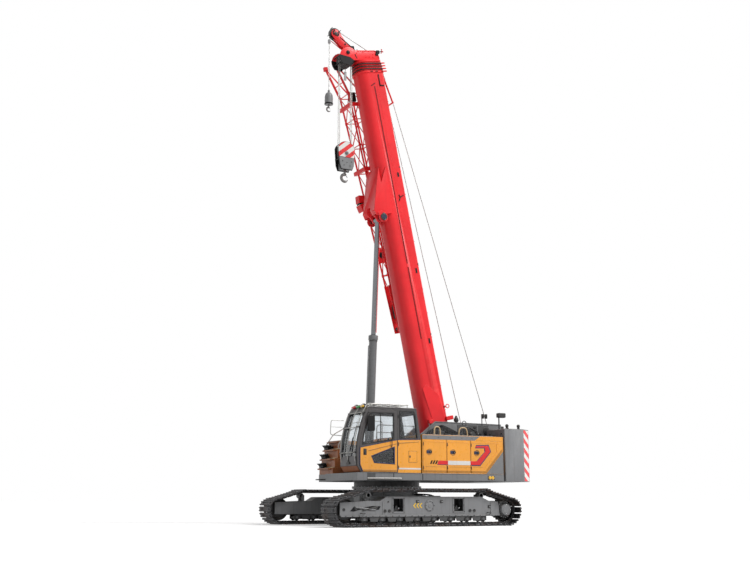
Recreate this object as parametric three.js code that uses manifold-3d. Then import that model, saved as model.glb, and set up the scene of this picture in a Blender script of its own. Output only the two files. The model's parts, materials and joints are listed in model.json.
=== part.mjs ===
// Telescopic crawler crane, in millimetres: +X forward, +Y left, +Z up.
// Everything is placed from the slew axis at ground level. The exported group is then moved
// along X so that its origin is at the centre of the footprint.
import * as THREE from 'three';
import { mergeVertices } from 'three/addons/utils/BufferGeometryUtils.js';
import Module from 'manifold-3d';

const wasm = await Module();
wasm.setup();

// ---------------------------------------------------------------- driving dimensions
const gap = 0.3; // between pieces that touch
const running = 6; // between pieces that move past each other

// crawlers
const trackLength = 5950;
const trackGauge = 4340;
const shoeWidth = 870;
const trackHeight = 1020;
const wheelRadius = 445; // outside of the shoes round the idler and the sprocket
const shoulderRadius = 200; // outside of the shoes over the carrier rollers
const shoulderX = 1880;
const beltThickness = 100;
const shoeCount = 66;
const grouserHeight = 24;
const crawlerFrameWidth = 470;
const crawlerPlate = 28;
const gaugeStroke = 850;
const beamX = 960;
const beamWidth = 250;
const beamDepth = 300;
const beamAxisZ = 575;

// carbody and slew ring
const carbodyHalfLength = 1330;
const carbodyHalfWidth = 850;
const carbodyBottom = 390;
const carbodyDeck = 830;
const carbodyTop = 1085;
const slewRingRadius = 960;
const slewRingWidth = 200;

// superstructure
const bodyWidth = 3100;
const frameBottom = 1240;
const deckTop = 1455;
const deckPlate = 30;
const frameRear = -3100;
const frameFrontLeft = 1765;
const frameFrontRight = 1465;
const pedestalSide = 80; // clear width between the boom and each pedestal plate
const pedestalPlate = 35;
const pedestalTop = 3000;
const pedestalRear = -3790;

// counterweight
const counterweightFront = -3160;
const counterweightCorner = -3830;
const counterweightRear = -4250;
const counterweightRearHalf = 1280;
const counterweightTop = 2800;
const counterweightSide = 135; // from the pedestal's plates to the recess's sides

// cab
const cabSide = 40; // from the pedestal's plate to the cab's inner wall
const cabRoof = 3270;
const cabRear = -258;
const cabWall = 50;
const doorRear = 498;
const doorThickness = 42;
const glassThickness = 8;
const cabPillar = 85;
const windscreenSill = 1750;
const windscreenHead = 3110;

// side housings
const housingFront = -310;
const housingRear = -3092;
const housingSide = 35; // from the pedestal's plate to a housing's inner wall
const housingTop = 2540;
const housingWall = 25;
const serviceDoorTop = 2408;
const serviceSeams = [-330, -1132, -1950, -3070];
const serviceDoorThickness = 40;
const slopeStartX = -2490;
const slopeEndZ = 2100;

// boom
const footPin = { x: -1790, z: 2660 };
const boomAngle = 78.4;
const boomHalfWidth = 350;
const boomTop = 230;
const boomBottom = -590;
const boomCornerRadius = 260;
const boomShoulder = 45;
const boomWall = 12;
const sectionStep = 27; // each section is smaller than the last by this much on each side
const boomTail = -300;
const baseEnd = 11440;
const collarLength = 60;
const collarPitch = 90;
const collarStep = 6;
const innerTail = 900;
const tailStep = 60;
const sectionCount = 5;

// boom head, in boom coordinates from the foot pin
const headSheave = { x: baseEnd + 460, z: -850, radius: 235 };
const rearSheave = { x: baseEnd + 550, z: 140, radius: 160 };
const tipSheave = { x: baseEnd + 1300, z: -1060, radius: 205 };
const headHalfWidth = 300;
const headPlate = 30;
const headNose = baseEnd + 680;

// luffing cylinder
const luffPin = { x: 6780, z: -740 };
const cylinderFoot = { x: 600, z: 1620 };
const barrelRadius = 120;
const barrelLength = 3920;
const barrelWall = 32;
const rodRadius = 72;
const rodLength = 4080;
const lugGap = 110; // half the clear width between a pair of lugs

// winches, ropes and the roller that guides the ropes behind the boom
const rearWinch = { x: -3345, z: 2720 };
const frontWinch = { x: -2575, z: 2690 };
const drumRadius = 205;
const flangeRadius = 285;
const flangeThickness = 20;
const drumSide = 100; // from the pedestal's plate to a drum's end
const ropeRadius = 11;
const ropeY = 150;
const guideRoller = { x: baseEnd - 1010, z: 457, radius: 24 };

// places across the body that follow from the boom's width
const pedestalInner = boomHalfWidth + pedestalSide; // half the clear width between its plates
const pedestalOuter = pedestalInner + pedestalPlate;
const counterweightRecess = pedestalOuter + counterweightSide;
const housingInner = pedestalOuter + housingSide;
const cabInnerY = pedestalOuter + cabSide;
const drumHalf = pedestalInner - drumSide;

// hooks
const hookBlockDrop = 3066; // from the head's sheaves to the block's
const ballDrop = 2137; // from the tip sheave to the ball

const mm = Math.PI / 180;
const halfBody = bodyWidth / 2;
const originX = (trackLength / 2 + counterweightRear) / 2;

// ---------------------------------------------------------------- colours
function paint(color, roughness, metalness) {
  return new THREE.MeshStandardMaterial({ color, roughness, metalness });
}
const boomRed = paint(0xe0262c, 0.45, 0.1);
const bodyOrange = paint(0xe9a23b, 0.5, 0.1);
const frameGrey = paint(0x7f7f7f, 0.6, 0.2);
const cabGrey = paint(0x3d3a3a, 0.55, 0.2);
const trackSteel = paint(0x4a4a4c, 0.6, 0.5);
const blackSteel = paint(0x222224, 0.6, 0.4);
const chrome = paint(0xd0d0d4, 0.15, 1);
const cylinderGrey = paint(0x5c5c5c, 0.5, 0.2);
const clearGlass = paint(0x9fb4bf, 0.1, 0);
const seatCloth = paint(0x2c2c30, 0.9, 0);
const ropeSteel = paint(0x8d8d8d, 0.5, 0.8);

// ---------------------------------------------------------------- shapes
function outline(points) {
  return new THREE.Shape(points.map(([a, b]) => new THREE.Vector2(a, b)));
}

function extrude(points, depth, holes = []) {
  const shape = outline(points);
  for (const hole of holes) {
    shape.holes.push(new THREE.Path(hole.map(([a, b]) => new THREE.Vector2(a, b))));
  }
  return new THREE.ExtrudeGeometry(shape, { depth, bevelEnabled: false, curveSegments: 8 });
}

// points are (x, y)
function plateZ(points, low, high, holes) {
  return extrude(points, high - low, holes).translate(0, 0, low);
}

// points are (x, z)
function plateY(points, low, high, holes) {
  return extrude(points, high - low, holes).rotateX(Math.PI / 2).translate(0, high, 0);
}

// points are (y, z)
function plateX(points, low, high, holes) {
  return extrude(points, high - low, holes)
    .rotateX(Math.PI / 2)
    .rotateZ(Math.PI / 2)
    .translate(low, 0, 0);
}

function box(x0, x1, y0, y1, z0, z1) {
  return new THREE.BoxGeometry(x1 - x0, y1 - y0, z1 - z0).translate(
    (x0 + x1) / 2,
    (y0 + y1) / 2,
    (z0 + z1) / 2,
  );
}

function circle(a, b, radius, sides = 24) {
  return Array.from({ length: sides }, (_, i) => {
    const turn = (2 * Math.PI * i) / sides;
    return [a + radius * Math.cos(turn), b + radius * Math.sin(turn)];
  });
}

function arc(a, b, radius, from, to, steps) {
  return Array.from({ length: steps + 1 }, (_, i) => {
    const turn = (from + ((to - from) * i) / steps) * mm;
    return [a + radius * Math.cos(turn), b + radius * Math.sin(turn)];
  });
}

function barX(radius, y, z, low, high, sides) {
  return plateX(circle(y, z, radius, sides), low, high);
}

function barY(radius, x, z, low, high, sides) {
  return plateY(circle(x, z, radius, sides), low, high);
}

function barZ(radius, x, y, low, high, sides) {
  return plateZ(circle(x, y, radius, sides), low, high);
}

function strut(from, to, radius, sides = 4) {
  const start = new THREE.Vector3(...from);
  const along = new THREE.Vector3(...to).sub(start);
  const turn = new THREE.Quaternion().setFromUnitVectors(
    new THREE.Vector3(0, 1, 0),
    along.clone().normalize(),
  );
  return new THREE.CylinderGeometry(radius, radius, along.length(), sides)
    .translate(0, along.length() / 2, 0)
    .applyQuaternion(turn)
    .translate(start.x, start.y, start.z);
}

// a body of revolution about Z from (radius, height) points
function turned(points, sides = 24) {
  const profile = points.map(([radius, height]) => new THREE.Vector2(radius, height));
  return new THREE.LatheGeometry(profile, sides).rotateX(Math.PI / 2);
}

function toSolid(geometry) {
  const plain = geometry.clone();
  plain.deleteAttribute('normal');
  plain.deleteAttribute('uv');
  const merged = mergeVertices(plain, 1e-3);
  return new wasm.Manifold(
    new wasm.Mesh({
      numProp: 3,
      vertProperties: new Float32Array(merged.attributes.position.array),
      triVerts: new Uint32Array(merged.index.array),
    }),
  );
}

function toGeometry(solid) {
  const mesh = solid.getMesh();
  const geometry = new THREE.BufferGeometry();
  geometry.setAttribute('position', new THREE.BufferAttribute(mesh.vertProperties, 3));
  geometry.setIndex(new THREE.BufferAttribute(mesh.triVerts, 1));
  geometry.computeVertexNormals();
  return geometry;
}

function join(...geometries) {
  return toGeometry(geometries.map(toSolid).reduce((whole, piece) => whole.add(piece)));
}

function cut(geometry, ...tools) {
  return toGeometry(tools.map(toSolid).reduce((whole, tool) => whole.subtract(tool), toSolid(geometry)));
}

const crane = new THREE.Group();

function place(name, geometry, material, parent = crane) {
  const mesh = new THREE.Mesh(geometry, material);
  mesh.name = name;
  parent.add(mesh);
  return mesh;
}

// ---------------------------------------------------------------- crawlers
// The loop that a belt takes round a set of circles, as arcs joined by straight runs.
function beltLoop(circles) {
  return circles.flatMap((now, i) => {
    const last = circles[(i + circles.length - 1) % circles.length];
    const next = circles[(i + 1) % circles.length];
    const tangent = (a, b) => {
      const dx = b.x - a.x;
      const dz = b.z - a.z;
      return Math.atan2(dz, dx) - Math.acos((a.r - b.r) / Math.hypot(dx, dz));
    };
    const from = tangent(last, now);
    let to = tangent(now, next);
    while (to < from) to += 2 * Math.PI;
    const steps = Math.max(1, Math.round(((to - from) * now.r) / 110));
    return Array.from({ length: steps + 1 }, (_, k) => {
      const turn = from + ((to - from) * k) / steps;
      return { x: now.x + now.r * Math.cos(turn), z: now.z + now.r * Math.sin(turn), turn };
    });
  });
}

function beltCircles(inset) {
  const wheelX = trackLength / 2 - wheelRadius;
  const shoulderZ = trackHeight - shoulderRadius;
  return [
    { x: -wheelX, z: wheelRadius, r: wheelRadius - inset },
    { x: wheelX, z: wheelRadius, r: wheelRadius - inset },
    { x: shoulderX, z: shoulderZ, r: shoulderRadius - inset },
    { x: -shoulderX, z: shoulderZ, r: shoulderRadius - inset },
  ];
}

// A point on the loop at a distance along it, moved in by a depth.
function onLoop(loop, distance, depth) {
  let left = distance;
  for (let i = 0; i < loop.length; i += 1) {
    const a = loop[i];
    const b = loop[(i + 1) % loop.length];
    const length = Math.hypot(b.x - a.x, b.z - a.z);
    if (left <= length && length > 0) {
      const share = left / length;
      const nx = (b.z - a.z) / length;
      const nz = -(b.x - a.x) / length;
      return [a.x + (b.x - a.x) * share - nx * depth, a.z + (b.z - a.z) * share - nz * depth];
    }
    left -= length;
  }
  return [loop[0].x, loop[0].z];
}

function loopLength(loop) {
  return loop.reduce((sum, a, i) => {
    const b = loop[(i + 1) % loop.length];
    return sum + Math.hypot(b.x - a.x, b.z - a.z);
  }, 0);
}

function trackBelt(yLow, yHigh) {
  const outer = beltLoop(beltCircles(0));
  const pitch = loopLength(outer) / shoeCount;
  const slot = pitch * 0.18;
  const shoes = Array.from({ length: shoeCount }, (_, i) => [
    onLoop(outer, i * pitch + 1, 0),
    onLoop(outer, (i + 1) * pitch - slot, 0),
    onLoop(outer, (i + 1) * pitch - slot * 0.7, grouserHeight),
    onLoop(outer, (i + 1) * pitch - slot * 0.3, grouserHeight),
  ]).flat();
  const inner = beltLoop(beltCircles(beltThickness)).map(({ x, z }) => [x, z]);
  return plateY(shoes, yLow, yHigh, [inner]);
}

const crawlerY = trackGauge / 2;
const wheelX = trackLength / 2 - wheelRadius;
const innerWheelRadius = wheelRadius - beltThickness - running;
const frameInnerY = crawlerY - crawlerFrameWidth / 2;
const frameOuterY = crawlerY + crawlerFrameWidth / 2;
const rollerRadius = 95;
const rollerZ = beltThickness + rollerRadius + running;
const rollerXs = Array.from({ length: 8 }, (_, i) => -1820 + i * 540);
const carrierRadius = 80;
const carrierXs = [1800, -1800];
const frameFrontX = 2715;
const frameRearX = -2150;

function crawlerFrame() {
  const side = [
    [frameRearX, 268],
    [frameFrontX, 300],
    [frameFrontX, 640],
    [1830, 686],
    [1515, 686],
    [1320, 800],
    [-1700, 800],
    [-1960, 690],
    [frameRearX, 690],
  ];
  const whole = plateY(side, frameInnerY, frameOuterY);
  const floorZ = rollerZ + rollerRadius + running + 8;
  const innerY = frameInnerY + crawlerPlate;
  const outerY = frameOuterY - crawlerPlate;
  const slot = box(frameRearX - 10, frameFrontX + 10, innerY, outerY, 200, floorZ);
  const hollow = box(frameRearX + 60, 2060, innerY, outerY, floorZ + crawlerPlate, 660);
  const raised = box(-1640, 1260, innerY, outerY, 640, 770);
  const idlerBay = box(2080, frameFrontX + 10, innerY, outerY, 200, 900);
  const windows = [beamX, -beamX].map((x) =>
    box(x - 150, x + 150, outerY - 10, frameOuterY + 10, beamAxisZ - 170, beamAxisZ + 170));
  const carriers = carrierXs.map((x) => {
    const z = trackHeight - beltThickness - running - carrierRadius;
    return join(
      barY(carrierRadius, x, z, crawlerY - 100, crawlerY + 100, 16),
      box(x - 45, x + 45, crawlerY - 40, crawlerY + 40, 650, z),
    );
  });
  const beams = [beamX, -beamX].map((x) =>
    box(
      x - beamWidth / 2,
      x + beamWidth / 2,
      gaugeStroke + 10,
      frameInnerY + 5,
      beamAxisZ - beamDepth / 2,
      beamAxisZ + beamDepth / 2,
    ));
  return join(cut(whole, slot, hollow, raised, idlerBay, ...windows), ...carriers, ...beams);
}

function driveSprocket() {
  const teeth = 21;
  const rim = Array.from({ length: teeth * 2 }, (_, i) => {
    const turn = (Math.PI * i) / teeth;
    const radius = i % 2 ? innerWheelRadius - 26 : innerWheelRadius;
    return [-wheelX + radius * Math.cos(turn), wheelRadius + radius * Math.sin(turn)];
  });
  return join(
    plateY(rim, crawlerY - 55, crawlerY + 55),
    barY(205, -wheelX, wheelRadius, crawlerY - 150, crawlerY + 215, 24),
    barY(165, -wheelX, wheelRadius, crawlerY + 200, crawlerY + 300, 24),
  );
}

function idlerWheel() {
  return join(
    barY(innerWheelRadius, wheelX, wheelRadius, crawlerY - 50, crawlerY + 50, 28),
    barY(innerWheelRadius - 35, wheelX, wheelRadius, crawlerY - 120, crawlerY + 120, 28),
    barY(95, wheelX, wheelRadius, crawlerY - 200, crawlerY + 200, 16),
  );
}

function trackRollers() {
  const rollers = rollerXs.map((x) =>
    barY(rollerRadius, x, rollerZ, crawlerY - 150, crawlerY + 150, 16));
  const carrier = [-1, 1].map((side) =>
    box(
      rollerXs[0] - 90,
      rollerXs[rollerXs.length - 1] + 90,
      crawlerY + side * 165 - 15,
      crawlerY + side * 165 + 15,
      rollerZ - 60,
      rollerZ + 70,
    ));
  return join(...rollers, ...carrier);
}

for (const [side, sign] of [['left', 1], ['right', -1]]) {
  const crawler = new THREE.Group();
  crawler.name = `${side}_crawler`;
  crane.add(crawler);
  const add = (name, geometry, material) => {
    const sided = sign > 0 ? geometry : mirrored(geometry);
    place(`${side}_${name}`, sided, material, crawler);
  };
  add('crawler_frame', crawlerFrame(), frameGrey);
  add('track', trackBelt(crawlerY - shoeWidth / 2, crawlerY + shoeWidth / 2), trackSteel);
  add('drive_sprocket', driveSprocket(), blackSteel);
  add('idler', idlerWheel(), blackSteel);
  add('track_rollers', trackRollers(), blackSteel);
}

// The same shape on the other side of the XZ plane, with its faces still pointing out.
function mirrored(geometry) {
  const solid = toSolid(geometry).mirror([0, 1, 0]);
  return toGeometry(solid);
}

// ---------------------------------------------------------------- carbody
const tubeEnd = frameInnerY - gaugeStroke - 20;
const tubeWall = 36;
const beamXs = [beamX, -beamX];
const collarLow = trackHeight + 15; // the wide collar under the ring stays above the tracks
const carbodyBody = join(
  box(-carbodyHalfLength, carbodyHalfLength, -carbodyHalfWidth, carbodyHalfWidth, carbodyBottom, carbodyDeck),
  plateZ(circle(0, 0, carbodyHalfWidth, 32), carbodyDeck - 5, carbodyTop),
  plateZ(circle(0, 0, slewRingRadius + 60, 32), collarLow, carbodyTop),
  ...beamXs.map((x) =>
    box(
      x - beamWidth / 2 - tubeWall,
      x + beamWidth / 2 + tubeWall,
      -tubeEnd,
      tubeEnd,
      carbodyBottom,
      beamAxisZ + beamDepth / 2 + tubeWall,
    )),
);
const carbodySockets = beamXs.map((x) =>
  box(
    x - beamWidth / 2 - running,
    x + beamWidth / 2 + running,
    -tubeEnd - 10,
    tubeEnd + 10,
    beamAxisZ - beamDepth / 2 - running,
    beamAxisZ + beamDepth / 2 + running,
  ));
const swivelHole = plateZ(circle(0, 0, 560, 24), carbodyBottom - 10, carbodyTop + 10);
const carbodyPlate = 30;
const carbodyPockets = [1, -1].map((side) => {
  const edges = [side * 600, side * (carbodyHalfWidth - carbodyPlate)];
  return box(-700, 700, Math.min(...edges), Math.max(...edges), carbodyBottom - 10, carbodyDeck - carbodyPlate);
});
place('carbody', cut(carbodyBody, ...carbodySockets, swivelHole, ...carbodyPockets), frameGrey);

const ring = plateZ(circle(0, 0, slewRingRadius, 36), carbodyTop + gap, frameBottom - running, [
  circle(0, 0, slewRingRadius - slewRingWidth, 36),
]);
place('slew_ring', ring, blackSteel);

// ---------------------------------------------------------------- superstructure frame
function mainFrame() {
  const plan = [
    [frameRear, -halfBody],
    [frameFrontRight, -halfBody],
    [frameFrontRight, -pedestalOuter],
    [frameFrontLeft, -pedestalOuter],
    [frameFrontLeft, halfBody],
    [frameRear, halfBody],
  ];
  const skirt = 20;
  const inside = [
    [frameRear + skirt, -halfBody + skirt],
    [frameFrontRight - skirt, -halfBody + skirt],
    [frameFrontRight - skirt, -pedestalOuter + skirt],
    [frameFrontLeft - skirt, -pedestalOuter + skirt],
    [frameFrontLeft - skirt, halfBody - skirt],
    [frameRear + skirt, halfBody - skirt],
  ];
  const pan = cut(plateZ(plan, frameBottom, deckTop), plateZ(inside, frameBottom - 10, deckTop - deckPlate));
  const hub = plateZ(circle(0, 0, slewRingRadius + 40, 32), frameBottom, deckTop - 5, [
    circle(0, 0, slewRingRadius - slewRingWidth - 30, 32),
  ]);
  const web = [
    [1000, frameBottom],
    [1000, 1800],
    [300, 1880],
    [-560, 2290],
    [-930, 2620],
    [-1420, pedestalTop],
    [pedestalRear, pedestalTop - 20],
    [pedestalRear, frameBottom],
  ];
  const webs = [1, -1].map((side) => {
    const inner = side * pedestalInner;
    const outer = side * pedestalOuter;
    return plateY(web, Math.min(inner, outer), Math.max(inner, outer));
  });
  const lugs = [1, -1].map((side) => {
    const low = side > 0 ? lugGap : -lugGap - 40;
    const ear = [
      [cylinderFoot.x - 190, deckTop - 5],
      [cylinderFoot.x + 190, deckTop - 5],
      ...arc(cylinderFoot.x, cylinderFoot.z, 115, 0, 180, 8),
    ];
    return plateY(ear, low, low + 40);
  });
  const tail = box(pedestalRear, frameRear + 10, -pedestalInner - 5, pedestalInner + 5, frameBottom, frameBottom + 40);
  const bulkheads = [
    box(-1010, -980, -pedestalInner - 5, pedestalInner + 5, deckTop - 5, 1950),
    box(-2150, -2120, -pedestalInner - 5, pedestalInner + 5, deckTop - 5, 2260),
    box(pedestalRear, pedestalRear + 30, -pedestalInner - 5, pedestalInner + 5, frameBottom, 2250),
  ];
  return join(pan, hub, ...webs, ...lugs, tail, ...bulkheads);
}
place('main_frame', mainFrame(), frameGrey);

const counterweightPlan = [
  [counterweightFront, halfBody],
  [counterweightCorner, halfBody],
  [counterweightRear, counterweightRearHalf],
  [counterweightRear, -counterweightRearHalf],
  [counterweightCorner, -halfBody],
  [counterweightFront, -halfBody],
  [counterweightFront, -counterweightRecess],
  [pedestalRear - gap, -counterweightRecess],
  [pedestalRear - gap, counterweightRecess],
  [counterweightFront, counterweightRecess],
];
place('counterweight', plateZ(counterweightPlan, frameBottom, counterweightTop), frameGrey);

// ---------------------------------------------------------------- winches
function winch({ x, z }) {
  const drum = barY(drumRadius, 0, 0, -drumHalf, drumHalf, 28);
  const flanges = [-1, 1].map((side) => {
    const low = side > 0 ? drumHalf - flangeThickness : -drumHalf;
    return barY(flangeRadius, 0, 0, low, low + flangeThickness, 32);
  });
  const shaft = barY(90, 0, 0, -pedestalInner + running, pedestalInner - running, 16);
  return join(drum, ...flanges, shaft).translate(x, 0, z);
}
place('rear_winch_drum', winch(rearWinch), ropeSteel);
place('front_winch_drum', winch(frontWinch), ropeSteel);

// ---------------------------------------------------------------- cab
const cabFloor = deckTop + gap;
const windscreenCurve = [
  [1765, 1640],
  [1770, 2000],
  [1735, 2350],
  [1655, 2700],
  [1545, 3030],
];
const cabProfile = [
  [cabRear, cabFloor],
  [1640, cabFloor],
  ...windscreenCurve,
  [1440, 3250],
  [1400, cabRoof],
  [-120, cabRoof],
  [cabRear - 5, 2400],
];

// The side outline of the cab moved in by a wall, for its inside and its glass.
function inset(points, amount) {
  const n = points.length;
  return points.map(([x, z], i) => {
    const [px, pz] = points[(i + n - 1) % n];
    const [nx, nz] = points[(i + 1) % n];
    const a = new THREE.Vector2(x - px, z - pz).normalize();
    const b = new THREE.Vector2(nx - x, nz - z).normalize();
    const bisector = new THREE.Vector2(-a.y - b.y, a.x + b.x);
    const reach = amount / (bisector.lengthSq() / 2);
    return [x + bisector.x * reach, z + bisector.y * reach];
  });
}

const doorOutline = [
  [doorRear, cabFloor + 15],
  [1615, cabFloor + 15],
  [1705, 1665],
  [1708, 2010],
  [1675, 2340],
  [1600, 2680],
  [1490, 3010],
  [1400, 3195],
  [doorRear, 3195],
];
const doorWindow = [
  [630, 2385],
  [1590, 2240],
  [1560, 2480],
  [1490, 2720],
  [1375, 3035],
  [1345, 3090],
  [630, 3090],
];
const doorLowWindow = [
  [615, 1715],
  [1225, 1740],
  [1300, 1895],
  [615, 2145],
];
const rearSideWindow = [
  [-140, 2430],
  [410, 2430],
  [410, 3160],
  [-20, 3160],
  [-60, 3110],
];
const boomSideWindow = [
  [0, 2250],
  [1560, 2250],
  [1500, 2600],
  [1400, 2960],
  [1330, 3100],
  [0, 3100],
];

// The windscreen's opening: how far back it is cut, and its two side edges less a gap.
const windscreenBack = 1300;
function frontSpan(space) {
  return [cabInnerY + cabPillar + space, halfBody - cabPillar - space];
}

function cabShell() {
  const outside = plateY(cabProfile, cabInnerY, halfBody);
  const inside = plateY(inset(cabProfile, cabWall), cabInnerY + cabWall, halfBody - cabWall);
  const doorHole = plateY(inset(doorOutline, -running), halfBody - cabWall - 20, halfBody + 20);
  const sideHole = plateY(rearSideWindow, halfBody - cabWall - 20, halfBody + 20);
  const boomSideHole = plateY(boomSideWindow, cabInnerY - 20, cabInnerY + cabWall + 20);
  const frontHole = box(windscreenBack, frameFrontLeft + 100, ...frontSpan(0), windscreenSill, windscreenHead);
  const rearHole = box(cabRear - 60, 100, cabInnerY + 150, halfBody - 150, 2450, 3100);
  const roofHole = box(350, 1150, cabInnerY + 220, halfBody - 220, 3150, 3400);
  return cut(outside, inside, doorHole, sideHole, boomSideHole, frontHole, rearHole, roofHole);
}
place('cab_shell', cabShell(), cabGrey);

// The windscreen is a strip along the cab's front, set just inside its opening.
function windscreen() {
  const depth = 20;
  const front = ([x]) => x > windscreenBack + 80;
  const curve = inset(cabProfile, depth).filter(front);
  const back = inset(cabProfile, depth + glassThickness).filter(front);
  const strip = [...curve, ...back.reverse()];
  const whole = plateY(strip, ...frontSpan(gap));
  const keep = box(
    windscreenBack,
    frameFrontLeft + 100,
    0,
    halfBody,
    windscreenSill + gap,
    windscreenHead - gap,
  );
  return toGeometry(toSolid(whole).intersect(toSolid(keep)));
}
place('windscreen', windscreen(), clearGlass);

const sidePane = halfBody - cabWall / 2;
place(
  'rear_side_glass',
  plateY(inset(rearSideWindow, gap), sidePane, sidePane + glassThickness),
  clearGlass,
);
place(
  'boom_side_glass',
  plateY(inset(boomSideWindow, gap), cabInnerY + 20, cabInnerY + 20 + glassThickness),
  clearGlass,
);

const operatorY = (cabInnerY + halfBody) / 2;
const cabDeck = cabFloor + cabWall + gap;
const cushionTop = 2080;
const seatHalf = 240;
const seat = join(
  box(180, 700, operatorY - seatHalf, operatorY + seatHalf, cushionTop - 120, cushionTop),
  plateY(
    [[180, cushionTop - 80], [300, cushionTop - 80], [200, cushionTop + 620], [90, cushionTop + 620]],
    operatorY - seatHalf + 10,
    operatorY + seatHalf - 10,
  ),
  box(300, 620, operatorY - 160, operatorY + 160, cabDeck, cushionTop - 110),
);
place('operator_seat', seat, seatCloth);

const console = join(
  box(1260, 1420, operatorY - 170, operatorY + 170, cabDeck, cushionTop - 100),
  box(1240, 1440, operatorY - 270, operatorY + 270, cushionTop - 120, cushionTop + 40),
);
place('control_console', console, cabGrey);

// ---------------------------------------------------------------- cab door
function cabDoor() {
  const leaf = plateY(doorOutline, halfBody - doorThickness, halfBody);
  const windows = [doorWindow, doorLowWindow].map((hole) =>
    plateY(hole, halfBody - doorThickness - 10, halfBody + 10));
  return cut(leaf, ...windows);
}
place('cab_door', cabDoor(), bodyOrange);
const doorPane = halfBody - doorThickness / 2;
place('door_glass', plateY(inset(doorWindow, gap), doorPane, doorPane + glassThickness), clearGlass);
place('door_low_glass', plateY(inset(doorLowWindow, gap), doorPane, doorPane + glassThickness), clearGlass);

// ---------------------------------------------------------------- side housings
function housing() {
  const side = [
    [housingRear, deckTop + gap],
    [housingFront, deckTop + gap],
    [housingFront, housingTop],
    [housingRear, housingTop],
  ];
  const whole = plateY(side, housingInner, halfBody);
  const w = housingWall;
  const room = box(housingRear + w, housingFront - w, housingInner + w, halfBody - w, deckTop + gap + w, housingTop - w);
  const doorHoles = serviceDoors().map((points) =>
    plateY(inset(points, -running / 2), halfBody - serviceDoorThickness - 5, halfBody + 20));
  return cut(whole, room, ...doorHoles);
}

// The outlines of the three service doors, front to rear.
function serviceDoors() {
  const low = deckTop + 18;
  const spans = serviceSeams.slice(1).map((rear, i) => [serviceSeams[i] - 3, rear + 3]);
  return spans.map(([front, rear], i) => {
    if (i < 2) return [[rear, low], [front, low], [front, serviceDoorTop], [rear, serviceDoorTop]];
    return [
      [rear, slopeEndZ],
      [slopeStartX, low],
      [front, low],
      [front, serviceDoorTop],
      [rear, serviceDoorTop],
    ];
  });
}

const doorNames = ['front_service_door', 'middle_service_door', 'rear_service_door'];
for (const [side, sign] of [['left', 1], ['right', -1]]) {
  const put = (name, geometry, material) =>
    place(`${side}_${name}`, sign > 0 ? geometry : mirrored(geometry), material);
  put('housing', housing(), bodyOrange);
  serviceDoors().forEach((points, i) => {
    put(doorNames[i], plateY(points, halfBody - serviceDoorThickness, halfBody), bodyOrange);
  });
}

const engineFloor = deckTop + gap + housingWall + gap;
place(
  'engine',
  box(housingRear + 190, -1600, -halfBody + 220, -housingInner - 230, engineFloor, housingTop - 360),
  blackSteel,
);
const tankWall = 12;
const tankRear = housingFront + 25;
const tankFront = 900;
const tankTop = housingTop - 120;
const fuelTank = cut(
  box(tankRear, tankFront, -halfBody, -housingInner, deckTop + gap, tankTop),
  box(
    tankRear + tankWall,
    tankFront - tankWall,
    -halfBody + tankWall,
    -housingInner - tankWall,
    deckTop - 50,
    tankTop - tankWall,
  ),
);
place('fuel_tank', fuelTank, bodyOrange);

// Stepped tool boxes that lead up to the deck from the front right corner.
function stepBoxes() {
  const steps = [[1460, 1650], [1390, 1920], [1300, 2190], [1160, 2440]];
  const [[stepFront, stepTop]] = steps;
  const wall = 15;
  const outerY = -halfBody + 20;
  const innerY = -housingInner - 120;
  const boxes = steps.map(([front, top]) =>
    box(tankFront + gap, front, outerY, innerY, deckTop + gap, top));
  const hollow = box(
    tankFront + wall,
    stepFront - wall,
    outerY + wall,
    innerY - wall,
    deckTop - 20,
    stepTop - 50,
  );
  const treads = steps.map(([front, top]) =>
    box(front - 40, front + 110, outerY + 100, innerY - 100, top - 60, top - 20));
  return cut(join(...boxes, ...treads), hollow);
}
place('step_boxes', stepBoxes(), bodyOrange);

// ---------------------------------------------------------------- boom
const boom = new THREE.Group();
boom.position.set(footPin.x, 0, footPin.z);
boom.rotation.y = -boomAngle * mm;
crane.add(boom);

// The section of a boom tube, (y, z), smaller by an inset on every side.
function boomSection(insetBy) {
  const half = boomHalfWidth - insetBy;
  const radius = boomCornerRadius - insetBy;
  const centreY = half - radius;
  const centreZ = boomBottom + insetBy + radius;
  const top = boomTop - insetBy;
  return [
    [half - boomShoulder, top],
    [-half + boomShoulder, top],
    [-half, top - boomShoulder],
    ...arc(-centreY, centreZ, radius, 180, 270, 6),
    ...arc(centreY, centreZ, radius, 270, 360, 6),
    [half, top - boomShoulder],
  ];
}

function boomTube(insetBy, from, to) {
  return plateX(boomSection(insetBy), from, to, [boomSection(insetBy + boomWall)]);
}

function collar(outerInset, innerInset, from, to) {
  return plateX(boomSection(outerInset), from, to, [boomSection(innerInset)]);
}

const jib = {
  wideX: baseEnd - 440,
  narrowX: baseEnd - 7140,
  tipX: baseEnd - 8140,
  legX: baseEnd + 560,
  legZ: -985,
  wide: { yNear: -boomHalfWidth - 150, yFar: -boomHalfWidth - 750, low: -650, high: -200 },
  narrow: { yNear: -boomHalfWidth - 250, yFar: -boomHalfWidth - 550, low: -330, high: -90 },
};
const jibBays = 8;

// Arms on the boom's right side that carry the stowed jib under its lower chords.
function jibRest(x) {
  const share = (jib.wideX - x) / (jib.wideX - jib.narrowX);
  const low = jib.wide.low + (jib.narrow.low - jib.wide.low) * share - 36 - running;
  return join(
    box(x - 60, x + 60, jib.wide.yFar + 20, -boomHalfWidth + 4, low - 90, low),
    box(x - 60, x + 60, -boomHalfWidth - 30, -boomHalfWidth + 4, low - 90, -60),
  );
}

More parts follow.
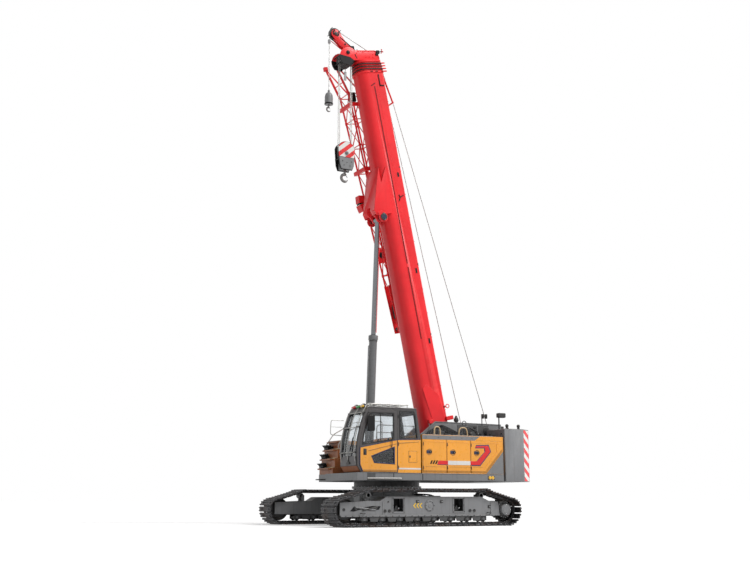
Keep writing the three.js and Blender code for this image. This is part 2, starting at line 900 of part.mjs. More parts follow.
function baseSection() {
  const tube = boomTube(0, boomTail, baseEnd);
  const ringAtEnd = collar(-22, boomWall, baseEnd - collarLength, baseEnd);
  const bosses = [1, -1].map((side) => {
    const low = side > 0 ? boomHalfWidth - 10 : -pedestalInner + running;
    return barY(170, 0, 0, low, low + pedestalInner - boomHalfWidth - running + 10, 24);
  });
  const shoe = collar(-14, boomWall, boomTail, boomTail + 220);
  return join(tube, ringAtEnd, shoe, ...bosses, jibRest(jib.narrowX + 4200), jibRest(jib.wideX - 400));
}
place('boom_base_section', baseSection(), boomRed, boom);

// The bracket under the boom that the cylinder's eye is pinned to: a hollow wedge with a slot
// between its two lugs.
const bracketTop = 8350;
const bracketRear = 6900;
const bracketLow = -1010;
const bracketPlate = 30;
const lugPlate = 60;

function luffBracket() {
  const half = boomHalfWidth + bracketPlate;
  const under = boomBottom - running;
  const cheek = [
    [bracketTop, under + 260],
    [luffPin.x + 100, under + 210],
    [luffPin.x + 80, bracketLow + 50],
    [luffPin.x + 260, bracketLow],
  ];
  const wedge = plateY(
    [[bracketTop, under], [bracketRear, under], [bracketRear, bracketLow + 50], [luffPin.x + 250, bracketLow]],
    -half,
    half,
  );
  const cheeks = [1, -1].map((side) => {
    const low = side > 0 ? boomHalfWidth + gap : -half;
    return plateY(cheek, low, low + bracketPlate - gap);
  });
  const lugs = [1, -1].map((side) => {
    const low = side > 0 ? lugGap : -lugGap - lugPlate;
    const ear = arc(luffPin.x, luffPin.z, 115, 270, 90, 8);
    return plateY(
      [[bracketRear + 50, under], [bracketRear + 50, bracketLow + 60], ...ear, [bracketRear - 50, under]],
      low,
      low + lugPlate,
    );
  });
  const pockets = [1, -1].map((side) => {
    const low = side > 0 ? lugGap + lugPlate : -half + bracketPlate;
    return plateY(
      [
        [bracketTop - 180, under - bracketPlate],
        [bracketRear - 20, under - bracketPlate],
        [bracketRear - 20, bracketLow + 90],
        [luffPin.x + 250, bracketLow + 45],
      ],
      low,
      low + half - bracketPlate - lugGap - lugPlate,
    );
  });
  const slot = box(bracketRear - 20, luffPin.x + 380, -lugGap, lugGap, bracketLow - 20, under - bracketPlate);
  return join(cut(join(wedge, ...cheeks), ...pockets, slot), ...lugs);
}
place('luff_bracket', luffBracket(), boomRed, boom);

// Two bars and a roller that hold the winch ropes away from the back of the boom.
function ropeGuide() {
  const { x, z, radius } = guideRoller;
  const armY = ropeY + 55;
  const foot = { x: baseEnd - 60, z: boomTop + 26 };
  return join(
    strut([foot.x, armY, foot.z], [x, armY, z], 26, 8),
    strut([foot.x, -armY, foot.z], [x, -armY, z], 26, 8),
    barY(radius, x, z, -armY - 30, armY + 30, 12),
    box(foot.x - 50, foot.x + 50, -armY - 30, armY + 30, boomTop + 22 + gap, boomTop + 60),
  );
}
place('rope_guide_arm', ropeGuide(), boomRed, boom);

// ---------------------------------------------------------------- stowed lattice jib

function jibCorner(share, y, z) {
  const blend = (a, b) => a + (b - a) * share;
  return [
    blend(jib.wideX, jib.narrowX),
    blend(jib.wide[y], jib.narrow[y]),
    blend(jib.wide[z], jib.narrow[z]),
  ];
}

function jibLattice() {
  const chord = 32;
  const lace = 17;
  const pieces = [];
  const corners = [['yNear', 'low'], ['yFar', 'low'], ['yFar', 'high'], ['yNear', 'high']];
  for (const [y, z] of corners) {
    pieces.push(strut(jibCorner(0, y, z), jibCorner(1, y, z), chord, 6));
  }
  for (let bay = 0; bay <= jibBays; bay += 1) {
    const here = bay / jibBays;
    const next = (bay + 1) / jibBays;
    corners.forEach(([y, z], i) => {
      const [y2, z2] = corners[(i + 1) % 4];
      pieces.push(strut(jibCorner(here, y, z), jibCorner(here, y2, z2), lace));
      if (bay < jibBays) {
        const flip = bay % 2 === 0;
        const from = flip ? jibCorner(here, y, z) : jibCorner(here, y2, z2);
        const to = flip ? jibCorner(next, y2, z2) : jibCorner(next, y, z);
        pieces.push(strut(from, to, lace));
      }
    });
  }
  for (const y of ['yNear', 'yFar']) {
    const tip = [jib.legX, jib.wide[y], jib.legZ];
    pieces.push(strut(jibCorner(0, y, 'low'), tip, 38));
    pieces.push(strut(jibCorner(0, y, 'high'), tip, 24));
    pieces.push(box(tip[0] - 60, tip[0] + 70, tip[1] - 50, tip[1] + 50, tip[2] - 60, tip[2] + 60));
  }
  const mid = [jib.legX - 620, jib.legZ + 217];
  pieces.push(strut([mid[0], jib.wide.yNear, mid[1]], [mid[0], jib.wide.yFar, mid[1]], lace));
  const { yNear, yFar, low, high } = jib.narrow;
  for (const y of [yNear, yFar]) {
    pieces.push(plateY(
      [[jib.narrowX + 60, low - 30], [jib.narrowX + 60, high + 30], [jib.tipX, high - 40], [jib.tipX, low + 20]],
      y - 8,
      y + 8,
    ));
  }
  pieces.push(barY(60, jib.tipX + 90, (low + high) / 2, yFar, yNear, 12));
  return join(...pieces);
}
place('lattice_jib', jibLattice(), boomRed, boom);

// ---------------------------------------------------------------- sliding boom sections
for (let k = 2; k <= sectionCount; k += 1) {
  const insetBy = sectionStep * (k - 1);
  const tail = innerTail + tailStep * (k - 2);
  const end = baseEnd + collarPitch * (k - 1);
  const section = join(
    boomTube(insetBy, tail, end),
    collar(-22 + collarStep * (k - 1), insetBy + boomWall, end - collarLength, end),
  );
  place(k === sectionCount ? 'boom_tip_section' : `boom_section_${k}`, section, boomRed, boom);
}
const tipEnd = baseEnd + collarPitch * (sectionCount - 1);

function boomHead() {
  const cheek = [
    [tipEnd + gap, 190],
    [headNose - 120, 190],
    [headNose, 90],
    [headNose, -640],
    ...arc(headSheave.x, headSheave.z, 330, 30, -90, 6),
    [headSheave.x - 200, -1120],
    [headSheave.x - 260, -900],
    [tipEnd + gap, -690],
  ];
  const cheeks = [1, -1].map((side) => {
    const low = side > 0 ? headHalfWidth - headPlate : -headHalfWidth;
    return plateY(cheek, low, low + headPlate);
  });
  const deck = box(tipEnd + gap, tipEnd + 60, -headHalfWidth, headHalfWidth, -560, -60);
  const axle = barY(55, headSheave.x, headSheave.z, -headHalfWidth, -headHalfWidth + 5, 12);
  const nose = box(headNose - 60, headNose, -headHalfWidth, headHalfWidth, -640, -30);
  const roof = box(tipEnd + gap, tipEnd + 60, -headHalfWidth, headHalfWidth, -60, -20);
  return join(...cheeks, deck, nose, roof, axle);
}
place('boom_head', boomHead(), boomRed, boom);

// Grooved wheels side by side on one axle.
function sheaves({ x, z, radius }, count, pitch, axleHalf) {
  const wheels = Array.from({ length: count }, (_, i) => {
    const y = (i - (count - 1) / 2) * pitch;
    return barY(radius, x, z, y - pitch * 0.36, y + pitch * 0.36, 20);
  });
  return join(...wheels, barY(48, x, z, -axleHalf, axleHalf, 14));
}
place('head_sheaves', sheaves(headSheave, 4, 90, headHalfWidth - headPlate - gap), blackSteel, boom);
place('rear_head_sheaves', sheaves(rearSheave, 2, 110, headHalfWidth - headPlate - gap), blackSteel, boom);

// The short arm in front of the head that carries the single line.
function tipArm() {
  const arm = [
    [headNose + gap, -420],
    [headNose + gap, -700],
    [headNose + 210, -930],
    ...arc(tipSheave.x, tipSheave.z, 150, 230, 410, 8),
    [headNose + 360, -760],
  ];
  const plates = [1, -1].map((side) => {
    const low = side > 0 ? 55 : -80;
    return plateY(arm, low, low + 25);
  });
  const spacer = box(headNose + gap, headNose + 80, -70, 70, -680, -440);
  return join(...plates, spacer);
}
place('tip_sheave_arm', tipArm(), boomRed, boom);
place('tip_sheave', sheaves(tipSheave, 1, 90, 55 - gap), blackSteel, boom);

// ---------------------------------------------------------------- luffing cylinder
function boomPoint(x, z) {
  const turn = boomAngle * mm;
  return {
    x: footPin.x + x * Math.cos(turn) - z * Math.sin(turn),
    z: footPin.z + x * Math.sin(turn) + z * Math.cos(turn),
  };
}
const rodEye = boomPoint(luffPin.x, luffPin.z);
const cylinderReach = Math.hypot(rodEye.x - cylinderFoot.x, rodEye.z - cylinderFoot.z);
const cylinder = new THREE.Group();
cylinder.position.set(cylinderFoot.x, 0, cylinderFoot.z);
cylinder.rotation.y = -Math.atan2(rodEye.z - cylinderFoot.z, rodEye.x - cylinderFoot.x);
crane.add(cylinder);

const barrelBore = rodRadius + running;
const barrel = join(
  plateX(circle(0, 0, barrelRadius), 150, barrelLength, [circle(0, 0, barrelRadius - barrelWall)]),
  plateX(circle(0, 0, barrelRadius), 150, 250),
  box(0, 160, -lugGap + running, lugGap - running, -85, 85),
  plateX(circle(0, 0, barrelRadius + 22), barrelLength - 110, barrelLength, [circle(0, 0, barrelBore)]),
  barY(105, 0, 0, -lugGap + running, lugGap - running, 20),
);
place('luff_cylinder_barrel', barrel, cylinderGrey, cylinder);

const rod = join(
  barX(rodRadius, 0, 0, cylinderReach - rodLength, cylinderReach - 60, 20),
  barY(105, cylinderReach, 0, -lugGap + running, lugGap - running, 20),
);
place('luff_cylinder_rod', rod, chrome, cylinder);

// ---------------------------------------------------------------- hooks and ropes
const mainHang = boomPoint(headSheave.x, headSheave.z);
const tipHang = boomPoint(tipSheave.x, tipSheave.z);
const tipLineX = tipHang.x + tipSheave.radius - 20;
const hookBlockZ = Math.round(mainHang.z) - hookBlockDrop;
const ballZ = Math.round(tipHang.z) - ballDrop;

function shankHook(size) {
  // a point hook in the XZ plane, hung from its shank at the origin
  const outer = arc(0, -1.75 * size, size, 90, -170, 12);
  const inner = arc(0.02 * size, -1.7 * size, 0.5 * size, -150, 75, 9);
  const bow = plateY([...outer, ...inner], -0.24 * size, 0.24 * size);
  return join(bow, barZ(0.26 * size, 0, 0, -1.3 * size, 0, 12));
}

function mainBlock() {
  const cheek = [
    ...arc(0, 0, 275, 20, 160, 8),
    [-215, -360],
    [-150, -470],
    [150, -470],
    [215, -360],
  ];
  const cheeks = [1, -1].map((side) => {
    const low = side > 0 ? 105 : -130;
    return plateY(cheek, low, low + 25);
  });
  const wheels = [1, -1].map((side) => barY(230, 0, 0, side * 50 - 32, side * 50 + 32, 20));
  const weight = box(-150, 150, -110, 110, -480, -300);
  return join(...cheeks, ...wheels, barY(50, 0, 0, -140, 140, 16), weight)
    .translate(mainHang.x, 0, hookBlockZ);
}
place('main_hook_block', mainBlock(), frameGrey);
place('main_hook', shankHook(135).translate(mainHang.x, 0, hookBlockZ - 480 - gap), blackSteel);

const ball = join(
  turned([[0, -210], [85, -210], [125, -150], [128, 60], [85, 160], [35, 200], [35, 260], [0, 260]]),
);
place('overhaul_ball', ball.translate(tipLineX, 0, ballZ), frameGrey);
place('single_line_hook', shankHook(78).translate(tipLineX, 0, ballZ - 210 - gap), blackSteel);

// Wedge sockets that hang from the head and hold the ropes' ends.
const mainSocket = join(
  box(-30, 30, -28, 28, -420, -150),
  barZ(10, 0, 0, -160, -20, 8),
);
place('main_rope_socket', mainSocket.translate(mainHang.x, 0, mainHang.z - headSheave.radius), blackSteel);
const limitWeight = barZ(45, 0, 0, -330, -210, 12);
place('single_line_limit_weight', limitWeight.translate(tipLineX, 0, tipHang.z), blackSteel);

// The straight runs of rope from the winches to the roller behind the boom.
function ropeRun(winchAt, y) {
  const target = boomPoint(guideRoller.x, guideRoller.z);
  const across = target.x - winchAt.x;
  const up = target.z - winchAt.z;
  const reach = Math.hypot(across, up);
  const lay = drumRadius + ropeRadius + running;
  const less = lay - (guideRoller.radius + ropeRadius + running);
  const run = new THREE.Group();
  run.position.set(winchAt.x, y, winchAt.z);
  run.rotation.y = -(Math.atan2(up, across) - Math.asin(less / reach));
  crane.add(run);
  return { run, lay, length: Math.sqrt(reach * reach - less * less) };
}

for (const [name, winchAt, y] of [['rear', rearWinch, ropeY], ['front', frontWinch, -ropeY]]) {
  const { run, lay, length } = ropeRun(winchAt, y);
  place(`${name}_winch_rope`, barX(ropeRadius, 0, lay, 0, length, 8), ropeSteel, run);
}

crane.position.x = -originX;

export default crane;
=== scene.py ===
"""A telescopic crawler crane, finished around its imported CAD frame.

Places are in metres. The superstructure and the crawlers are laid out from the slew axis, the
boom from its foot pin and the luffing cylinder from its lower pin, each through a matrix that
the frame's joints give. In the boom's own axes X runs along it, Y to the left and Z to its back.
"""

import json
import math

import bmesh
import bpy
from mathutils import Euler, Matrix, Vector, geometry

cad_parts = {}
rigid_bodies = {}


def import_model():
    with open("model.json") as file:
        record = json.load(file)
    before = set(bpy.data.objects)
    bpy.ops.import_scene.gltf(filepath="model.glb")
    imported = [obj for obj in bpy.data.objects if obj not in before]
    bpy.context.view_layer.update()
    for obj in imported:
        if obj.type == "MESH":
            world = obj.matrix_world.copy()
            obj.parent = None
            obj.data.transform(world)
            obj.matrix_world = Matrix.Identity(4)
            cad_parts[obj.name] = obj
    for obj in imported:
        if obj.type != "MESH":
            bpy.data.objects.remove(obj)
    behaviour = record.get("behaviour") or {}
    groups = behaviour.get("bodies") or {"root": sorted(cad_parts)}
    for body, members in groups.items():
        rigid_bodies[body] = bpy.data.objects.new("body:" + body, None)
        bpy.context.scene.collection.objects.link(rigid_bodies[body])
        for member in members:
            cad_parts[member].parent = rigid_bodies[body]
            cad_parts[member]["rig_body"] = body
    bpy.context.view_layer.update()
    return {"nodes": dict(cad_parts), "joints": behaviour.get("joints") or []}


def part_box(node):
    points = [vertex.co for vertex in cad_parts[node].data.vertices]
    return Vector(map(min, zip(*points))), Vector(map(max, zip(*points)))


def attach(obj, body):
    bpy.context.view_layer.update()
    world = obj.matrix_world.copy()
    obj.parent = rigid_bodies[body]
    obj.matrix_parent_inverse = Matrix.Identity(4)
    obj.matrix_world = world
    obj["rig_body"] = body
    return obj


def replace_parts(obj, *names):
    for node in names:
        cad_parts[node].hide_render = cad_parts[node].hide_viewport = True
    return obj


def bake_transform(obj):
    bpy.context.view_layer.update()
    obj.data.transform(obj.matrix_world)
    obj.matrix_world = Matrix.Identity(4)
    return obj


bl_info = {
    "name": "Crawler crane finish",
    "version": (1, 0, 0),
    "blender": (4, 5, 0),
    "location": "View3D > Sidebar > Crane",
    "description": "Builds the finished look of a telescopic crawler crane around its frame",
    "category": "Object",
}

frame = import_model()
JOINTS = {joint["name"]: joint for joint in frame["joints"]}


def joint_place(name):
    return Vector(JOINTS[name]["pos_m"])


def leaning(point, direction):
    """A matrix with its origin at a point and its X along a direction in the XZ plane."""
    way = Vector(direction).normalized()
    across = Vector((0, 1, 0))
    turn = Matrix((way, across, way.cross(across))).transposed().to_4x4()
    return Matrix.Translation(point) @ turn


SLEW = Matrix.Translation(Vector((joint_place("slew").x, 0, 0)))
BOOM = leaning(joint_place("boom_luff"), JOINTS["boom_telescope"]["axis"])
CYLINDER = leaning(joint_place("luff_cylinder_swing"), JOINTS["luff_cylinder_stroke"]["axis"])
MIRROR = Matrix.Scale(-1, 4, (0, 1, 0))
SIDES = (("left", Matrix.Identity(4)), ("right", MIRROR))


def local_box(node, place):
    """A node's lowest and highest corner in a local frame that is only shifted."""
    low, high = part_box(node)
    return place.inverted() @ low, place.inverted() @ high


BODY_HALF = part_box("main_frame")[1].y
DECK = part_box("left_housing")[0].z
HOUSING_HIGH = local_box("left_housing", SLEW)[1]
CAB_LOW, CAB_HIGH = local_box("cab_shell", SLEW)
TRACK_LOW, TRACK_HIGH = local_box("left_track", SLEW)
CRAWLER_Y = (TRACK_LOW.y + TRACK_HIGH.y) / 2
CRAWLER_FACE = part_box("left_crawler_frame")[1].y
WEIGHT_LOW, WEIGHT_HIGH = local_box("counterweight", SLEW)
BOOM_HALF = 0.35  # half the base section's width
BOOM_TOP = 0.23
BOOM_BOTTOM = -0.59
BASE_END = 11.44
COLLAR_PITCH = 0.09


# ------------------------------------------------------------------ sizes and colours
def tint(code):
    """A linear colour from a six-digit screen colour."""
    parts = [int(code[i : i + 2], 16) / 255 for i in (0, 2, 4)]
    return tuple(p / 12.92 if p <= 0.04045 else ((p + 0.055) / 1.055) ** 2.4 for p in parts)


def colour(name, description, code):
    return bpy.props.FloatVectorProperty(
        name=name, description=description, subtype="COLOR", size=3, min=0, max=1, default=tint(code)
    )


def length(name, description, default):
    return bpy.props.FloatProperty(
        name=name, description=description, default=default, min=0.0005, unit="LENGTH"
    )


class CraneColours(bpy.types.PropertyGroup):
    """The paints of the crane."""

    boom: colour("Boom", "Gloss red of the boom, the head and the jib", "ea2a30")
    body: colour("Body", "Orange of the housings, the cab door and the steps", "ee9f2b")
    frame: colour("Frame", "Grey of the frames, the crawlers and the counterweight", "77787a")
    cab: colour("Cab", "Dark grey of the cab's frame", "474445")
    cylinder: colour("Cylinder", "Grey of the luffing cylinder's barrel", "6b6c6e")
    track: colour("Track", "Cast steel of the shoes and the links", "3f3f41")
    dark: colour("Dark parts", "Black paint of the wheels, the hooks and the guards", "1d1d1f")
    trim: colour("Trim line", "Dark blue line along the cab and the stripe", "1c2747")
    stripe: colour("Stripe", "Red of the side stripe and the hazard bands", "dd171e")
    # painted shade: this brown is the body orange darkened for the shade on the steps and the cab's lower
    # front
    steps: colour("Steps", "Brown of the steps and the cab's lower front", "9a5a30")
    dust: colour("Dust", "Pale dust that lies on upward faces", "b3a999")


class CraneSizes(bpy.types.PropertyGroup):
    """The sizes of what repeats over the crane."""

    shoes: bpy.props.IntProperty(
        name="Shoes", description="Shoes on each track", default=66, min=40, max=90
    )
    rope: length("Rope", "Diameter of the hoist ropes", 0.024)
    bolt: length("Bolt", "Width across a bolt's head", 0.032)
    edge: length("Edge", "Radius of the rounded sheet metal edges", 0.008)
    hazard: length("Hazard band", "Width of a red or white hazard band", 0.143)


def colours():
    return bpy.context.scene.crane_colours


def sizes():
    return bpy.context.scene.crane_sizes


# ------------------------------------------------------------------ solids
def arc(x, y, radius, start, end, steps):
    """Points round a centre, from one angle to another, in degrees."""
    turns = [math.radians(start + (end - start) * i / steps) for i in range(steps + 1)]
    return [(x + radius * math.cos(t), y + radius * math.sin(t)) for t in turns]


def moved(outline, x, y):
    return [(a + x, b + y) for a, b in outline]


def grown(outline, amount):
    """An outline that runs counterclockwise, moved out by an amount on every side."""
    count = len(outline)
    result = []
    for i, here in enumerate(outline):
        here = Vector(here)
        a = (here - Vector(outline[i - 1])).normalized()
        b = (Vector(outline[(i + 1) % count]) - here).normalized()
        out = Vector((a.y + b.y, -a.x - b.x))
        result.append(tuple(here + out * (amount / max(out.length_squared / 2, 0.2))))
    return result


def rounded(points, radius, steps=4):
    """A path whose inner corners are rounded off, as a bent tube's are."""
    points = [Vector(p) for p in points]
    path = [points[0]]
    for before, corner, after in zip(points, points[1:], points[2:]):
        back, on = before - corner, after - corner
        reach = min(radius, back.length / 2, on.length / 2)
        a = corner + back.normalized() * reach
        b = corner + on.normalized() * reach
        for i in range(steps + 1):
            t = i / steps
            path.append(a * (1 - t) ** 2 + corner * 2 * t * (1 - t) + b * t * t)
    return path + [points[-1]]


LAYING = {
    "X": lambda a, b, c: (c, a, b),
    "Y": lambda a, b, c: (a, c, b),
    "Z": lambda a, b, c: (a, b, c),
}


class Shape:
    """One mesh in the making: solids with their finishes, given in a local frame."""

    def __init__(self, place=None):
        self.place = place or Matrix.Identity(4)
        self.points = []
        self.faces = []
        self.marks = []
        self.finishes = []

    def add(self, points, faces, finish, smooth=False):
        if finish not in self.finishes:
            self.finishes.append(finish)
        index = self.finishes.index(finish)
        start = len(self.points)
        flip = self.place.determinant() < 0
        self.points += [self.place @ Vector(p) for p in points]
        for face in faces:
            face = [start + i for i in face]
            self.faces.append(face[::-1] if flip else face)
            self.marks.append((index, smooth))

    def take(self, bm, finish, bevel=0.0, segments=2, smooth=False):
        """Takes in a closed bmesh, with its sharp edges rounded."""
        bmesh.ops.recalc_face_normals(bm, faces=bm.faces)
        if bevel:
            sharp = [e for e in bm.edges if e.calc_face_angle(0) > math.radians(28)]
            bmesh.ops.bevel(
                bm,
                geom=sharp,
                offset=bevel,
                segments=segments,
                profile=0.5,
                affect="EDGES",
                clamp_overlap=True,
            )
        bm.verts.index_update()
        points = [v.co.copy() for v in bm.verts]
        faces = [[v.index for v in f.verts] for f in bm.faces]
        self.add(points, faces, finish, smooth)
        bm.free()

    def box(self, low, high, finish, bevel=0.004, turn=None):
        """A box between two corners with rounded edges, turned about its centre if asked."""
        low, high = Vector(low), Vector(high)
        centre, size = (low + high) / 2, high - low
        bm = bmesh.new()
        bmesh.ops.create_cube(bm, size=1)
        bmesh.ops.scale(bm, vec=size, verts=bm.verts)
        bevel = min(bevel, min(abs(c) for c in size) * 0.4)
        bmesh.ops.bevel(
            bm, geom=bm.edges[:], offset=bevel, segments=1, profile=0.5, affect="EDGES"
        )
        if turn:
            bmesh.ops.transform(bm, matrix=turn.to_4x4(), verts=bm.verts)
        bmesh.ops.translate(bm, vec=centre, verts=bm.verts)
        self.take(bm, finish)

    def prism(self, outline, axis, low, high, finish, bevel=0.003, smooth=False):
        """An outline pushed from low to high along an axis; its points are the other two."""
        at = LAYING[axis]
        bm = bmesh.new()
        ends = [[bm.verts.new(at(a, b, c)) for a, b in outline] for c in (low, high)]
        bm.faces.new(ends[0])
        bm.faces.new(ends[1][::-1])
        for i in range(len(outline)):
            j = (i + 1) % len(outline)
            bm.faces.new((ends[0][i], ends[0][j], ends[1][j], ends[1][i]))
        self.take(bm, finish, bevel, 1, smooth)

    def rim(self, outer, inner, axis, low, high, finish, smooth=False):
        """A closed border between two outlines with the same number of points."""
        at = LAYING[axis]
        loops = ((outer, low), (inner, low), (inner, high), (outer, high))
        bm = bmesh.new()
        rings = [[bm.verts.new(at(a, b, c)) for a, b in line] for line, c in loops]
        for line, other in zip(rings, rings[1:] + rings[:1]):
            for i in range(len(outer)):
                j = (i + 1) % len(outer)
                bm.faces.new((line[i], line[j], other[j], other[i]))
        self.take(bm, finish, smooth=smooth)

    def turned(self, profile, start, way, finish, sides=24, smooth=True):
        """A body of revolution from (radius, distance) points along a direction."""
        start, way = Vector(start), Vector(way).normalized()
        side = way.orthogonal().normalized()
        other = way.cross(side)
        turns = [2 * math.pi * i / sides for i in range(sides)]
        bm = bmesh.new()
        loops = []
        for radius, along in profile:
            middle = start + way * along
            if radius < 1e-6:
                loops.append([bm.verts.new(middle)])
            else:
                spokes = [(side * math.cos(t) + other * math.sin(t)) * radius for t in turns]
                loops.append([bm.verts.new(middle + spoke) for spoke in spokes])
        for a, b in zip(loops, loops[1:]):
            for i in range(sides):
                j = (i + 1) % sides
                corners = (a[i % len(a)], a[j % len(a)], b[j % len(b)], b[i % len(b)])
                unique = list(dict.fromkeys(corners))
                if len(unique) > 2:
                    bm.faces.new(unique)
        self.take(bm, finish, smooth=smooth)

    def rod(self, start, end, radius, finish, sides=14, bevel=0.0, smooth=True):
        """A round bar, with a chamfer at both ends if asked."""
        start, end = Vector(start), Vector(end)
        reach = (end - start).length
        cut = min(bevel, reach / 3, radius / 2)
        profile = [(0, 0), (radius, 0), (radius, reach), (0, reach)]
        if cut:
            profile[1:3] = [
                (radius - cut, 0), (radius, cut), (radius, reach - cut), (radius - cut, reach)
            ]
        self.turned(profile, start, end - start, finish, sides, smooth)

    def tube(self, points, radius, finish, sides=8, bend=0.0):
        """A round tube along a path, with its corners bent to a radius."""
        path = rounded(points, bend) if bend else [Vector(p) for p in points]
        ways = [(b - a).normalized() for a, b in zip(path, path[1:])]
        turns = [2 * math.pi * k / sides for k in range(sides)]
        side = ways[0].orthogonal().normalized()
        made = []
        for i, point in enumerate(path):
            way = (ways[max(i - 1, 0)] + ways[min(i, len(ways) - 1)]).normalized()
            side = (side - way * side.dot(way)).normalized()
            other = way.cross(side)
            made += [point + (side * math.cos(t) + other * math.sin(t)) * radius for t in turns]
        faces = [list(range(sides))[::-1], [len(made) - sides + k for k in range(sides)]]
        for i in range(len(path) - 1):
            for k in range(sides):
                m = (k + 1) % sides
                at = i * sides
                faces.append([at + k, at + m, at + sides + m, at + sides + k])
        self.add(made, faces, finish, True)

    def sheave(self, x, y, z, radius, width, finish, axis=(0, 1, 0)):
        """A grooved rope wheel with a hub, centred on a point."""
        half = width / 2
        profile = [
            (0.0, -half * 1.1),
            (radius * 0.2, -half * 1.1),
            (radius * 0.22, -half * 0.45),
            (radius * 0.8, -half * 0.35),
            (radius * 0.84, -half),
            (radius, -half),
            (radius, -half * 0.7),
            (radius - 0.022, 0),
            (radius, half * 0.7),
            (radius, half),
            (radius * 0.84, half),
            (radius * 0.8, half * 0.35),
            (radius * 0.22, half * 0.45),
            (radius * 0.2, half * 1.1),
            (0.0, half * 1.1),
        ]
        self.turned(profile, (x, y, z), axis, finish, 36)

    def bolt(self, point, way, width, finish="dark", high=0.5):
        """A hexagon head standing on a face."""
        r, h = width / 2, width * high
        self.turned([(0, 0), (r, 0), (r, h * 0.8), (r * 0.8, h), (0, h)], point, way, finish, 6, False)

    def mesh(self, name):
        mesh = bpy.data.meshes.new(name)
        mesh.from_pydata(self.points, [], self.faces)
        for finish in self.finishes:
            mesh.materials.append(finish_of(finish))
        mesh.polygons.foreach_set("material_index", [m[0] for m in self.marks])
        mesh.polygons.foreach_set("use_smooth", [m[1] for m in self.marks])
        mesh.set_sharp_from_angle(angle=math.radians(38))
        mesh.update()
        return mesh

    def done(self, name, body, slot=None):
        """The finished piece, riding on its body."""
        if not self.faces:
            raise RuntimeError(f"{name} has nothing in it")
        return settle(link(name, self.mesh(name)), body)


def link(name, mesh):
    piece = bpy.data.objects.new(name, mesh)
    bpy.context.scene.collection.objects.link(piece)
    return piece


def settle(piece, body):
    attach(piece, body)
    return piece


def made_plain(piece):
    """Turns a piece's modifiers into its mesh."""
    graph = bpy.context.evaluated_depsgraph_get()
    mesh = bpy.data.meshes.new_from_object(piece.evaluated_get(graph))
    piece.modifiers.clear()
    old = piece.data
    piece.data = mesh
    bpy.data.meshes.remove(old)
    mesh.name = piece.name


def skin(node, finish, edge=0.0, angle=38):
    """A copy of a CAD node with merged points, rounded edges and smooth curved faces."""
    source = frame["nodes"][node]
    bm = bmesh.new()
    bm.from_mesh(source.data)
    bmesh.ops.remove_doubles(bm, verts=bm.verts, dist=1e-5)
    flat = [e for e in bm.edges if e.calc_face_angle(4) < math.radians(0.5)]
    bmesh.ops.dissolve_edges(bm, edges=flat, use_verts=False)
    mesh = bpy.data.meshes.new(f"{node}_skin")
    bm.to_mesh(mesh)
    bm.free()
    piece = link(f"{node}_skin", mesh)
    if edge:
        cut = piece.modifiers.new("Edges", "BEVEL")
        cut.width = edge
        cut.segments = 2
        cut.limit_method = "ANGLE"
        cut.angle_limit = math.radians(angle)
        made_plain(piece)
    piece.data.materials.clear()
    piece.data.materials.append(finish_of(finish))
    piece.data.shade_smooth()
    piece.data.set_sharp_from_angle(angle=math.radians(angle))
    settle(piece, source["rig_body"])
    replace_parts(piece, node)
    return piece


def paint_node(node, finish):
    """Gives a CAD node its finish."""
    data = frame["nodes"][node].data
    data.materials.clear()
    data.materials.append(finish_of(finish))
    data.polygons.foreach_set("material_index", [0] * len(data.polygons))


# ------------------------------------------------------------------ node trees
class Graph:
    """Adds nodes to a tree; an input is given a value or another node's output."""

    def __init__(self, tree):
        self.tree = tree

    def add(self, kind, inputs=None, **settings):
        node = self.tree.nodes.new(kind)
        for key, value in settings.items():
            setattr(node, key, value)
        for key, value in (inputs or {}).items():
            self.feed(node.inputs[key], value)
        return node

    def feed(self, socket, value):
        if isinstance(value, bpy.types.NodeSocket):
            self.tree.links.new(value, socket)
        else:
            socket.default_value = value

    def maths(self, operation, a, b=0.0, clamp=False):
        node = self.add("ShaderNodeMath", {0: a, 1: b}, operation=operation, use_clamp=clamp)
        return node.outputs[0]

    def ramp(self, value, low, high, to_low=0.0, to_high=1.0):
        inputs = {"Value": value, "From Min": low, "From Max": high, "To Min": to_low, "To Max": to_high}
        return self.add("ShaderNodeMapRange", inputs, interpolation_type="SMOOTHSTEP").outputs[0]

    def noise(self, vector, scale, detail=3.0, rough=0.55):
        inputs = {"Vector": vector, "Scale": scale, "Detail": detail, "Roughness": rough}
        return self.add("ShaderNodeTexNoise", inputs).outputs[0]

    def mix(self, factor, a, b, blend="MIX"):
        node = self.add("ShaderNodeMix", {"Factor": factor}, data_type="RGBA", blend_type=blend)
        self.feed(node.inputs[6], a)
        self.feed(node.inputs[7], b)
        return node.outputs[2]


def new_group(name, kind, inputs, outputs):
    """A node group with named sockets, its graph and its two ends."""
    tree = bpy.data.node_groups.new(name, kind)
    for label, socket_type, value in inputs:
        socket = tree.interface.new_socket(label, in_out="INPUT", socket_type=socket_type)
        if value is not None:
            socket.default_value = value
    for label, socket_type in outputs:
        tree.interface.new_socket(label, in_out="OUTPUT", socket_type=socket_type)
    graph = Graph(tree)
    return tree, graph, graph.add("NodeGroupInput").outputs, graph.add("NodeGroupOutput").inputs


COLOUR, FLOAT, VECTOR = "NodeSocketColor", "NodeSocketFloat", "NodeSocketVector"
SURFACE = (("Color", COLOUR), ("Roughness", FLOAT), ("Normal", VECTOR))
WHITE = (1.0, 1.0, 1.0, 1.0)


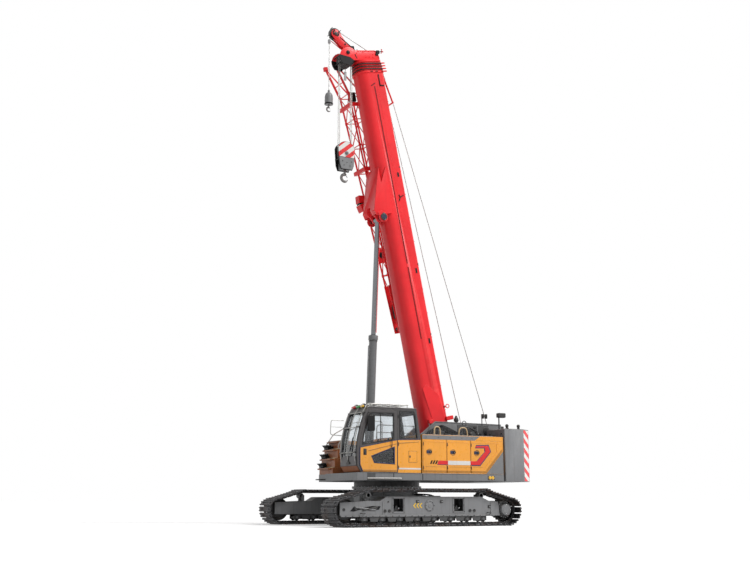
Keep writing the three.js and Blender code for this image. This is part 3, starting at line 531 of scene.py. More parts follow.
def make_weathered_paint():
    """Sprayed paint: broad shifts of shade, rain streaks, dust from above and worn edges."""
    tree, g, given, out = new_group(
        "Weathered Paint",
        "ShaderNodeTree",
        [
            ("Paint", COLOUR, WHITE),
            ("Dust", COLOUR, WHITE),
            ("Dust Amount", FLOAT, 0.2),
            ("Streaks", FLOAT, 0.2),
            ("Wear", FLOAT, 0.3),
            ("Gloss Loss", FLOAT, 0.35),
            ("Peel", FLOAT, 0.2),
            ("Edge Radius", FLOAT, 0.008),
        ],
        SURFACE,
    )
    place = g.add("ShaderNodeTexCoord").outputs["Object"]
    surface = g.add("ShaderNodeNewGeometry")
    soft = g.add("ShaderNodeBevel", {"Radius": given["Edge Radius"]}, samples=4).outputs[0]
    broad = g.noise(place, 0.9, 4)
    fine = g.noise(place, 9.0, 5, 0.65)
    stretched = g.add("ShaderNodeMapping", {"Vector": place, "Scale": (7.0, 7.0, 0.5)}).outputs[0]
    streak = g.ramp(g.noise(stretched, 1.6, 4, 0.6), 0.5, 0.72)
    up = g.add("ShaderNodeSeparateXYZ", {0: surface.outputs["Normal"]}).outputs[2]
    facing = g.ramp(up, 0.1, 0.95)
    shade = g.ramp(broad, 0.3, 0.7, 0.9, 1.06)
    paint = g.mix(1.0, given["Paint"], shade, "MULTIPLY")
    dark = g.mix(1.0, paint, (0.55, 0.52, 0.5, 1), "MULTIPLY")
    paint = g.mix(g.maths("MULTIPLY", streak, given["Streaks"]), paint, dark)
    lying = g.maths("ADD", g.maths("MULTIPLY", facing, 0.8), 0.12)
    lying = g.maths("MULTIPLY", lying, g.ramp(fine, 0.25, 0.75))
    dusty = g.maths("MULTIPLY", lying, given["Dust Amount"], clamp=True)
    paint = g.mix(dusty, paint, given["Dust"])
    apart = g.add(
        "ShaderNodeVectorMath", {0: soft, 1: surface.outputs["Normal"]}, operation="DOT_PRODUCT"
    )
    edge = g.ramp(apart.outputs["Value"], 0.998, 0.85)
    chipped = g.maths("MULTIPLY", edge, g.ramp(fine, 0.4, 0.62))
    chipped = g.maths("MULTIPLY", chipped, given["Wear"])
    paint = g.mix(chipped, paint, g.mix(0.5, paint, (0.6, 0.58, 0.55, 1)))
    g.feed(out["Color"], paint)
    rough = g.maths("ADD", given["Gloss Loss"], g.maths("MULTIPLY", dusty, 0.4))
    rough = g.maths("ADD", rough, g.ramp(fine, 0.3, 0.7, -0.05, 0.06), clamp=True)
    g.feed(out["Roughness"], rough)
    peel = g.maths("ADD", g.noise(place, 70.0, 2), g.maths("MULTIPLY", broad, 3.0))
    inputs = {"Strength": given["Peel"], "Distance": 0.002, "Height": peel, "Normal": soft}
    g.feed(out["Normal"], g.add("ShaderNodeBump", inputs).outputs[0])
    return tree


def make_bare_metal():
    """Cast or rolled steel: mill shade, brown bloom in its hollows, pits and rubbed bright faces."""
    tree, g, given, out = new_group(
        "Bare Metal",
        "ShaderNodeTree",
        [
            ("Metal", COLOUR, WHITE),
            ("Bloom", COLOUR, (0.12, 0.06, 0.03, 1)),
            ("Bloom Amount", FLOAT, 0.3),
            ("Polish", COLOUR, (0.5, 0.5, 0.5, 1)),
            ("Rubbed", FLOAT, 0.4),
            ("Gloss Loss", FLOAT, 0.5),
            ("Pits", FLOAT, 0.4),
            ("Edge Radius", FLOAT, 0.006),
        ],
        SURFACE,
    )
    place = g.add("ShaderNodeTexCoord").outputs["Object"]
    surface = g.add("ShaderNodeNewGeometry")
    soft = g.add("ShaderNodeBevel", {"Radius": given["Edge Radius"]}, samples=4).outputs[0]
    broad = g.noise(place, 2.2, 5, 0.6)
    fine = g.noise(place, 30.0, 4, 0.6)
    metal = g.mix(1.0, given["Metal"], g.ramp(fine, 0.25, 0.75, 0.82, 1.12), "MULTIPLY")
    bloom = g.maths("MULTIPLY", g.ramp(broad, 0.45, 0.68), given["Bloom Amount"])
    metal = g.mix(bloom, metal, given["Bloom"])
    apart = g.add(
        "ShaderNodeVectorMath", {0: soft, 1: surface.outputs["Normal"]}, operation="DOT_PRODUCT"
    )
    edge = g.ramp(apart.outputs["Value"], 0.998, 0.88)
    rubbed = g.maths("MULTIPLY", edge, given["Rubbed"])
    g.feed(out["Color"], g.mix(rubbed, metal, given["Polish"]))
    rough = g.maths("SUBTRACT", given["Gloss Loss"], g.maths("MULTIPLY", rubbed, 0.2))
    g.feed(out["Roughness"], g.maths("ADD", rough, g.maths("MULTIPLY", bloom, 0.3), clamp=True))
    inputs = {"Strength": given["Pits"], "Distance": 0.002, "Height": fine, "Normal": soft}
    g.feed(out["Normal"], g.add("ShaderNodeBump", inputs).outputs[0])
    return tree


def make_rope_lay():
    """Strands laid in a helix round a rope that runs mostly upright, with grease between."""
    tree, g, given, out = new_group(
        "Rope Lay",
        "ShaderNodeTree",
        [("Wire", COLOUR, WHITE), ("Grease", COLOUR, (0.02, 0.02, 0.02, 1)), ("Strands", FLOAT, 34.0)],
        SURFACE,
    )
    place = g.add("ShaderNodeTexCoord").outputs["Object"]
    turned = g.add("ShaderNodeMapping", {"Vector": place, "Rotation": (0.9, 0.55, 0.0)}).outputs[0]
    inputs = {"Vector": turned, "Scale": given["Strands"], "Distortion": 0.4, "Detail": 1.0}
    lay = g.add("ShaderNodeTexWave", inputs, bands_direction="Z").outputs["Fac"]
    spots = g.noise(place, 6.0, 3)
    wire = g.mix(g.ramp(lay, 0.15, 0.55), given["Grease"], given["Wire"])
    g.feed(out["Color"], g.mix(g.ramp(spots, 0.55, 0.8, 0.0, 0.5), wire, given["Grease"]))
    g.feed(out["Roughness"], g.ramp(lay, 0.0, 1.0, 0.6, 0.36))
    bump = g.add("ShaderNodeBump", {"Strength": 0.7, "Distance": 0.003, "Height": lay})
    g.feed(out["Normal"], bump.outputs[0])
    return tree


def make_moulded():
    """Moulded rubber or plastic: fine grain, a little dust, faint scuffs."""
    tree, g, given, out = new_group(
        "Moulded",
        "ShaderNodeTree",
        [
            ("Base", COLOUR, WHITE),
            ("Scuff", COLOUR, (0.3, 0.29, 0.27, 1)),
            ("Scuff Amount", FLOAT, 0.2),
            ("Gloss Loss", FLOAT, 0.6),
            ("Grain Scale", FLOAT, 220.0),
            ("Grain", FLOAT, 0.3),
        ],
        SURFACE,
    )
    place = g.add("ShaderNodeTexCoord").outputs["Object"]
    cells = g.add("ShaderNodeTexVoronoi", {"Vector": place, "Scale": given["Grain Scale"]}).outputs[0]
    cloud = g.noise(place, 5.0, 5, 0.7)
    scuffed = g.maths("MULTIPLY", g.ramp(cloud, 0.5, 0.75), given["Scuff Amount"])
    g.feed(out["Color"], g.mix(scuffed, given["Base"], given["Scuff"]))
    g.feed(
        out["Roughness"],
        g.maths("ADD", given["Gloss Loss"], g.maths("MULTIPLY", scuffed, 0.3), clamp=True)
    )
    bump = g.add("ShaderNodeBump", {"Strength": given["Grain"], "Distance": 0.001, "Height": cells})
    g.feed(out["Normal"], bump.outputs[0])
    return tree


def make_weave():
    """Upholstery cloth: warp and weft threads, with a mottled dye."""
    tree, g, given, out = new_group(
        "Weave",
        "ShaderNodeTree",
        [("Thread", COLOUR, WHITE), ("Other Thread", COLOUR, WHITE), ("Threads", FLOAT, 160.0)],
        SURFACE,
    )
    place = g.add("ShaderNodeTexCoord").outputs["Object"]
    waves = []
    for direction in ("X", "Y", "Z"):
        inputs = {"Vector": place, "Scale": given["Threads"], "Distortion": 0.6}
        waves.append(g.add("ShaderNodeTexWave", inputs, bands_direction=direction).outputs["Fac"])
    cloth = g.maths("MAXIMUM", g.maths("MULTIPLY", waves[0], waves[1]), waves[2])
    mottle = g.noise(place, 12.0, 4)
    colour_mix = g.mix(g.maths("MULTIPLY", cloth, 0.7), given["Thread"], given["Other Thread"])
    shade = g.ramp(mottle, 0.3, 0.7, 0.85, 1.1)
    g.feed(out["Color"], g.mix(1.0, colour_mix, shade, "MULTIPLY"))
    g.feed(out["Roughness"], g.ramp(mottle, 0.3, 0.7, 0.82, 0.95))
    bump = g.add("ShaderNodeBump", {"Strength": 0.5, "Distance": 0.001, "Height": cloth})
    g.feed(out["Normal"], bump.outputs[0])
    return tree


MADE_GROUPS = {}
GROUP_MAKERS = {
    "Weathered Paint": make_weathered_paint,
    "Bare Metal": make_bare_metal,
    "Rope Lay": make_rope_lay,
    "Moulded": make_moulded,
    "Weave": make_weave,
}


def shader_group(name):
    if name not in MADE_GROUPS:
        MADE_GROUPS[name] = GROUP_MAKERS[name]()
    return MADE_GROUPS[name]


# ------------------------------------------------------------------ materials
def finish_of(name):
    material = bpy.data.materials.get(f"crane_{name}")
    if material is None:
        raise RuntimeError(f"no finish is named {name}")
    return material


def surfaced(name, group, values, **settings):
    """A material whose colour, roughness and normal come from a shared group."""
    material = bpy.data.materials.new(f"crane_{name}")
    material.use_nodes = True
    graph = Graph(material.node_tree)
    shader = material.node_tree.nodes["Principled BSDF"]
    node = graph.add("ShaderNodeGroup")
    node.node_tree = shader_group(group)
    for key, value in values.items():
        node.inputs[key].default_value = value
    graph.feed(shader.inputs["Base Color"], node.outputs["Color"])
    graph.feed(shader.inputs["Roughness"], node.outputs["Roughness"])
    graph.feed(shader.inputs["Normal"], node.outputs["Normal"])
    for key, value in settings.items():
        shader.inputs[key.replace("_", " ")].default_value = value
    return material


def solid(rgb, share=1.0):
    return (rgb[0] * share, rgb[1] * share, rgb[2] * share, 1.0)


def painted(name, rgb, gloss=0.3, dust=0.25, streaks=0.2, wear=0.3, peel=0.15, **settings):
    values = {
        "Paint": solid(rgb),
        "Dust": solid(colours().dust),
        "Dust Amount": dust,
        "Streaks": streaks,
        "Wear": wear,
        "Gloss Loss": gloss,
        "Peel": peel,
        "Edge Radius": sizes().edge,
    }
    return surfaced(name, "Weathered Paint", values, **settings)


def bare(name, rgb, gloss=0.45, bloom=0.3, rubbed=0.4, pits=0.4, metallic=0.9, **settings):
    values = {
        "Metal": solid(rgb),
        "Bloom Amount": bloom,
        "Rubbed": rubbed,
        "Gloss Loss": gloss,
        "Pits": pits,
        "Polish": solid([min(c * 2.2 + 0.1, 0.8) for c in rgb]),
    }
    return surfaced(name, "Bare Metal", values, Metallic=metallic, **settings)


def moulded(name, rgb, gloss=0.55, scuff=0.2, grain=0.3, **settings):
    values = {"Base": solid(rgb), "Gloss Loss": gloss, "Scuff Amount": scuff, "Grain": grain}
    return surfaced(name, "Moulded", values, **settings)


def cab_glass():
    """Grey-tinted safety glass with a film of dust that dulls it in patches."""
    material = surfaced(
        "glass", "Moulded", {
            "Base": (0.8, 0.83, 0.85, 1), "Gloss Loss": 0.03, "Grain": 0.0, "Scuff Amount": 0.12
        }
    )
    shader = material.node_tree.nodes["Principled BSDF"]
    shader.inputs["Transmission Weight"].default_value = 1.0
    shader.inputs["IOR"].default_value = 1.45
    return material


def lamp_lens(name, rgb, glow):
    return moulded(name, rgb, gloss=0.12, scuff=0.05, grain=0.1, Coat_Weight=0.6, Emission_Strength=glow)


def make_finishes():
    paint = colours()
    painted("boom", paint.boom, gloss=0.34, dust=0.1, streaks=0.12, wear=0.2, Specular_IOR_Level=0.25)
    # painted shade: the boom red darkened, for the shade inside the groove on the base section's sides
    painted(
        "boom_dark", [c * 0.22 for c in paint.boom], gloss=0.5, dust=0.05, streaks=0.1,
        Specular_IOR_Level=0.15
    )
    painted("body", paint.body, gloss=0.3, dust=0.22, streaks=0.14, Coat_Weight=0.25)
    painted("frame", paint.frame, gloss=0.42, dust=0.35, streaks=0.35, wear=0.45)
    painted("frame_dark", [c * 0.35 for c in paint.frame], gloss=0.5, dust=0.3, streaks=0.4)
    painted("weight", [c * 1.05 for c in paint.frame], gloss=0.45, dust=0.25, streaks=0.3, peel=0.5)
    painted("cab", paint.cab, gloss=0.35, dust=0.2, streaks=0.15)
    painted("barrel", paint.cylinder, gloss=0.3, dust=0.2, streaks=0.3)
    painted("dark", paint.dark, gloss=0.45, dust=0.25, streaks=0.1, wear=0.5)
    painted("trim", paint.trim, gloss=0.3, dust=0.1, streaks=0.1)
    painted("stripe", paint.stripe, gloss=0.32, dust=0.12, streaks=0.15)
    painted("white", tint("dcdad6"), gloss=0.35, dust=0.15, streaks=0.25)
    painted("black", tint("111113"), gloss=0.5, dust=0.08, streaks=0.1, Specular_IOR_Level=0.2)
    painted("yellow", tint("e6b818"), gloss=0.35, dust=0.15, streaks=0.2)
    # painted shade: the brown stands for the body orange in shade
    painted("steps", paint.steps, gloss=0.4, dust=0.3, streaks=0.4, wear=0.5)
    # painted shade: the body orange darkened, for the shade in seams, creases, latch recesses and under
    # lips
    painted("body_low", [c * 0.55 for c in paint.body], gloss=0.4, dust=0.3, streaks=0.4)
    # beige of the deck hoops; on the tread tops it is a painted highlight
    painted("beige", tint("cdb187"), gloss=0.4, dust=0.15, streaks=0.2)
    painted("blue", tint("27305c"), gloss=0.35, dust=0.1, streaks=0.1)
    painted("tube", tint("a9a8a4"), gloss=0.3, dust=0.15, streaks=0.2, Metallic=0.5)
    bare("track", paint.track, gloss=0.5, bloom=0.35, rubbed=0.8, pits=0.5, metallic=0.75)
    bare("steel", tint("8f8f90"), gloss=0.32, bloom=0.12, rubbed=0.5, pits=0.2)
    bare("hook", tint("6d6b6a"), gloss=0.42, bloom=0.2, rubbed=0.4)
    # painted reflection: the chrome's colour is darkened to the dark reflections on the rod
    bare("chrome", tint("77797c"), gloss=0.12, bloom=0.05, rubbed=0.1, pits=0.03, metallic=1.0)
    values = {"Wire": solid(tint("b9b8b5")), "Grease": solid(tint("6f6d6a")), "Strands": 34.0}
    surfaced("rope", "Rope Lay", values, Metallic=0.7)
    moulded("rubber", tint("1b1b1c"), gloss=0.7, scuff=0.25)
    moulded("hose", tint("202022"), gloss=0.5, scuff=0.2)
    moulded("plastic", tint("2c2c2e"), gloss=0.45, scuff=0.15)
    lamp_lens("lamp_red", tint("c2151a"), 0.0)
    lamp_lens("lamp_green", tint("1f9a3c"), 0.0)
    lamp_lens("lamp_yellow", tint("e8b31c"), 0.0)
    lamp_lens("lens", tint("d8dadb"), 0.0)
    bare("mirror", tint("d5d8da"), gloss=0.05, bloom=0.0, rubbed=0.0, pits=0.0, metallic=1.0)
    cab_glass()
    weave = {"Thread": solid(tint("34353a")), "Other Thread": solid(tint("55565c"))}
    surfaced("seat", "Weave", weave, Sheen_Weight=0.25)


NODE_FINISHES = {
    "frame": ("left_crawler_frame", "right_crawler_frame", "carbody", "main_frame"),
    "dark": ("slew_ring", "rear_winch_drum", "front_winch_drum", "engine"),
    "steel": ("main_rope_socket",),
    "cab": ("cab_shell", "control_console"),
    "glass": ("windscreen", "rear_side_glass", "boom_side_glass", "door_glass", "door_low_glass"),
    "body": ("cab_door", "left_housing", "right_housing", "fuel_tank")
    + tuple(
        f"{side}_{part}_service_door" for side in ("left", "right") for part in (
            "front", "middle", "rear"
        )
    ),
    "steps": ("step_boxes",),
    "boom": ("luff_bracket", "rope_guide_arm", "boom_head", "tip_sheave_arm"),
}


# ------------------------------------------------------------------ repeats by geometry nodes
def group_socket(tree, label):
    return next(item.identifier for item in tree.interface.items_tree if item.name == label)


def give_finish(g, node, given, out):
    """A node's geometry, made real and given the finish, as the result of its tree."""
    real = g.add("GeometryNodeRealizeInstances", {"Geometry": node.outputs[0]})
    inputs = {"Geometry": real.outputs[0], "Material": given["Finish"]}
    g.feed(out["Geometry"], g.add("GeometryNodeSetMaterial", inputs).outputs[0])


def repeat_tree():
    """Puts a piece on every point, turned by the point's own turn, with a little scatter."""
    if "Repeat Piece" in bpy.data.node_groups:
        return bpy.data.node_groups["Repeat Piece"]
    tree, g, given, out = new_group(
        "Repeat Piece",
        "GeometryNodeTree",
        [
            ("Geometry", "NodeSocketGeometry", None),
            ("Piece", "NodeSocketObject", None),
            ("Size", FLOAT, 1.0),
            ("Spread", FLOAT, 0.0),
            ("Seed", "NodeSocketInt", 4),
            ("Finish", "NodeSocketMaterial", None),
        ],
        [("Geometry", "NodeSocketGeometry")],
    )
    piece = g.add("GeometryNodeObjectInfo", {"Object": given["Piece"]})
    turn = g.add("GeometryNodeInputNamedAttribute", {"Name": "turn"}, data_type="FLOAT_VECTOR")
    rotation = g.add("FunctionNodeEulerToRotation", {0: turn.outputs[0]})
    inputs = {
        "Min": g.maths("SUBTRACT", given["Size"], given["Spread"]),
        "Max": g.maths("ADD", given["Size"], given["Spread"]),
        "Seed": given["Seed"],
    }
    scale = g.add("FunctionNodeRandomValue", None, data_type="FLOAT")
    for socket in scale.inputs:
        if socket.enabled and socket.name in inputs:
            g.feed(socket, inputs[socket.name])
    drawn = next(socket for socket in scale.outputs if socket.enabled)
    inputs = {
        "Points": given["Geometry"],
        "Instance": piece.outputs["Geometry"],
        "Rotation": rotation.outputs[0],
        "Scale": drawn,
    }
    placed = g.add("GeometryNodeInstanceOnPoints", inputs)
    give_finish(g, placed, given, out)
    return tree


def belt_tree():
    """Puts a shoe on every step along a closed path in the XZ plane, facing out of it."""
    if "Track Belt" in bpy.data.node_groups:
        return bpy.data.node_groups["Track Belt"]
    tree, g, given, out = new_group(
        "Track Belt",
        "GeometryNodeTree",
        [
            ("Geometry", "NodeSocketGeometry", None),
            ("Shoe", "NodeSocketObject", None),
            ("Count", "NodeSocketInt", 66),
            ("Finish", "NodeSocketMaterial", None),
        ],
        [("Geometry", "NodeSocketGeometry")],
    )
    path = g.add("GeometryNodeMeshToCurve", {"Mesh": given["Geometry"]})
    steps = g.add("GeometryNodeResampleCurve", {"Curve": path.outputs[0], "Count": given["Count"]})
    along = g.add("GeometryNodeInputTangent")
    turned = g.add(
        "FunctionNodeAlignEulerToVector", {"Vector": along.outputs[0]}, axis="X", pivot_axis="Y"
    )
    shoe = g.add("GeometryNodeObjectInfo", {"Object": given["Shoe"]})
    inputs = {
        "Points": steps.outputs[0],
        "Instance": shoe.outputs["Geometry"],
        "Rotation": turned.outputs[0],
    }
    placed = g.add("GeometryNodeInstanceOnPoints", inputs)
    give_finish(g, placed, given, out)
    return tree


def winding_tree():
    """A layer of rope wound on a drum that stands along Z."""
    if "Wound Rope" in bpy.data.node_groups:
        return bpy.data.node_groups["Wound Rope"]
    tree, g, given, out = new_group(
        "Wound Rope",
        "GeometryNodeTree",
        [
            ("Geometry", "NodeSocketGeometry", None),
            ("Turns", FLOAT, 26.0),
            ("Radius", FLOAT, 0.216),
            ("Width", FLOAT, 0.6),
            ("Rope", FLOAT, 0.011),
            ("Finish", "NodeSocketMaterial", None),
        ],
        [("Geometry", "NodeSocketGeometry")],
    )
    inputs = {
        "Resolution": 28,
        "Rotations": given["Turns"],
        "Start Radius": given["Radius"],
        "End Radius": given["Radius"],
        "Height": given["Width"],
    }
    spiral = g.add("GeometryNodeCurveSpiral", inputs)
    section = g.add("GeometryNodeCurvePrimitiveCircle", {"Resolution": 6, "Radius": given["Rope"]})
    inputs = {"Curve": spiral.outputs[0], "Profile Curve": section.outputs[0], "Fill Caps": True}
    wound = g.add("GeometryNodeCurveToMesh", inputs)
    give_finish(g, wound, given, out)
    return tree


def grown_by(name, mesh, tree, values):
    """A mesh with a tree's result as its own plain mesh."""
    piece = link(name, mesh)
    modifier = piece.modifiers.new("Nodes", "NODES")
    modifier.node_group = tree
    for label, value in values.items():
        modifier[group_socket(tree, label)] = value
    piece.update_tag()
    made_plain(piece)
    piece.data.shade_smooth()
    piece.data.set_sharp_from_angle(angle=math.radians(38))
    return piece


def facing(way, roll=0.0):
    """The turn that points a piece's Z along a direction."""
    return (Vector(way).to_track_quat("Z", "Y").to_matrix() @ Matrix.Rotation(roll, 3, "Z")).to_euler()


def repeat(name, sample, places, finish, body, spread=0.0):
    """A piece repeated at (point, turn) places, as one mesh that rides on a body."""
    mesh = bpy.data.meshes.new(f"{name}_points")
    mesh.from_pydata([p for p, _ in places], [], [])
    turn = mesh.attributes.new("turn", "FLOAT_VECTOR", "POINT")
    turn.data.foreach_set("vector", [angle for _, t in places for angle in t])
    piece = link(f"{name}_sample", sample.mesh(f"{name}_sample"))
    values = {"Piece": piece, "Size": 1.0, "Spread": spread, "Seed": 4, "Finish": finish_of(finish)}
    result = grown_by(name, mesh, repeat_tree(), values)
    bpy.data.objects.remove(piece)
    return settle(result, body)


def bolts(name, places, body, finish="dark", width=None):
    """Hexagon bolts at (point, direction) places."""
    sample = Shape()
    sample.bolt((0, 0, 0), (0, 0, 1), width or sizes().bolt, finish)
    turned = [(p, facing(way, 0.4 * i)) for i, (p, way) in enumerate(places)]
    return repeat(name, sample, turned, finish, body)


def placed(matrix, places):
    """Points and directions of a local frame, in the frame's own axes."""
    turn = matrix.to_3x3()
    return [(matrix @ Vector(p), turn @ Vector(way)) for p, way in places]


class CRANE_OT_finishes(bpy.types.Operator):
    """Every material, and the CAD nodes that keep their own mesh."""

    bl_idname = "crane.finishes"
    bl_label = "Finishes"

    def execute(self, context):
        make_finishes()
        for finish, nodes in NODE_FINISHES.items():
            for node in nodes:
                paint_node(node, finish)
        return {"FINISHED"}


# ------------------------------------------------------------------ crawlers
WHEEL = 0.445  # outside radius of the belt round its wheels
WHEEL_X = TRACK_HIGH.x - WHEEL
SHOULDER_X, SHOULDER = 1.88, 0.2
BELT_GAP = 0.011  # keeps the corners of turned shoes inside the belt's box
BELT_TOP = TRACK_HIGH.z
AXLE_Z = WHEEL - BELT_GAP + 0.0025
ROLLER_XS = [-1.82 + 0.54 * i for i in range(8)]
ROLLER_Z = 0.201


def belt_path():
    """The closed line that the shoes' faces follow, forwards along its top."""
    low, high = WHEEL - BELT_GAP, SHOULDER
    shoulder_z = BELT_TOP - high
    rise = math.degrees(math.atan2(shoulder_z - AXLE_Z, WHEEL_X - SHOULDER_X))
    tilt = math.degrees(math.asin((low - high) / math.hypot(WHEEL_X - SHOULDER_X, shoulder_z - AXLE_Z)))
    turn = 90 - rise - tilt
    path = arc(-SHOULDER_X, shoulder_z, high, 180 - turn, 90, 4)
    path += arc(SHOULDER_X, shoulder_z, high, 90, turn, 4)
    path += arc(WHEEL_X, AXLE_Z, low, turn, -90, 16)
    path += arc(-WHEEL_X, AXLE_Z, low, 270, 180 - turn, 16)
    return path


def shoe():
    """One shoe with its grousers on a pair of links, its face at z = 0 and inwards below."""
    shape = Shape()
    plate = [
        (-0.074, -0.050),
        (0.070, -0.050),
        (0.078, -0.036),
        (0.062, -0.026),
        (0.058, 0.0),
        (0.040, 0.0),
        (0.034, -0.024),
        (-0.030, -0.024),
        (-0.036, 0.0),
        (-0.054, 0.0),
        (-0.060, -0.026),
        (-0.078, -0.036),
    ]
    half = TRACK_HIGH.y - CRAWLER_Y
    shape.prism(plate, "Y", -half, half, "track", 0)
    for low in (-0.3, 0.22):
        shape.box((-0.05, low, -0.03), (0.05, low + 0.08, -0.004), "track", 0.004)
    link_side = [
        (-0.105, -0.062), (-0.07, -0.046), (0.08, -0.046), (0.095, -0.07), (0.06, -0.105),
        (-0.08, -0.105)
    ]
    for low in (-0.135, 0.095):
        shape.prism(link_side, "Y", low, low + 0.04, "track", 0)
    shape.rod((-0.09, -0.15, -0.076), (-0.09, 0.15, -0.076), 0.022, "track", 6)
    return shape


def make_belt(side, mirror):
    path = belt_path()
    mesh = bpy.data.meshes.new(f"{side}_belt_path")
    points = [SLEW @ Vector((x, 0, z)) for x, z in path]
    mesh.from_pydata(points, [(i, (i + 1) % len(path)) for i in range(len(path))], [])
    sample = link("shoe_sample", shoe().mesh("shoe_sample"))
    values = {"Shoe": sample, "Count": sizes().shoes, "Finish": finish_of("track")}
    belt = grown_by(f"{side}_track_belt", mesh, belt_tree(), values)
    belt.data.transform(Matrix.Translation((0, mirror[1][1] * CRAWLER_Y, 0)))
    bpy.data.objects.remove(sample)
    settle(belt, f"{side}_crawler")
    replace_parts(belt, f"{side}_track")


def make_wheels(side, place):
    """Sprocket with its hub, idler with its yoke, and the bottom rollers."""
    y = CRAWLER_Y
    wheel = Shape(place)
    teeth = 21
    rim = []
    for i in range(teeth):
        turn = 360 * i / teeth
        for step, reach in ((0, 0.296), (3.2, 0.298), (6.2, 0.328), (10.0, 0.328), (13.2, 0.298)):
            t = math.radians(turn + step)
            rim.append((-WHEEL_X + reach * math.cos(t), WHEEL + reach * math.sin(t)))
    wheel.prism(rim, "Y", y - 0.035, y + 0.035, "dark", 0.004)
    drum = [(0, 0), (0.24, 0), (0.265, 0.03), (0.265, 0.28), (0.24, 0.32), (0.21, 0.34), (0, 0.34)]
    wheel.turned(drum, (-WHEEL_X, y - 0.16, WHEEL), (0, 1, 0), "dark", 40)
    cover = [(0, 0), (0.168, 0), (0.168, 0.09), (0.155, 0.112), (0.11, 0.118), (0.1, 0.126), (0, 0.126)]
    wheel.turned(cover, (-WHEEL_X, y + 0.17, WHEEL), (0, 1, 0), "frame", 40)
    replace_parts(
        wheel.done(f"{side}_drive_wheel", f"{side}_crawler", "black_steel"), f"{side}_drive_sprocket"
    )
    ring = [((-WHEEL_X + 0.125 * math.cos(t), y + 0.283, WHEEL + 0.125 * math.sin(t)), (0, 1, 0))
            for t in (2 * math.pi * i / 12 for i in range(12))]
    ring += [((-WHEEL_X + 0.215 * math.cos(t), y + 0.172, WHEEL + 0.215 * math.sin(t)), (0, 1, 0))
             for t in (2 * math.pi * i / 18 for i in range(18))]
    bolts(f"{side}_drive_bolts", placed(place, ring), f"{side}_crawler", "steel", 0.024)

    idler = Shape(place)
    tread = [(0, -0.13), (0.06, -0.13), (0.07, -0.115), (0.25, -0.1), (0.29, -0.13), (0.304, -0.12)]
    tread += [(0.304, -0.055), (0.332, -0.045), (0.332, 0.045), (0.304, 0.055), (0.304, 0.12)]
    tread += [(0.29, 0.13), (0.25, 0.1), (0.07, 0.115), (0.06, 0.13), (0, 0.13)]
    idler.turned(tread, (WHEEL_X, y, WHEEL), (0, 1, 0), "dark", 44)
    idler.rod((WHEEL_X, y - 0.2, WHEEL), (WHEEL_X, y + 0.2, WHEEL), 0.085, "frame", 24, 0.01)
    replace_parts(idler.done(f"{side}_idler_wheel", f"{side}_crawler", "black_steel"), f"{side}_idler")

    rollers = Shape(place)
    flanged = [
        (0, -0.15), (0.05, -0.15), (0.055, -0.14), (0.094, -0.135), (0.094, -0.12), (0.078, -0.112)
    ]
    flanged += [(0.078, -0.05), (0.07, -0.03), (0.07, 0.03), (0.078, 0.05), (0.078, 0.112)]
    flanged += [(0.094, 0.12), (0.094, 0.135), (0.055, 0.14), (0.05, 0.15), (0, 0.15)]
    for x in ROLLER_XS:
        rollers.turned(flanged, (x, y, ROLLER_Z), (0, 1, 0), "dark", 24)
        for out in (-1, 1):
            rollers.rod(
                (x, y + out * 0.15, ROLLER_Z), (x, y + out * 0.182, ROLLER_Z), 0.045, "frame", 16,
                0.008
            )
            low = (x - 0.1, y + out * 0.165 - 0.014, ROLLER_Z - 0.05)
            high = (x + 0.1, y + out * 0.165 + 0.014, ROLLER_Z + 0.07)
            rollers.box(low, high, "frame_dark", 0.012)
    for out in (-1, 1):
        low = (ROLLER_XS[0] - 0.09, y + out * 0.165 - 0.012, ROLLER_Z + 0.03)
        high = (ROLLER_XS[-1] + 0.09, y + out * 0.165 + 0.012, ROLLER_Z + 0.07)
        rollers.box(low, high, "frame_dark", 0.006)
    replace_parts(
        rollers.done(f"{side}_bottom_rollers", f"{side}_crawler", "black_steel"),
        f"{side}_track_rollers"
    )


WINDOW_XS = (-0.96, 0.96)
BOSS_X = -0.02


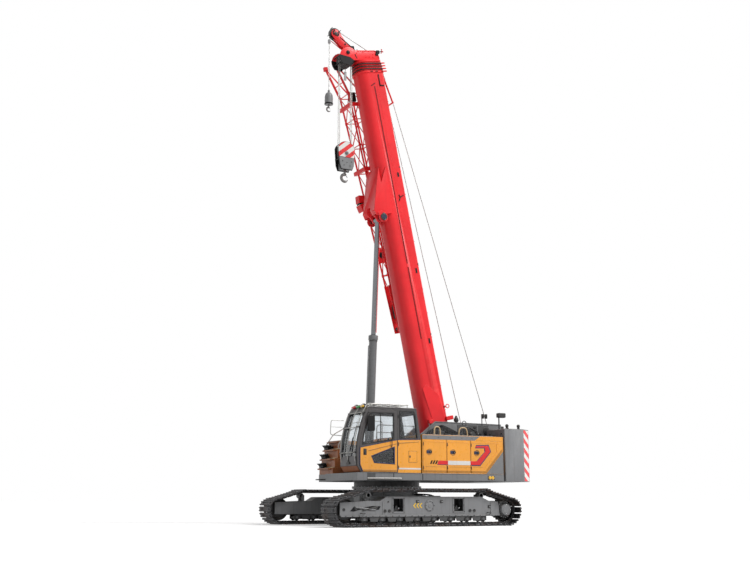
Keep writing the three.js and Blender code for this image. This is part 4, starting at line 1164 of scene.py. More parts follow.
def make_crawler_sides(side, place):
    """What stands on the outer face of a crawler's frame."""
    face = CRAWLER_FACE
    shape = Shape(place)
    for x in WINDOW_XS:
        outer, inner = [
            [(x - half, low), (x + half, low), (x + half, high), (x - half, high)]
            for half, low, high in ((0.195, 0.365, 0.785), (0.175, 0.39, 0.765))
        ]
        shape.rim(outer, inner, "Y", face - 0.01, face + 0.014, "frame")
        # black plate at the back of the window: painted shade inside the opening
        shape.box((x - 0.175, face - 0.3, 0.39), (x + 0.175, face - 0.27, 0.765), "black", 0.002)
        gusset = [
            (x - 0.12, 0.407), (x + 0.05, 0.407), (x + 0.05, 0.44), (x - 0.02, 0.56), (x - 0.045, 0.56)
        ]
        shape.prism(gusset, "Y", face - 0.19, face - 0.16, "frame_dark", 0.004)
        shape.rod(
            (x - 0.035, face - 0.11, 0.49), (x - 0.035, face - 0.04, 0.49), 0.02, "steel", 12, 0.004
        )
    # round boss and its cover in the middle
    boss = [
        (0, 0), (0.15, 0), (0.15, 0.016), (0.14, 0.022), (0.115, 0.022), (0.108, 0.012), (0.06, 0.012)
    ]
    shape.turned(boss + [(0.05, 0.02), (0, 0.02)], (BOSS_X, face, 0.56), (0, 1, 0), "frame", 36)
    # guard rails along the top and the bottom edge
    shape.box((-2.14, face - 0.004, 0.268), (2.7, face + 0.02, 0.315), "frame", 0.006)
    shape.box((-1.66, face - 0.004, 0.772), (1.28, face + 0.016, 0.8), "frame", 0.006)
    for x in (-2.03, 1.44):
        rib = [(x - 0.014, 0.315), (x + 0.014, 0.315), (x + 0.014, 0.67), (x - 0.014, 0.67)]
        shape.prism(rib, "Y", face - 0.003, face + 0.012, "frame", 0.002)
    # lifting lugs, steps and small ports
    for x, z in ((-0.4, 0.67), (0.36, 0.67), (-1.98, 0.53)):
        shape.box((x - 0.05, face, z - 0.04), (x + 0.05, face + 0.012, z + 0.04), "dark", 0.004)
        shape.box((x - 0.028, face, z - 0.025), (x + 0.028, face + 0.04, z + 0.015), "frame", 0.008)
    # tensioning linkage in its recess near the idler; the recess is a black sheet on the face, painted
    # shade
    recess = [
        (2.42, 0.42), (2.3, 0.54), (2.1, 0.505), (1.76, 0.555), (1.5, 0.545),
        (1.56, 0.455), (1.8, 0.435), (2.1, 0.465), (2.3, 0.41)
    ]
    shape.prism(recess[::-1], "Y", face - 0.002, face + 0.004, "black", 0)
    shape.rod((2.26, face + 0.012, 0.52), (1.66, face + 0.012, 0.45), 0.022, "frame", 12, 0.004)
    shape.rod((2.05, face + 0.02, 0.44), (1.6, face + 0.02, 0.53), 0.018, "dark", 12, 0.004)
    for x in (2.26, 1.66):
        shape.rod((x, face, 0.485), (x, face + 0.03, 0.485), 0.045, "dark", 16, 0.006)
    for x, z, r in ((1.24, 0.42, 0.034), (1.37, 0.42, 0.034), (-1.33, 0.42, 0.034), (-1.47, 0.42, 0.034),
                    (2.6, 0.46, 0.03), (1.27, 0.66, 0.018)):
        rim = [
            (0, 0.002), (r * 0.95, 0.002), (r, 0.01), (r * 1.35, 0.01), (r * 1.35, 0.0), (r, 0.0)
        ]
        shape.turned(rim, (x, face - 0.0005, z), (0, 1, 0), "dark", 18)
    for x in (-1.95, 2.05):
        points = [(x - 0.06, face, 0.36), (x - 0.06, face + 0.07, 0.36), (x + 0.06, face + 0.07, 0.36)]
        shape.tube(points + [(x + 0.06, face, 0.36)], 0.011, "dark", 8, 0.03)
    # idler yoke with its slide and grease cover
    yoke = [(2.03, 0.36), (2.46, 0.36)] + arc(
        WHEEL_X, WHEEL, 0.14, -110, 110, 10
    ) + [(2.46, 0.53), (2.03, 0.53)]
    for low in (CRAWLER_Y + 0.15, CRAWLER_Y - 0.185):
        shape.prism(yoke, "Y", low, low + 0.035, "frame", 0.004)
    shape.rod((1.75, CRAWLER_Y, WHEEL), (2.2, CRAWLER_Y, WHEEL), 0.07, "steel", 20)
    # bracket that carries the drive
    carrier = [
        (-2.12, 0.3), (-2.12, 0.66), (-2.3, 0.68)
    ] + arc(-WHEEL_X, WHEEL, 0.25, 70, 290, 14) + [(-2.3, 0.26)]
    shape.prism(carrier, "Y", CRAWLER_Y - 0.15, CRAWLER_Y - 0.12, "frame", 0.004)
    shape.prism(
        [(-2.36, 0.28), (-2.12, 0.28), (-2.12, 0.66), (-2.3, 0.67)], "Y", face - 0.07, face - 0.03,
        "frame", 0.004
    )
    # forward chevrons
    for i in range(3):
        x = BOSS_X + 0.23 + 0.095 * i
        chevron = [
            (x, 0.495), (x + 0.04, 0.495), (x + 0.1, 0.56), (x + 0.04, 0.625), (x, 0.625),
            (x + 0.06, 0.56)
        ]
        shape.prism(chevron, "Y", face, face + 0.003, "yellow", 0)
    shape.done(f"{side}_crawler_trim", f"{side}_crawler", "frame_grey")
    heads = [((x, face + 0.02, 0.291), (0, 1, 0)) for x in [-2.05 + 0.2 * i for i in range(24)]]
    heads += [((BOSS_X + 0.128 * math.cos(t), face + 0.02, 0.56 + 0.128 * math.sin(t)), (0, 1, 0))
              for t in (math.pi * i / 4 for i in range(8))]
    heads += [((x + dx, face + 0.013, z), (0, 1, 0))
              for x in WINDOW_XS for dx in (-0.17, 0.17) for z in (0.39, 0.575, 0.76)]
    bolts(f"{side}_frame_bolts", placed(place, heads), f"{side}_crawler", "dark", 0.026)
    guards = Shape(place)
    for x in ROLLER_XS[:-1]:
        outline = [(x + 0.12, 0.268), (x + 0.42, 0.268), (x + 0.38, 0.14), (x + 0.16, 0.14)]
        for low in (face - 0.026, CRAWLER_Y - 0.23):
            guards.prism(outline, "Y", low, low + 0.018, "frame_dark", 0.003)
    for x in (-1.8, 1.8):
        wheel = [(0, -0.1), (0.05, -0.1), (0.078, -0.095), (0.078, -0.06), (0.06, -0.05), (0.06, 0.05)]
        wheel += [(0.078, 0.06), (0.078, 0.095), (0.05, 0.1), (0, 0.1)]
        guards.turned(wheel, (x, CRAWLER_Y, BELT_TOP - 0.186), (0, 1, 0), "dark", 24)
        guards.box(
            (x - 0.04, CRAWLER_Y - 0.24, BELT_TOP - 0.34),
            (x + 0.04, CRAWLER_Y - 0.2, BELT_TOP - 0.16), "frame", 0.01
        )
    guards.done(f"{side}_roller_guards", f"{side}_crawler", "black_steel")


class CRANE_OT_crawlers(bpy.types.Operator):
    """Both crawlers: belts of shoes, wheels, rollers and frame trim."""

    bl_idname = "crane.crawlers"
    bl_label = "Crawlers"

    def execute(self, context):
        for side, mirror in SIDES:
            make_belt(side, mirror)
            make_wheels(side, SLEW @ mirror)
            make_crawler_sides(side, SLEW @ mirror)
        return {"FINISHED"}


# ------------------------------------------------------------------ carbody and slew ring
RING_RIBS = 16
RING_BOLTS = 48
HOSE_SIDE = 0.85  # ribs whose sine passes this would stand in the hoses' way


class CRANE_OT_carbody(bpy.types.Operator):
    """Bolts, gussets and hoses on the carbody and under the slew ring."""

    bl_idname = "crane.carbody"
    bl_label = "Carbody"

    def execute(self, context):
        top = local_box("carbody", SLEW)[1].z
        shape = Shape(SLEW)
        # ribs under the ring, except beside the hoses
        for i in range(RING_RIBS):
            turn = math.radians(360 / RING_RIBS * i + 11)
            if abs(math.sin(turn)) > HOSE_SIDE:
                continue
            gusset = Matrix.Rotation(turn, 4, "Z")
            rib = Shape(SLEW @ gusset)
            rib.prism([(0.85, 0.83), (0.99, 1.03), (0.85, 1.03)], "Y", -0.012, 0.012, "frame", 0)
            shape.add([SLEW.inverted() @ p for p in rib.points], rib.faces, "frame")
        for x in (-1.33, 1.33):
            out = math.copysign(1, x)
            near, far = sorted((x, x - 0.03 * out))
            shape.box((near, -0.5, 0.45), (far, 0.5, 0.78), "frame_dark", 0.01)
            for y in (-0.62, 0.62):
                hoop = [(0, -0.07), (0.09, -0.07), (0.09, 0.07), (0, 0.07)]
                points = [(x + a * out, y + b, 0.5) for a, b in hoop]
                shape.tube(points, 0.016, "dark", 8, 0.05)
        for side in (1, -1):
            for i in range(3):
                points = [
                    (-0.5 - 0.05 * i, side * 0.6, 0.86),
                    (-0.7 - 0.05 * i, side * 0.74, 0.88),
                    (-1.05 - 0.06 * i, side * 0.82, 0.86 - 0.02 * i),
                    (-1.3, side * 0.8, 0.72 - 0.03 * i),
                ]
                shape.tube(points, 0.018, "hose", 8, 0.3)
        shape.done("carbody_trim", "carbody", "frame_grey")
        ring = []
        for i in range(RING_BOLTS):
            t = 2 * math.pi * i / RING_BOLTS
            ring.append(((math.cos(t), math.sin(t), top), (0, 0, 1)))
        bolts("slew_ring_bolts", placed(SLEW, ring), "carbody", "steel", 0.03)
        return {"FINISHED"}


# ------------------------------------------------------------------ counterweight
def hazard_stripes(shape, corner, across, low, high, out):
    """Slanting red and white bands on a flat upright strip that starts at a corner."""
    corner, across = Vector(corner), Vector(across)
    width = across.length
    way = across / width
    band = sizes().hazard
    rise = width * 0.5
    count = int((high - low + rise) / band) + 2
    normal = Vector(out) * 0.0025
    backing = [corner + Vector((0, 0, low)), corner + across + Vector((0, 0, low)),
               corner + across + Vector((0, 0, high)), corner + Vector((0, 0, high))]
    add_plate(shape, backing, normal * 0.6, "white")
    for i in range(0, count, 2):
        start = low - rise + band * i
        outline = [(0, start + rise), (width, start), (width, start + band), (0, start + rise + band)]
        outline = clipped(outline, low, high)
        if len(outline) > 2:
            points = [corner + way * a + Vector((0, 0, z)) for a, z in outline]
            add_plate(shape, points, normal, "stripe")


def clipped(outline, low, high):
    """An outline cut off below and above two heights."""
    for limit, keep in ((low, 1), (high, -1)):
        cut = []
        for i, (a, z) in enumerate(outline):
            b, y = outline[(i + 1) % len(outline)]
            inside = (z - limit) * keep >= 0
            if inside:
                cut.append((a, z))
            if inside != ((y - limit) * keep >= 0):
                share = (limit - z) / (y - z)
                cut.append((a + (b - a) * share, limit))
        outline = cut
    return outline


def add_plate(shape, points, thickness, finish):
    """A thin plate over a face: its outline is given on the face and it stands out from it."""
    bm = bmesh.new()
    back = [bm.verts.new(p) for p in points]
    front = [bm.verts.new(Vector(p) + thickness) for p in points]
    bm.faces.new(back)
    bm.faces.new(front[::-1])
    for i in range(len(points)):
        j = (i + 1) % len(points)
        bm.faces.new((back[i], back[j], front[j], front[i]))
    shape.take(bm, finish)


class CRANE_OT_counterweight(bpy.types.Operator):
    """Two cast slabs with lifting knobs, hazard bands, lamps and tie bolts."""

    bl_idname = "crane.counterweight"
    bl_label = "Counterweight"

    def execute(self, context):
        low, high = WEIGHT_LOW, WEIGHT_HIGH
        rear, corner, front = low.x + 0.012, -3.83, high.x
        half, rear_half, recess = BODY_HALF, 1.28, 0.6
        inner = -3.79
        plan = [(front, half), (corner, half), (rear, rear_half), (rear, -rear_half), (corner, -half)]
        plan += [(front, -half), (front, -recess), (inner, -recess), (inner, recess), (front, recess)]
        shape = Shape(SLEW)
        shape.prism(plan, "Z", low.z, high.z, "weight", 0.02)
        for y in (-1.2, 1.2):
            for x in (-3.5, -3.92):
                knob = [
                    (0, 0), (0.06, 0), (0.06, 0.02), (0.036, 0.05), (0.05, 0.1), (0.052, 0.13),
                    (0.03, 0.16), (0, 0.165)
                ]
                shape.turned(knob, (x, y, high.z - 0.005), (0, 0, 1), "dark", 20)
        shape.box((rear - 0.004, -0.35, 2.45), (rear + 0.03, 0.35, 2.72), "dark", 0.01)
        for y in (-0.8, 0.8):
            shape.box((rear - 0.006, y - 0.14, 1.42), (rear + 0.02, y + 0.14, 1.5), "dark", 0.006)
            for k, finish in enumerate(("lamp_red", "lamp_yellow", "lens")):
                centre = y - 0.09 + 0.09 * k
                shape.box(
                    (rear - 0.01, centre - 0.036, 1.435), (rear + 0.01, centre + 0.036, 1.487), finish,
                    0.006
                )
        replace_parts(shape.done("counterweight_slabs", "superstructure", "frame_grey"), "counterweight")
        trim = Shape(SLEW)
        for side in (1, -1):
            start = Vector((corner, side * half, 0))
            across = Vector((rear - corner, side * (rear_half - half), 0))
            out = Vector((-(half - rear_half), side * (corner - rear), 0)).normalized()
            start += across * 0.1
            hazard_stripes(trim, start, across * 0.82, low.z + 0.02, high.z - 0.03, out)
        # rear working lamp on a stalk and a camera under its hood
        trim.tube([(-3.35, 1.0, high.z), (-3.35, 1.0, high.z + 0.42)], 0.02, "dark")
        trim.box((-3.56, 0.92, high.z + 0.36), (-3.3, 1.08, high.z + 0.5), "dark", 0.02)
        trim.box((-3.57, 0.94, high.z + 0.38), (-3.555, 1.06, high.z + 0.48), "lens", 0.004)
        trim.tube([(-4.1, 0, high.z), (-4.1, 0, high.z + 0.1)], 0.02, "dark")
        trim.box((-4.2, -0.06, high.z + 0.08), (-4.02, 0.06, high.z + 0.18), "dark", 0.02)
        trim.done("counterweight_trim", "superstructure", "frame_grey")
        heads = [
            ((front - 0.004, y, z), (1, 0, 0)) for y in (-1.4, -0.8, 0.8, 1.4) for z in (1.4, 2.1, 2.65)
        ]
        heads += [
            ((x, side * (half - 0.02), high.z), (0, 0, 1)) for x in (-3.3, -3.7) for side in (1, -1)
        ]
        bolts("counterweight_bolts", placed(SLEW, heads), "superstructure", "dark", 0.05)
        return {"FINISHED"}


# ------------------------------------------------------------------ superstructure frame
PEDESTAL_Y = 0.465
PEDESTAL_TOP = [(-0.56, 2.29), (-0.93, 2.62), (-1.42, 3.0), (-3.79, 2.98)]


class CRANE_OT_deck(bpy.types.Operator):
    """Frame seams, skirts, the pedestal's edge flanges, hoses, hoops and deck fittings."""

    bl_idname = "crane.deck"
    bl_label = "Deck and pedestal"

    def execute(self, context):
        shape = Shape(SLEW)
        face = BODY_HALF
        for side in (1, -1):
            for x in (0.62, -0.32):
                shape.box(
                    (x - 0.012, side * face - 0.002, 1.245), (x + 0.012, side * face + 0.002, 1.452),
                    "black", 0.001
                )
            front = sorted((side * face - 0.003, side * face + 0.003))
            shape.box((1.2, front[0], 1.25), (1.458, front[1], 1.452), "frame_dark", 0.001)
            low_y, high_y = sorted((side * face - 0.004, side * face + 0.01))
            shape.box((-3.09, low_y, 1.243), (1.45, high_y, 1.262), "frame_dark", 0.003)
            shape.box((-3.09, low_y, 1.438), (1.45, high_y, 1.453), "frame", 0.003)
        # non-slip step strip under the cab door
        shape.box((0.38, face, 1.275), (1.45, face + 0.025, 1.32), "white", 0.006)
        shape.box((0.4, face + 0.025, 1.287), (1.43, face + 0.028, 1.308), "tube", 0.001)
        # side lamps
        for side in (1, -1):
            lens = [(0, 0), (0.05, 0), (0.055, 0.008), (0.048, 0.02), (0.03, 0.026), (0, 0.028)]
            for x in (-2.6, -2.7):
                shape.turned(lens, (x, side * face, 1.345), (0, side, 0), "lamp_yellow", 20)
            shape.box((-2.77, *sorted((side * face, side * (face + 0.008)))[:1], 1.29),
                      (-2.53, sorted((side * face, side * (face + 0.008)))[1], 1.4), "trim", 0.004)
        # flanges along the pedestal plates' edges
        for side in (1, -1):
            y = side * (PEDESTAL_Y - 0.018)
            for (x, z), (a, b) in zip(PEDESTAL_TOP, PEDESTAL_TOP[1:]):
                run = Vector((a - x, 0, b - z))
                middle = Vector(((x + a) / 2, y, (z + b) / 2 + 0.008))
                turn = Matrix.Rotation(-math.atan2(run.z, run.x), 3, "Y")
                half = Vector((run.length / 2, 0.035, 0.012))
                shape.box(middle - half, middle + half, "frame", 0.004, turn)
        # cheek plates over the pedestal's openings, the winch gear's covers behind them
        for side in (1, -1):
            y = sorted((side * (PEDESTAL_Y + 0.001), side * (PEDESTAL_Y + 0.01)))
            shape.prism(
                [(-1.0, 2.55), (-1.43, 2.94), (-2.17, 2.94), (-2.17, 2.55)], "Y", *y, "frame", 0.002
            )
            shape.prism(
                [(-2.19, 2.55), (-2.19, 2.95), (-3.32, 2.95), (-3.32, 2.55)], "Y", *y, "frame_dark",
                0.002
            )
            for x, z, radius in (
                (-2.55, 2.76, 0.15), (-3.24, 2.78, 0.12), (-1.75, 2.83, 0.07), (-2.82, 2.88, 0.05)
            ):
                cover = [
                    (0, 0), (radius, 0), (radius, 0.014), (radius * 0.82, 0.02), (radius * 0.5, 0.02),
                    (0, 0.026)
                ]
                shape.turned(cover, (x, side * (PEDESTAL_Y + 0.008), z), (0, side, 0), "dark", 30)
            run = [(-2.25, 2.58), (-2.3, 2.74), (-2.5, 2.9), (-2.75, 2.82), (-3.0, 2.64)]
            shape.tube([(a, side * (PEDESTAL_Y + 0.02), b) for a, b in run], 0.016, "hose", 8, 0.1)
            shape.tube(
                [(a - 0.1, side * (PEDESTAL_Y + 0.018), b - 0.03) for a, b in run], 0.012, "hose", 8,
                0.1
            )
            shape.box((-2.93, y[0], 2.56), (-2.9, y[1] + 0.004 * side, 2.96), "frame", 0.002)
        for side in (1, -1):
            near, far = sorted((side * PEDESTAL_Y, side * (PEDESTAL_Y + 0.012)))
            shape.box((-1.212, near, 2.56), (-1.188, far, 2.94), "frame", 0.003)
        # round port and boss where the boom's foot pin passes
        for side in (1, -1):
            pin = [
                (0, 0), (0.16, 0), (0.17, 0.012), (0.17, 0.04), (0.15, 0.055), (0.075, 0.055),
                (0.07, 0.08), (0, 0.08)
            ]
            shape.turned(pin, (-1.79, side * (PEDESTAL_Y - 0.03), 2.66), (0, side, 0), "frame", 36)
        shape.done("deck_trim", "superstructure", "frame_grey")

        # hoses and hoops over the side decks, between the pedestal and the boom's foot
        fittings = Shape(SLEW)
        for i in range(5):
            y = 0.54 + 0.05 * i
            points = [
                (-1.05 - 0.06 * i, y, 2.55), (-1.12 - 0.05 * i, y, 2.74 + 0.03 * i),
                (-1.5, y - 0.02, 2.82 + 0.02 * i)
            ]
            points += [(-1.9, y, 2.66 + 0.02 * i), (-2.2 - 0.05 * i, y + 0.02, 2.54)]
            fittings.tube(points, 0.018, "hose", 8, 0.2)
        for x, wide in ((-1.15, 0.11), (-2.05, 0.16)):
            points = [
                (x - wide, 1.0, 2.54), (x - wide * 0.8, 1.0, 2.82), (x + wide * 0.8, 1.0, 2.82),
                (x + wide, 1.0, 2.54)
            ]
            fittings.tube(points, 0.02, "beige", 10, 0.12)
        loop = [(-2.44 + a, 0.47, 2.99 + b) for a, b in arc(0, 0, 0.07, -60, 240, 18)]
        fittings.tube(loop, 0.012, "frame_dark", 8)
        for x in (-2.35, -2.6):
            fittings.rod((x, 0.95, 2.53), (x, 0.95, 2.6), 0.07, "dark", 20, 0.01)
            fittings.turned([(0, 0), (0.03, 0), (0.055, 0.03), (0.05, 0.07), (0.02, 0.1), (0, 0.1)],
                            (x, 0.95, 2.6), (0, 0, 1), "dark", 20)
        # pear-shaped horn and a round filter bowl on the pedestal's top
        pear = [(0, 0), (0.05, 0), (0.075, 0.04), (0.07, 0.1), (0.04, 0.15), (0.03, 0.19), (0, 0.2)]
        fittings.turned(pear, (-2.17, PEDESTAL_Y - 0.02, 3.02), (0, 0, 1), "dark", 24)
        fittings.tube([(-3.09, PEDESTAL_Y, 2.96), (-3.09, PEDESTAL_Y, 3.22)], 0.015, "dark")
        for x in (-3.12, -3.24):
            fittings.box(
                (x - 0.03, PEDESTAL_Y - 0.05, 3.16), (x + 0.03, PEDESTAL_Y + 0.05, 3.3), "dark", 0.012
            )
        fittings.tube([(-3.09, PEDESTAL_Y, 3.22), (-3.24, PEDESTAL_Y, 3.22)], 0.012, "dark")
        # hydraulic valve bank and pipes in the well behind the boom's foot
        for i in range(6):
            y = -0.3 + 0.12 * i
            fittings.box((-2.1, y - 0.04, 2.3), (-1.98, y + 0.04, 2.5), "dark", 0.01)
            fittings.tube(
                [(-2.04, y, 2.5), (-2.04, y, 2.62), (-1.96, y * 0.5, 2.42), (-1.5, y * 0.4, 2.1)],
                0.014, "hose", 8, 0.1
            )
        # grab rail round the right deck and a walkway mesh
        rail = [(-0.45, -1.45, 2.54), (-0.45, -1.45, 3.0), (-2.9, -1.45, 3.0), (-2.9, -1.45, 2.54)]
        fittings.tube(rail, 0.018, "tube", 10, 0.12)
        fittings.tube([(-0.45, -1.45, 2.77), (-2.9, -1.45, 2.77)], 0.015, "tube", 10)
        for x in (-1.25, -2.1):
            fittings.tube([(x, -1.45, 2.54), (x, -1.45, 3.0)], 0.016, "tube", 10)
        fittings.done("deck_fittings", "superstructure", "black_steel")
        return {"FINISHED"}


# ------------------------------------------------------------------ winches
class CRANE_OT_winches(bpy.types.Operator):
    """Drums with flanges and bolts, and their wound rope."""

    bl_idname = "crane.winches"
    bl_label = "Winches"

    def execute(self, context):
        for name, turns in (("rear", 24.0), ("front", 24.0)):
            node = f"{name}_winch_drum"
            low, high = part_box(node)
            centre = (low + high) / 2
            half = 0.33
            shape = Shape(Matrix.Translation(centre))
            drum = [(0, -0.42), (0.09, -0.42), (0.09, -half), (0.275, -half), (0.285, -half + 0.008)]
            drum += [(0.285, -half + 0.016), (0.275, -half + 0.022), (0.205, -half + 0.022)]
            drum += [(r, -y) for r, y in drum[::-1]]
            shape.turned(drum, (0, 0, 0), (0, 1, 0), "dark", 40)
            for side in (-1, 1):
                for i in range(10):
                    t = math.radians(36 * i)
                    point = (0.245 * math.cos(t), side * half, 0.245 * math.sin(t))
                    shape.bolt(point, (0, side, 0), 0.03, "steel")
            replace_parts(shape.done(f"{name}_drum", f"{name}_winch", "rope_steel"), node)
            mesh = bpy.data.meshes.new(f"{name}_winding")
            mesh.from_pydata([(0, 0, 0)], [], [])
            radius = 0.205 + sizes().rope / 2
            width = 2 * half - 0.07
            values = {"Turns": turns, "Radius": radius, "Width": width, "Rope": sizes().rope / 2,
                      "Finish": finish_of("rope")}
            wound = grown_by(f"{name}_wound_rope", mesh, winding_tree(), values)
            lay = Matrix.Translation(
                centre + Vector((0, -width / 2, 0))
            ) @ Matrix.Rotation(math.radians(-90), 4, "X")
            wound.data.transform(lay)
            settle(wound, f"{name}_winch")
        return {"FINISHED"}


# ------------------------------------------------------------------ cab
DOOR_WINDOW = [
    (0.63, 2.385), (1.59, 2.24), (1.56, 2.48), (1.49, 2.72), (1.375, 3.035), (1.345, 3.09),
    (0.63, 3.09)
]
LOW_WINDOW = [(0.615, 1.715), (1.225, 1.74), (1.3, 1.895), (0.615, 2.145)]
REAR_WINDOW = [(-0.14, 2.43), (0.41, 2.43), (0.41, 3.16), (-0.02, 3.16), (-0.06, 3.11)]
WINDSCREEN = [(1.72, 1.75), (1.77, 2.0), (1.735, 2.35), (1.655, 2.7), (1.545, 3.03), (1.5, 3.11)]
CAB_INNER = CAB_LOW.y
CAB_MIDDLE = (CAB_LOW.y + CAB_HIGH.y) / 2
CAB_ROOF = CAB_HIGH.z
CAB_DECK = DECK + 0.05


def waist(x):
    """Height of the line where the cab's orange meets its dark upper frame."""
    if x < 0.5:
        return 2.372 + (0.5 - x) * 0.037
    return 2.372 - (x - 0.5) * 0.197


def holed_plate(shape, outer, holes, low, high, finish):
    """A plate in the XZ plane with holes, between two Y values."""
    loops = [outer, *holes]
    flat = [Vector((x, z, 0)) for loop in loops for x, z in loop]
    triangles = geometry.tessellate_polygon([[Vector((x, z, 0)) for x, z in loop] for loop in loops])
    bm = bmesh.new()
    ends = [[bm.verts.new((p.x, y, p.y)) for p in flat] for y in (low, high)]
    for corners in triangles:
        bm.faces.new([ends[0][i] for i in corners])
        bm.faces.new([ends[1][i] for i in corners][::-1])
    start = 0
    for loop in loops:
        for i in range(len(loop)):
            a, b = start + i, start + (i + 1) % len(loop)
            bm.faces.new((ends[0][a], ends[0][b], ends[1][b], ends[1][a]))
        start += len(loop)
    shape.take(bm, finish)


def strip(shape, path, width, low, high, finish):
    """A flat ribbon along a path in the XZ plane, between two Y values."""
    for (x, z), (a, b) in zip(path, path[1:]):
        way = Vector((a - x, b - z)).normalized()
        side = Vector((-way.y, way.x)) * width / 2
        ends = [Vector((x, z)) - way * width * 0.2, Vector((a, b)) + way * width * 0.2]
        outline = [ends[0] - side, ends[1] - side, ends[1] + side, ends[0] + side]
        shape.prism([tuple(p) for p in outline], "Y", low, high, finish, 0)


def make_door():
    face = BODY_HALF
    door = Shape(SLEW)
    orange = [
        (0.52, 1.475), (1.612, 1.475), (1.7, 1.667), (1.703, 2.01), (1.69, waist(1.69)),
        (0.52, waist(0.52))
    ]
    holed_plate(door, orange, [LOW_WINDOW], face, face + 0.006, "body")
    # darker orange lower lip: painted shade
    low_edge = [(0.52, 1.475), (1.612, 1.475), (1.64, 1.535), (0.52, 1.535)]
    door.prism(low_edge, "Y", face + 0.006, face + 0.009, "body_low", 0)
    strip(door, [(1.69, waist(1.69)), (0.53, waist(0.53))], 0.026, face + 0.004, face + 0.01, "trim")
    front = [(1.685, 2.12), (1.69, 2.0), (1.688, 1.672), (1.605, 1.49)]
    strip(door, front, 0.03, face + 0.005, face + 0.01, "trim")
    door.rim(grown(LOW_WINDOW, 0.03), grown(LOW_WINDOW, -0.004), "Y", face - 0.02, face + 0.011, "trim")
    door.rim(
        grown(DOOR_WINDOW, 0.03), grown(DOOR_WINDOW, -0.006), "Y", face - 0.03, face + 0.008, "rubber"
    )
    # darker orange crease under the window: painted shade
    strip(door, [(1.42, 2.045), (0.54, 2.258)], 0.022, face + 0.004, face + 0.014, "body_low")
    door.box((1.478, face - 0.004, 1.925), (1.582, face + 0.009, 2.105), "rubber", 0.012)
    door.box((1.5, face + 0.006, 1.95), (1.56, face + 0.026, 2.08), "plastic", 0.012)
    handle = [
        (0.7, face + 0.002, 2.16), (0.7, face + 0.05, 2.18),
        (0.7, face + 0.05, 2.36), (0.7, face + 0.002, 2.38)
    ]
    door.tube(handle, 0.011, "dark", 8, 0.03)
    # mirror on the door's front corner
    door.tube(
        [(1.42, face, 3.1), (1.42, face + 0.06, 3.12), (1.37, face + 0.075, 2.95)], 0.012, "dark", 8,
        0.03
    )
    door.box((1.255, face + 0.05, 2.59), (1.485, face + 0.09, 3.02), "black", 0.018)
    door.box((1.275, face + 0.044, 2.61), (1.465, face + 0.051, 3.0), "mirror", 0.004)
    # sliding pane's middle bar and the door's inner trim
    door.box((1.02, face - 0.012, 2.34), (1.045, face + 0.002, 3.085), "rubber", 0.003)
    door.box((0.56, face - 0.07, 1.5), (0.6, face - 0.043, 3.1), "plastic", 0.006)
    door.done("cab_door_trim", "cab_door", "body_orange")


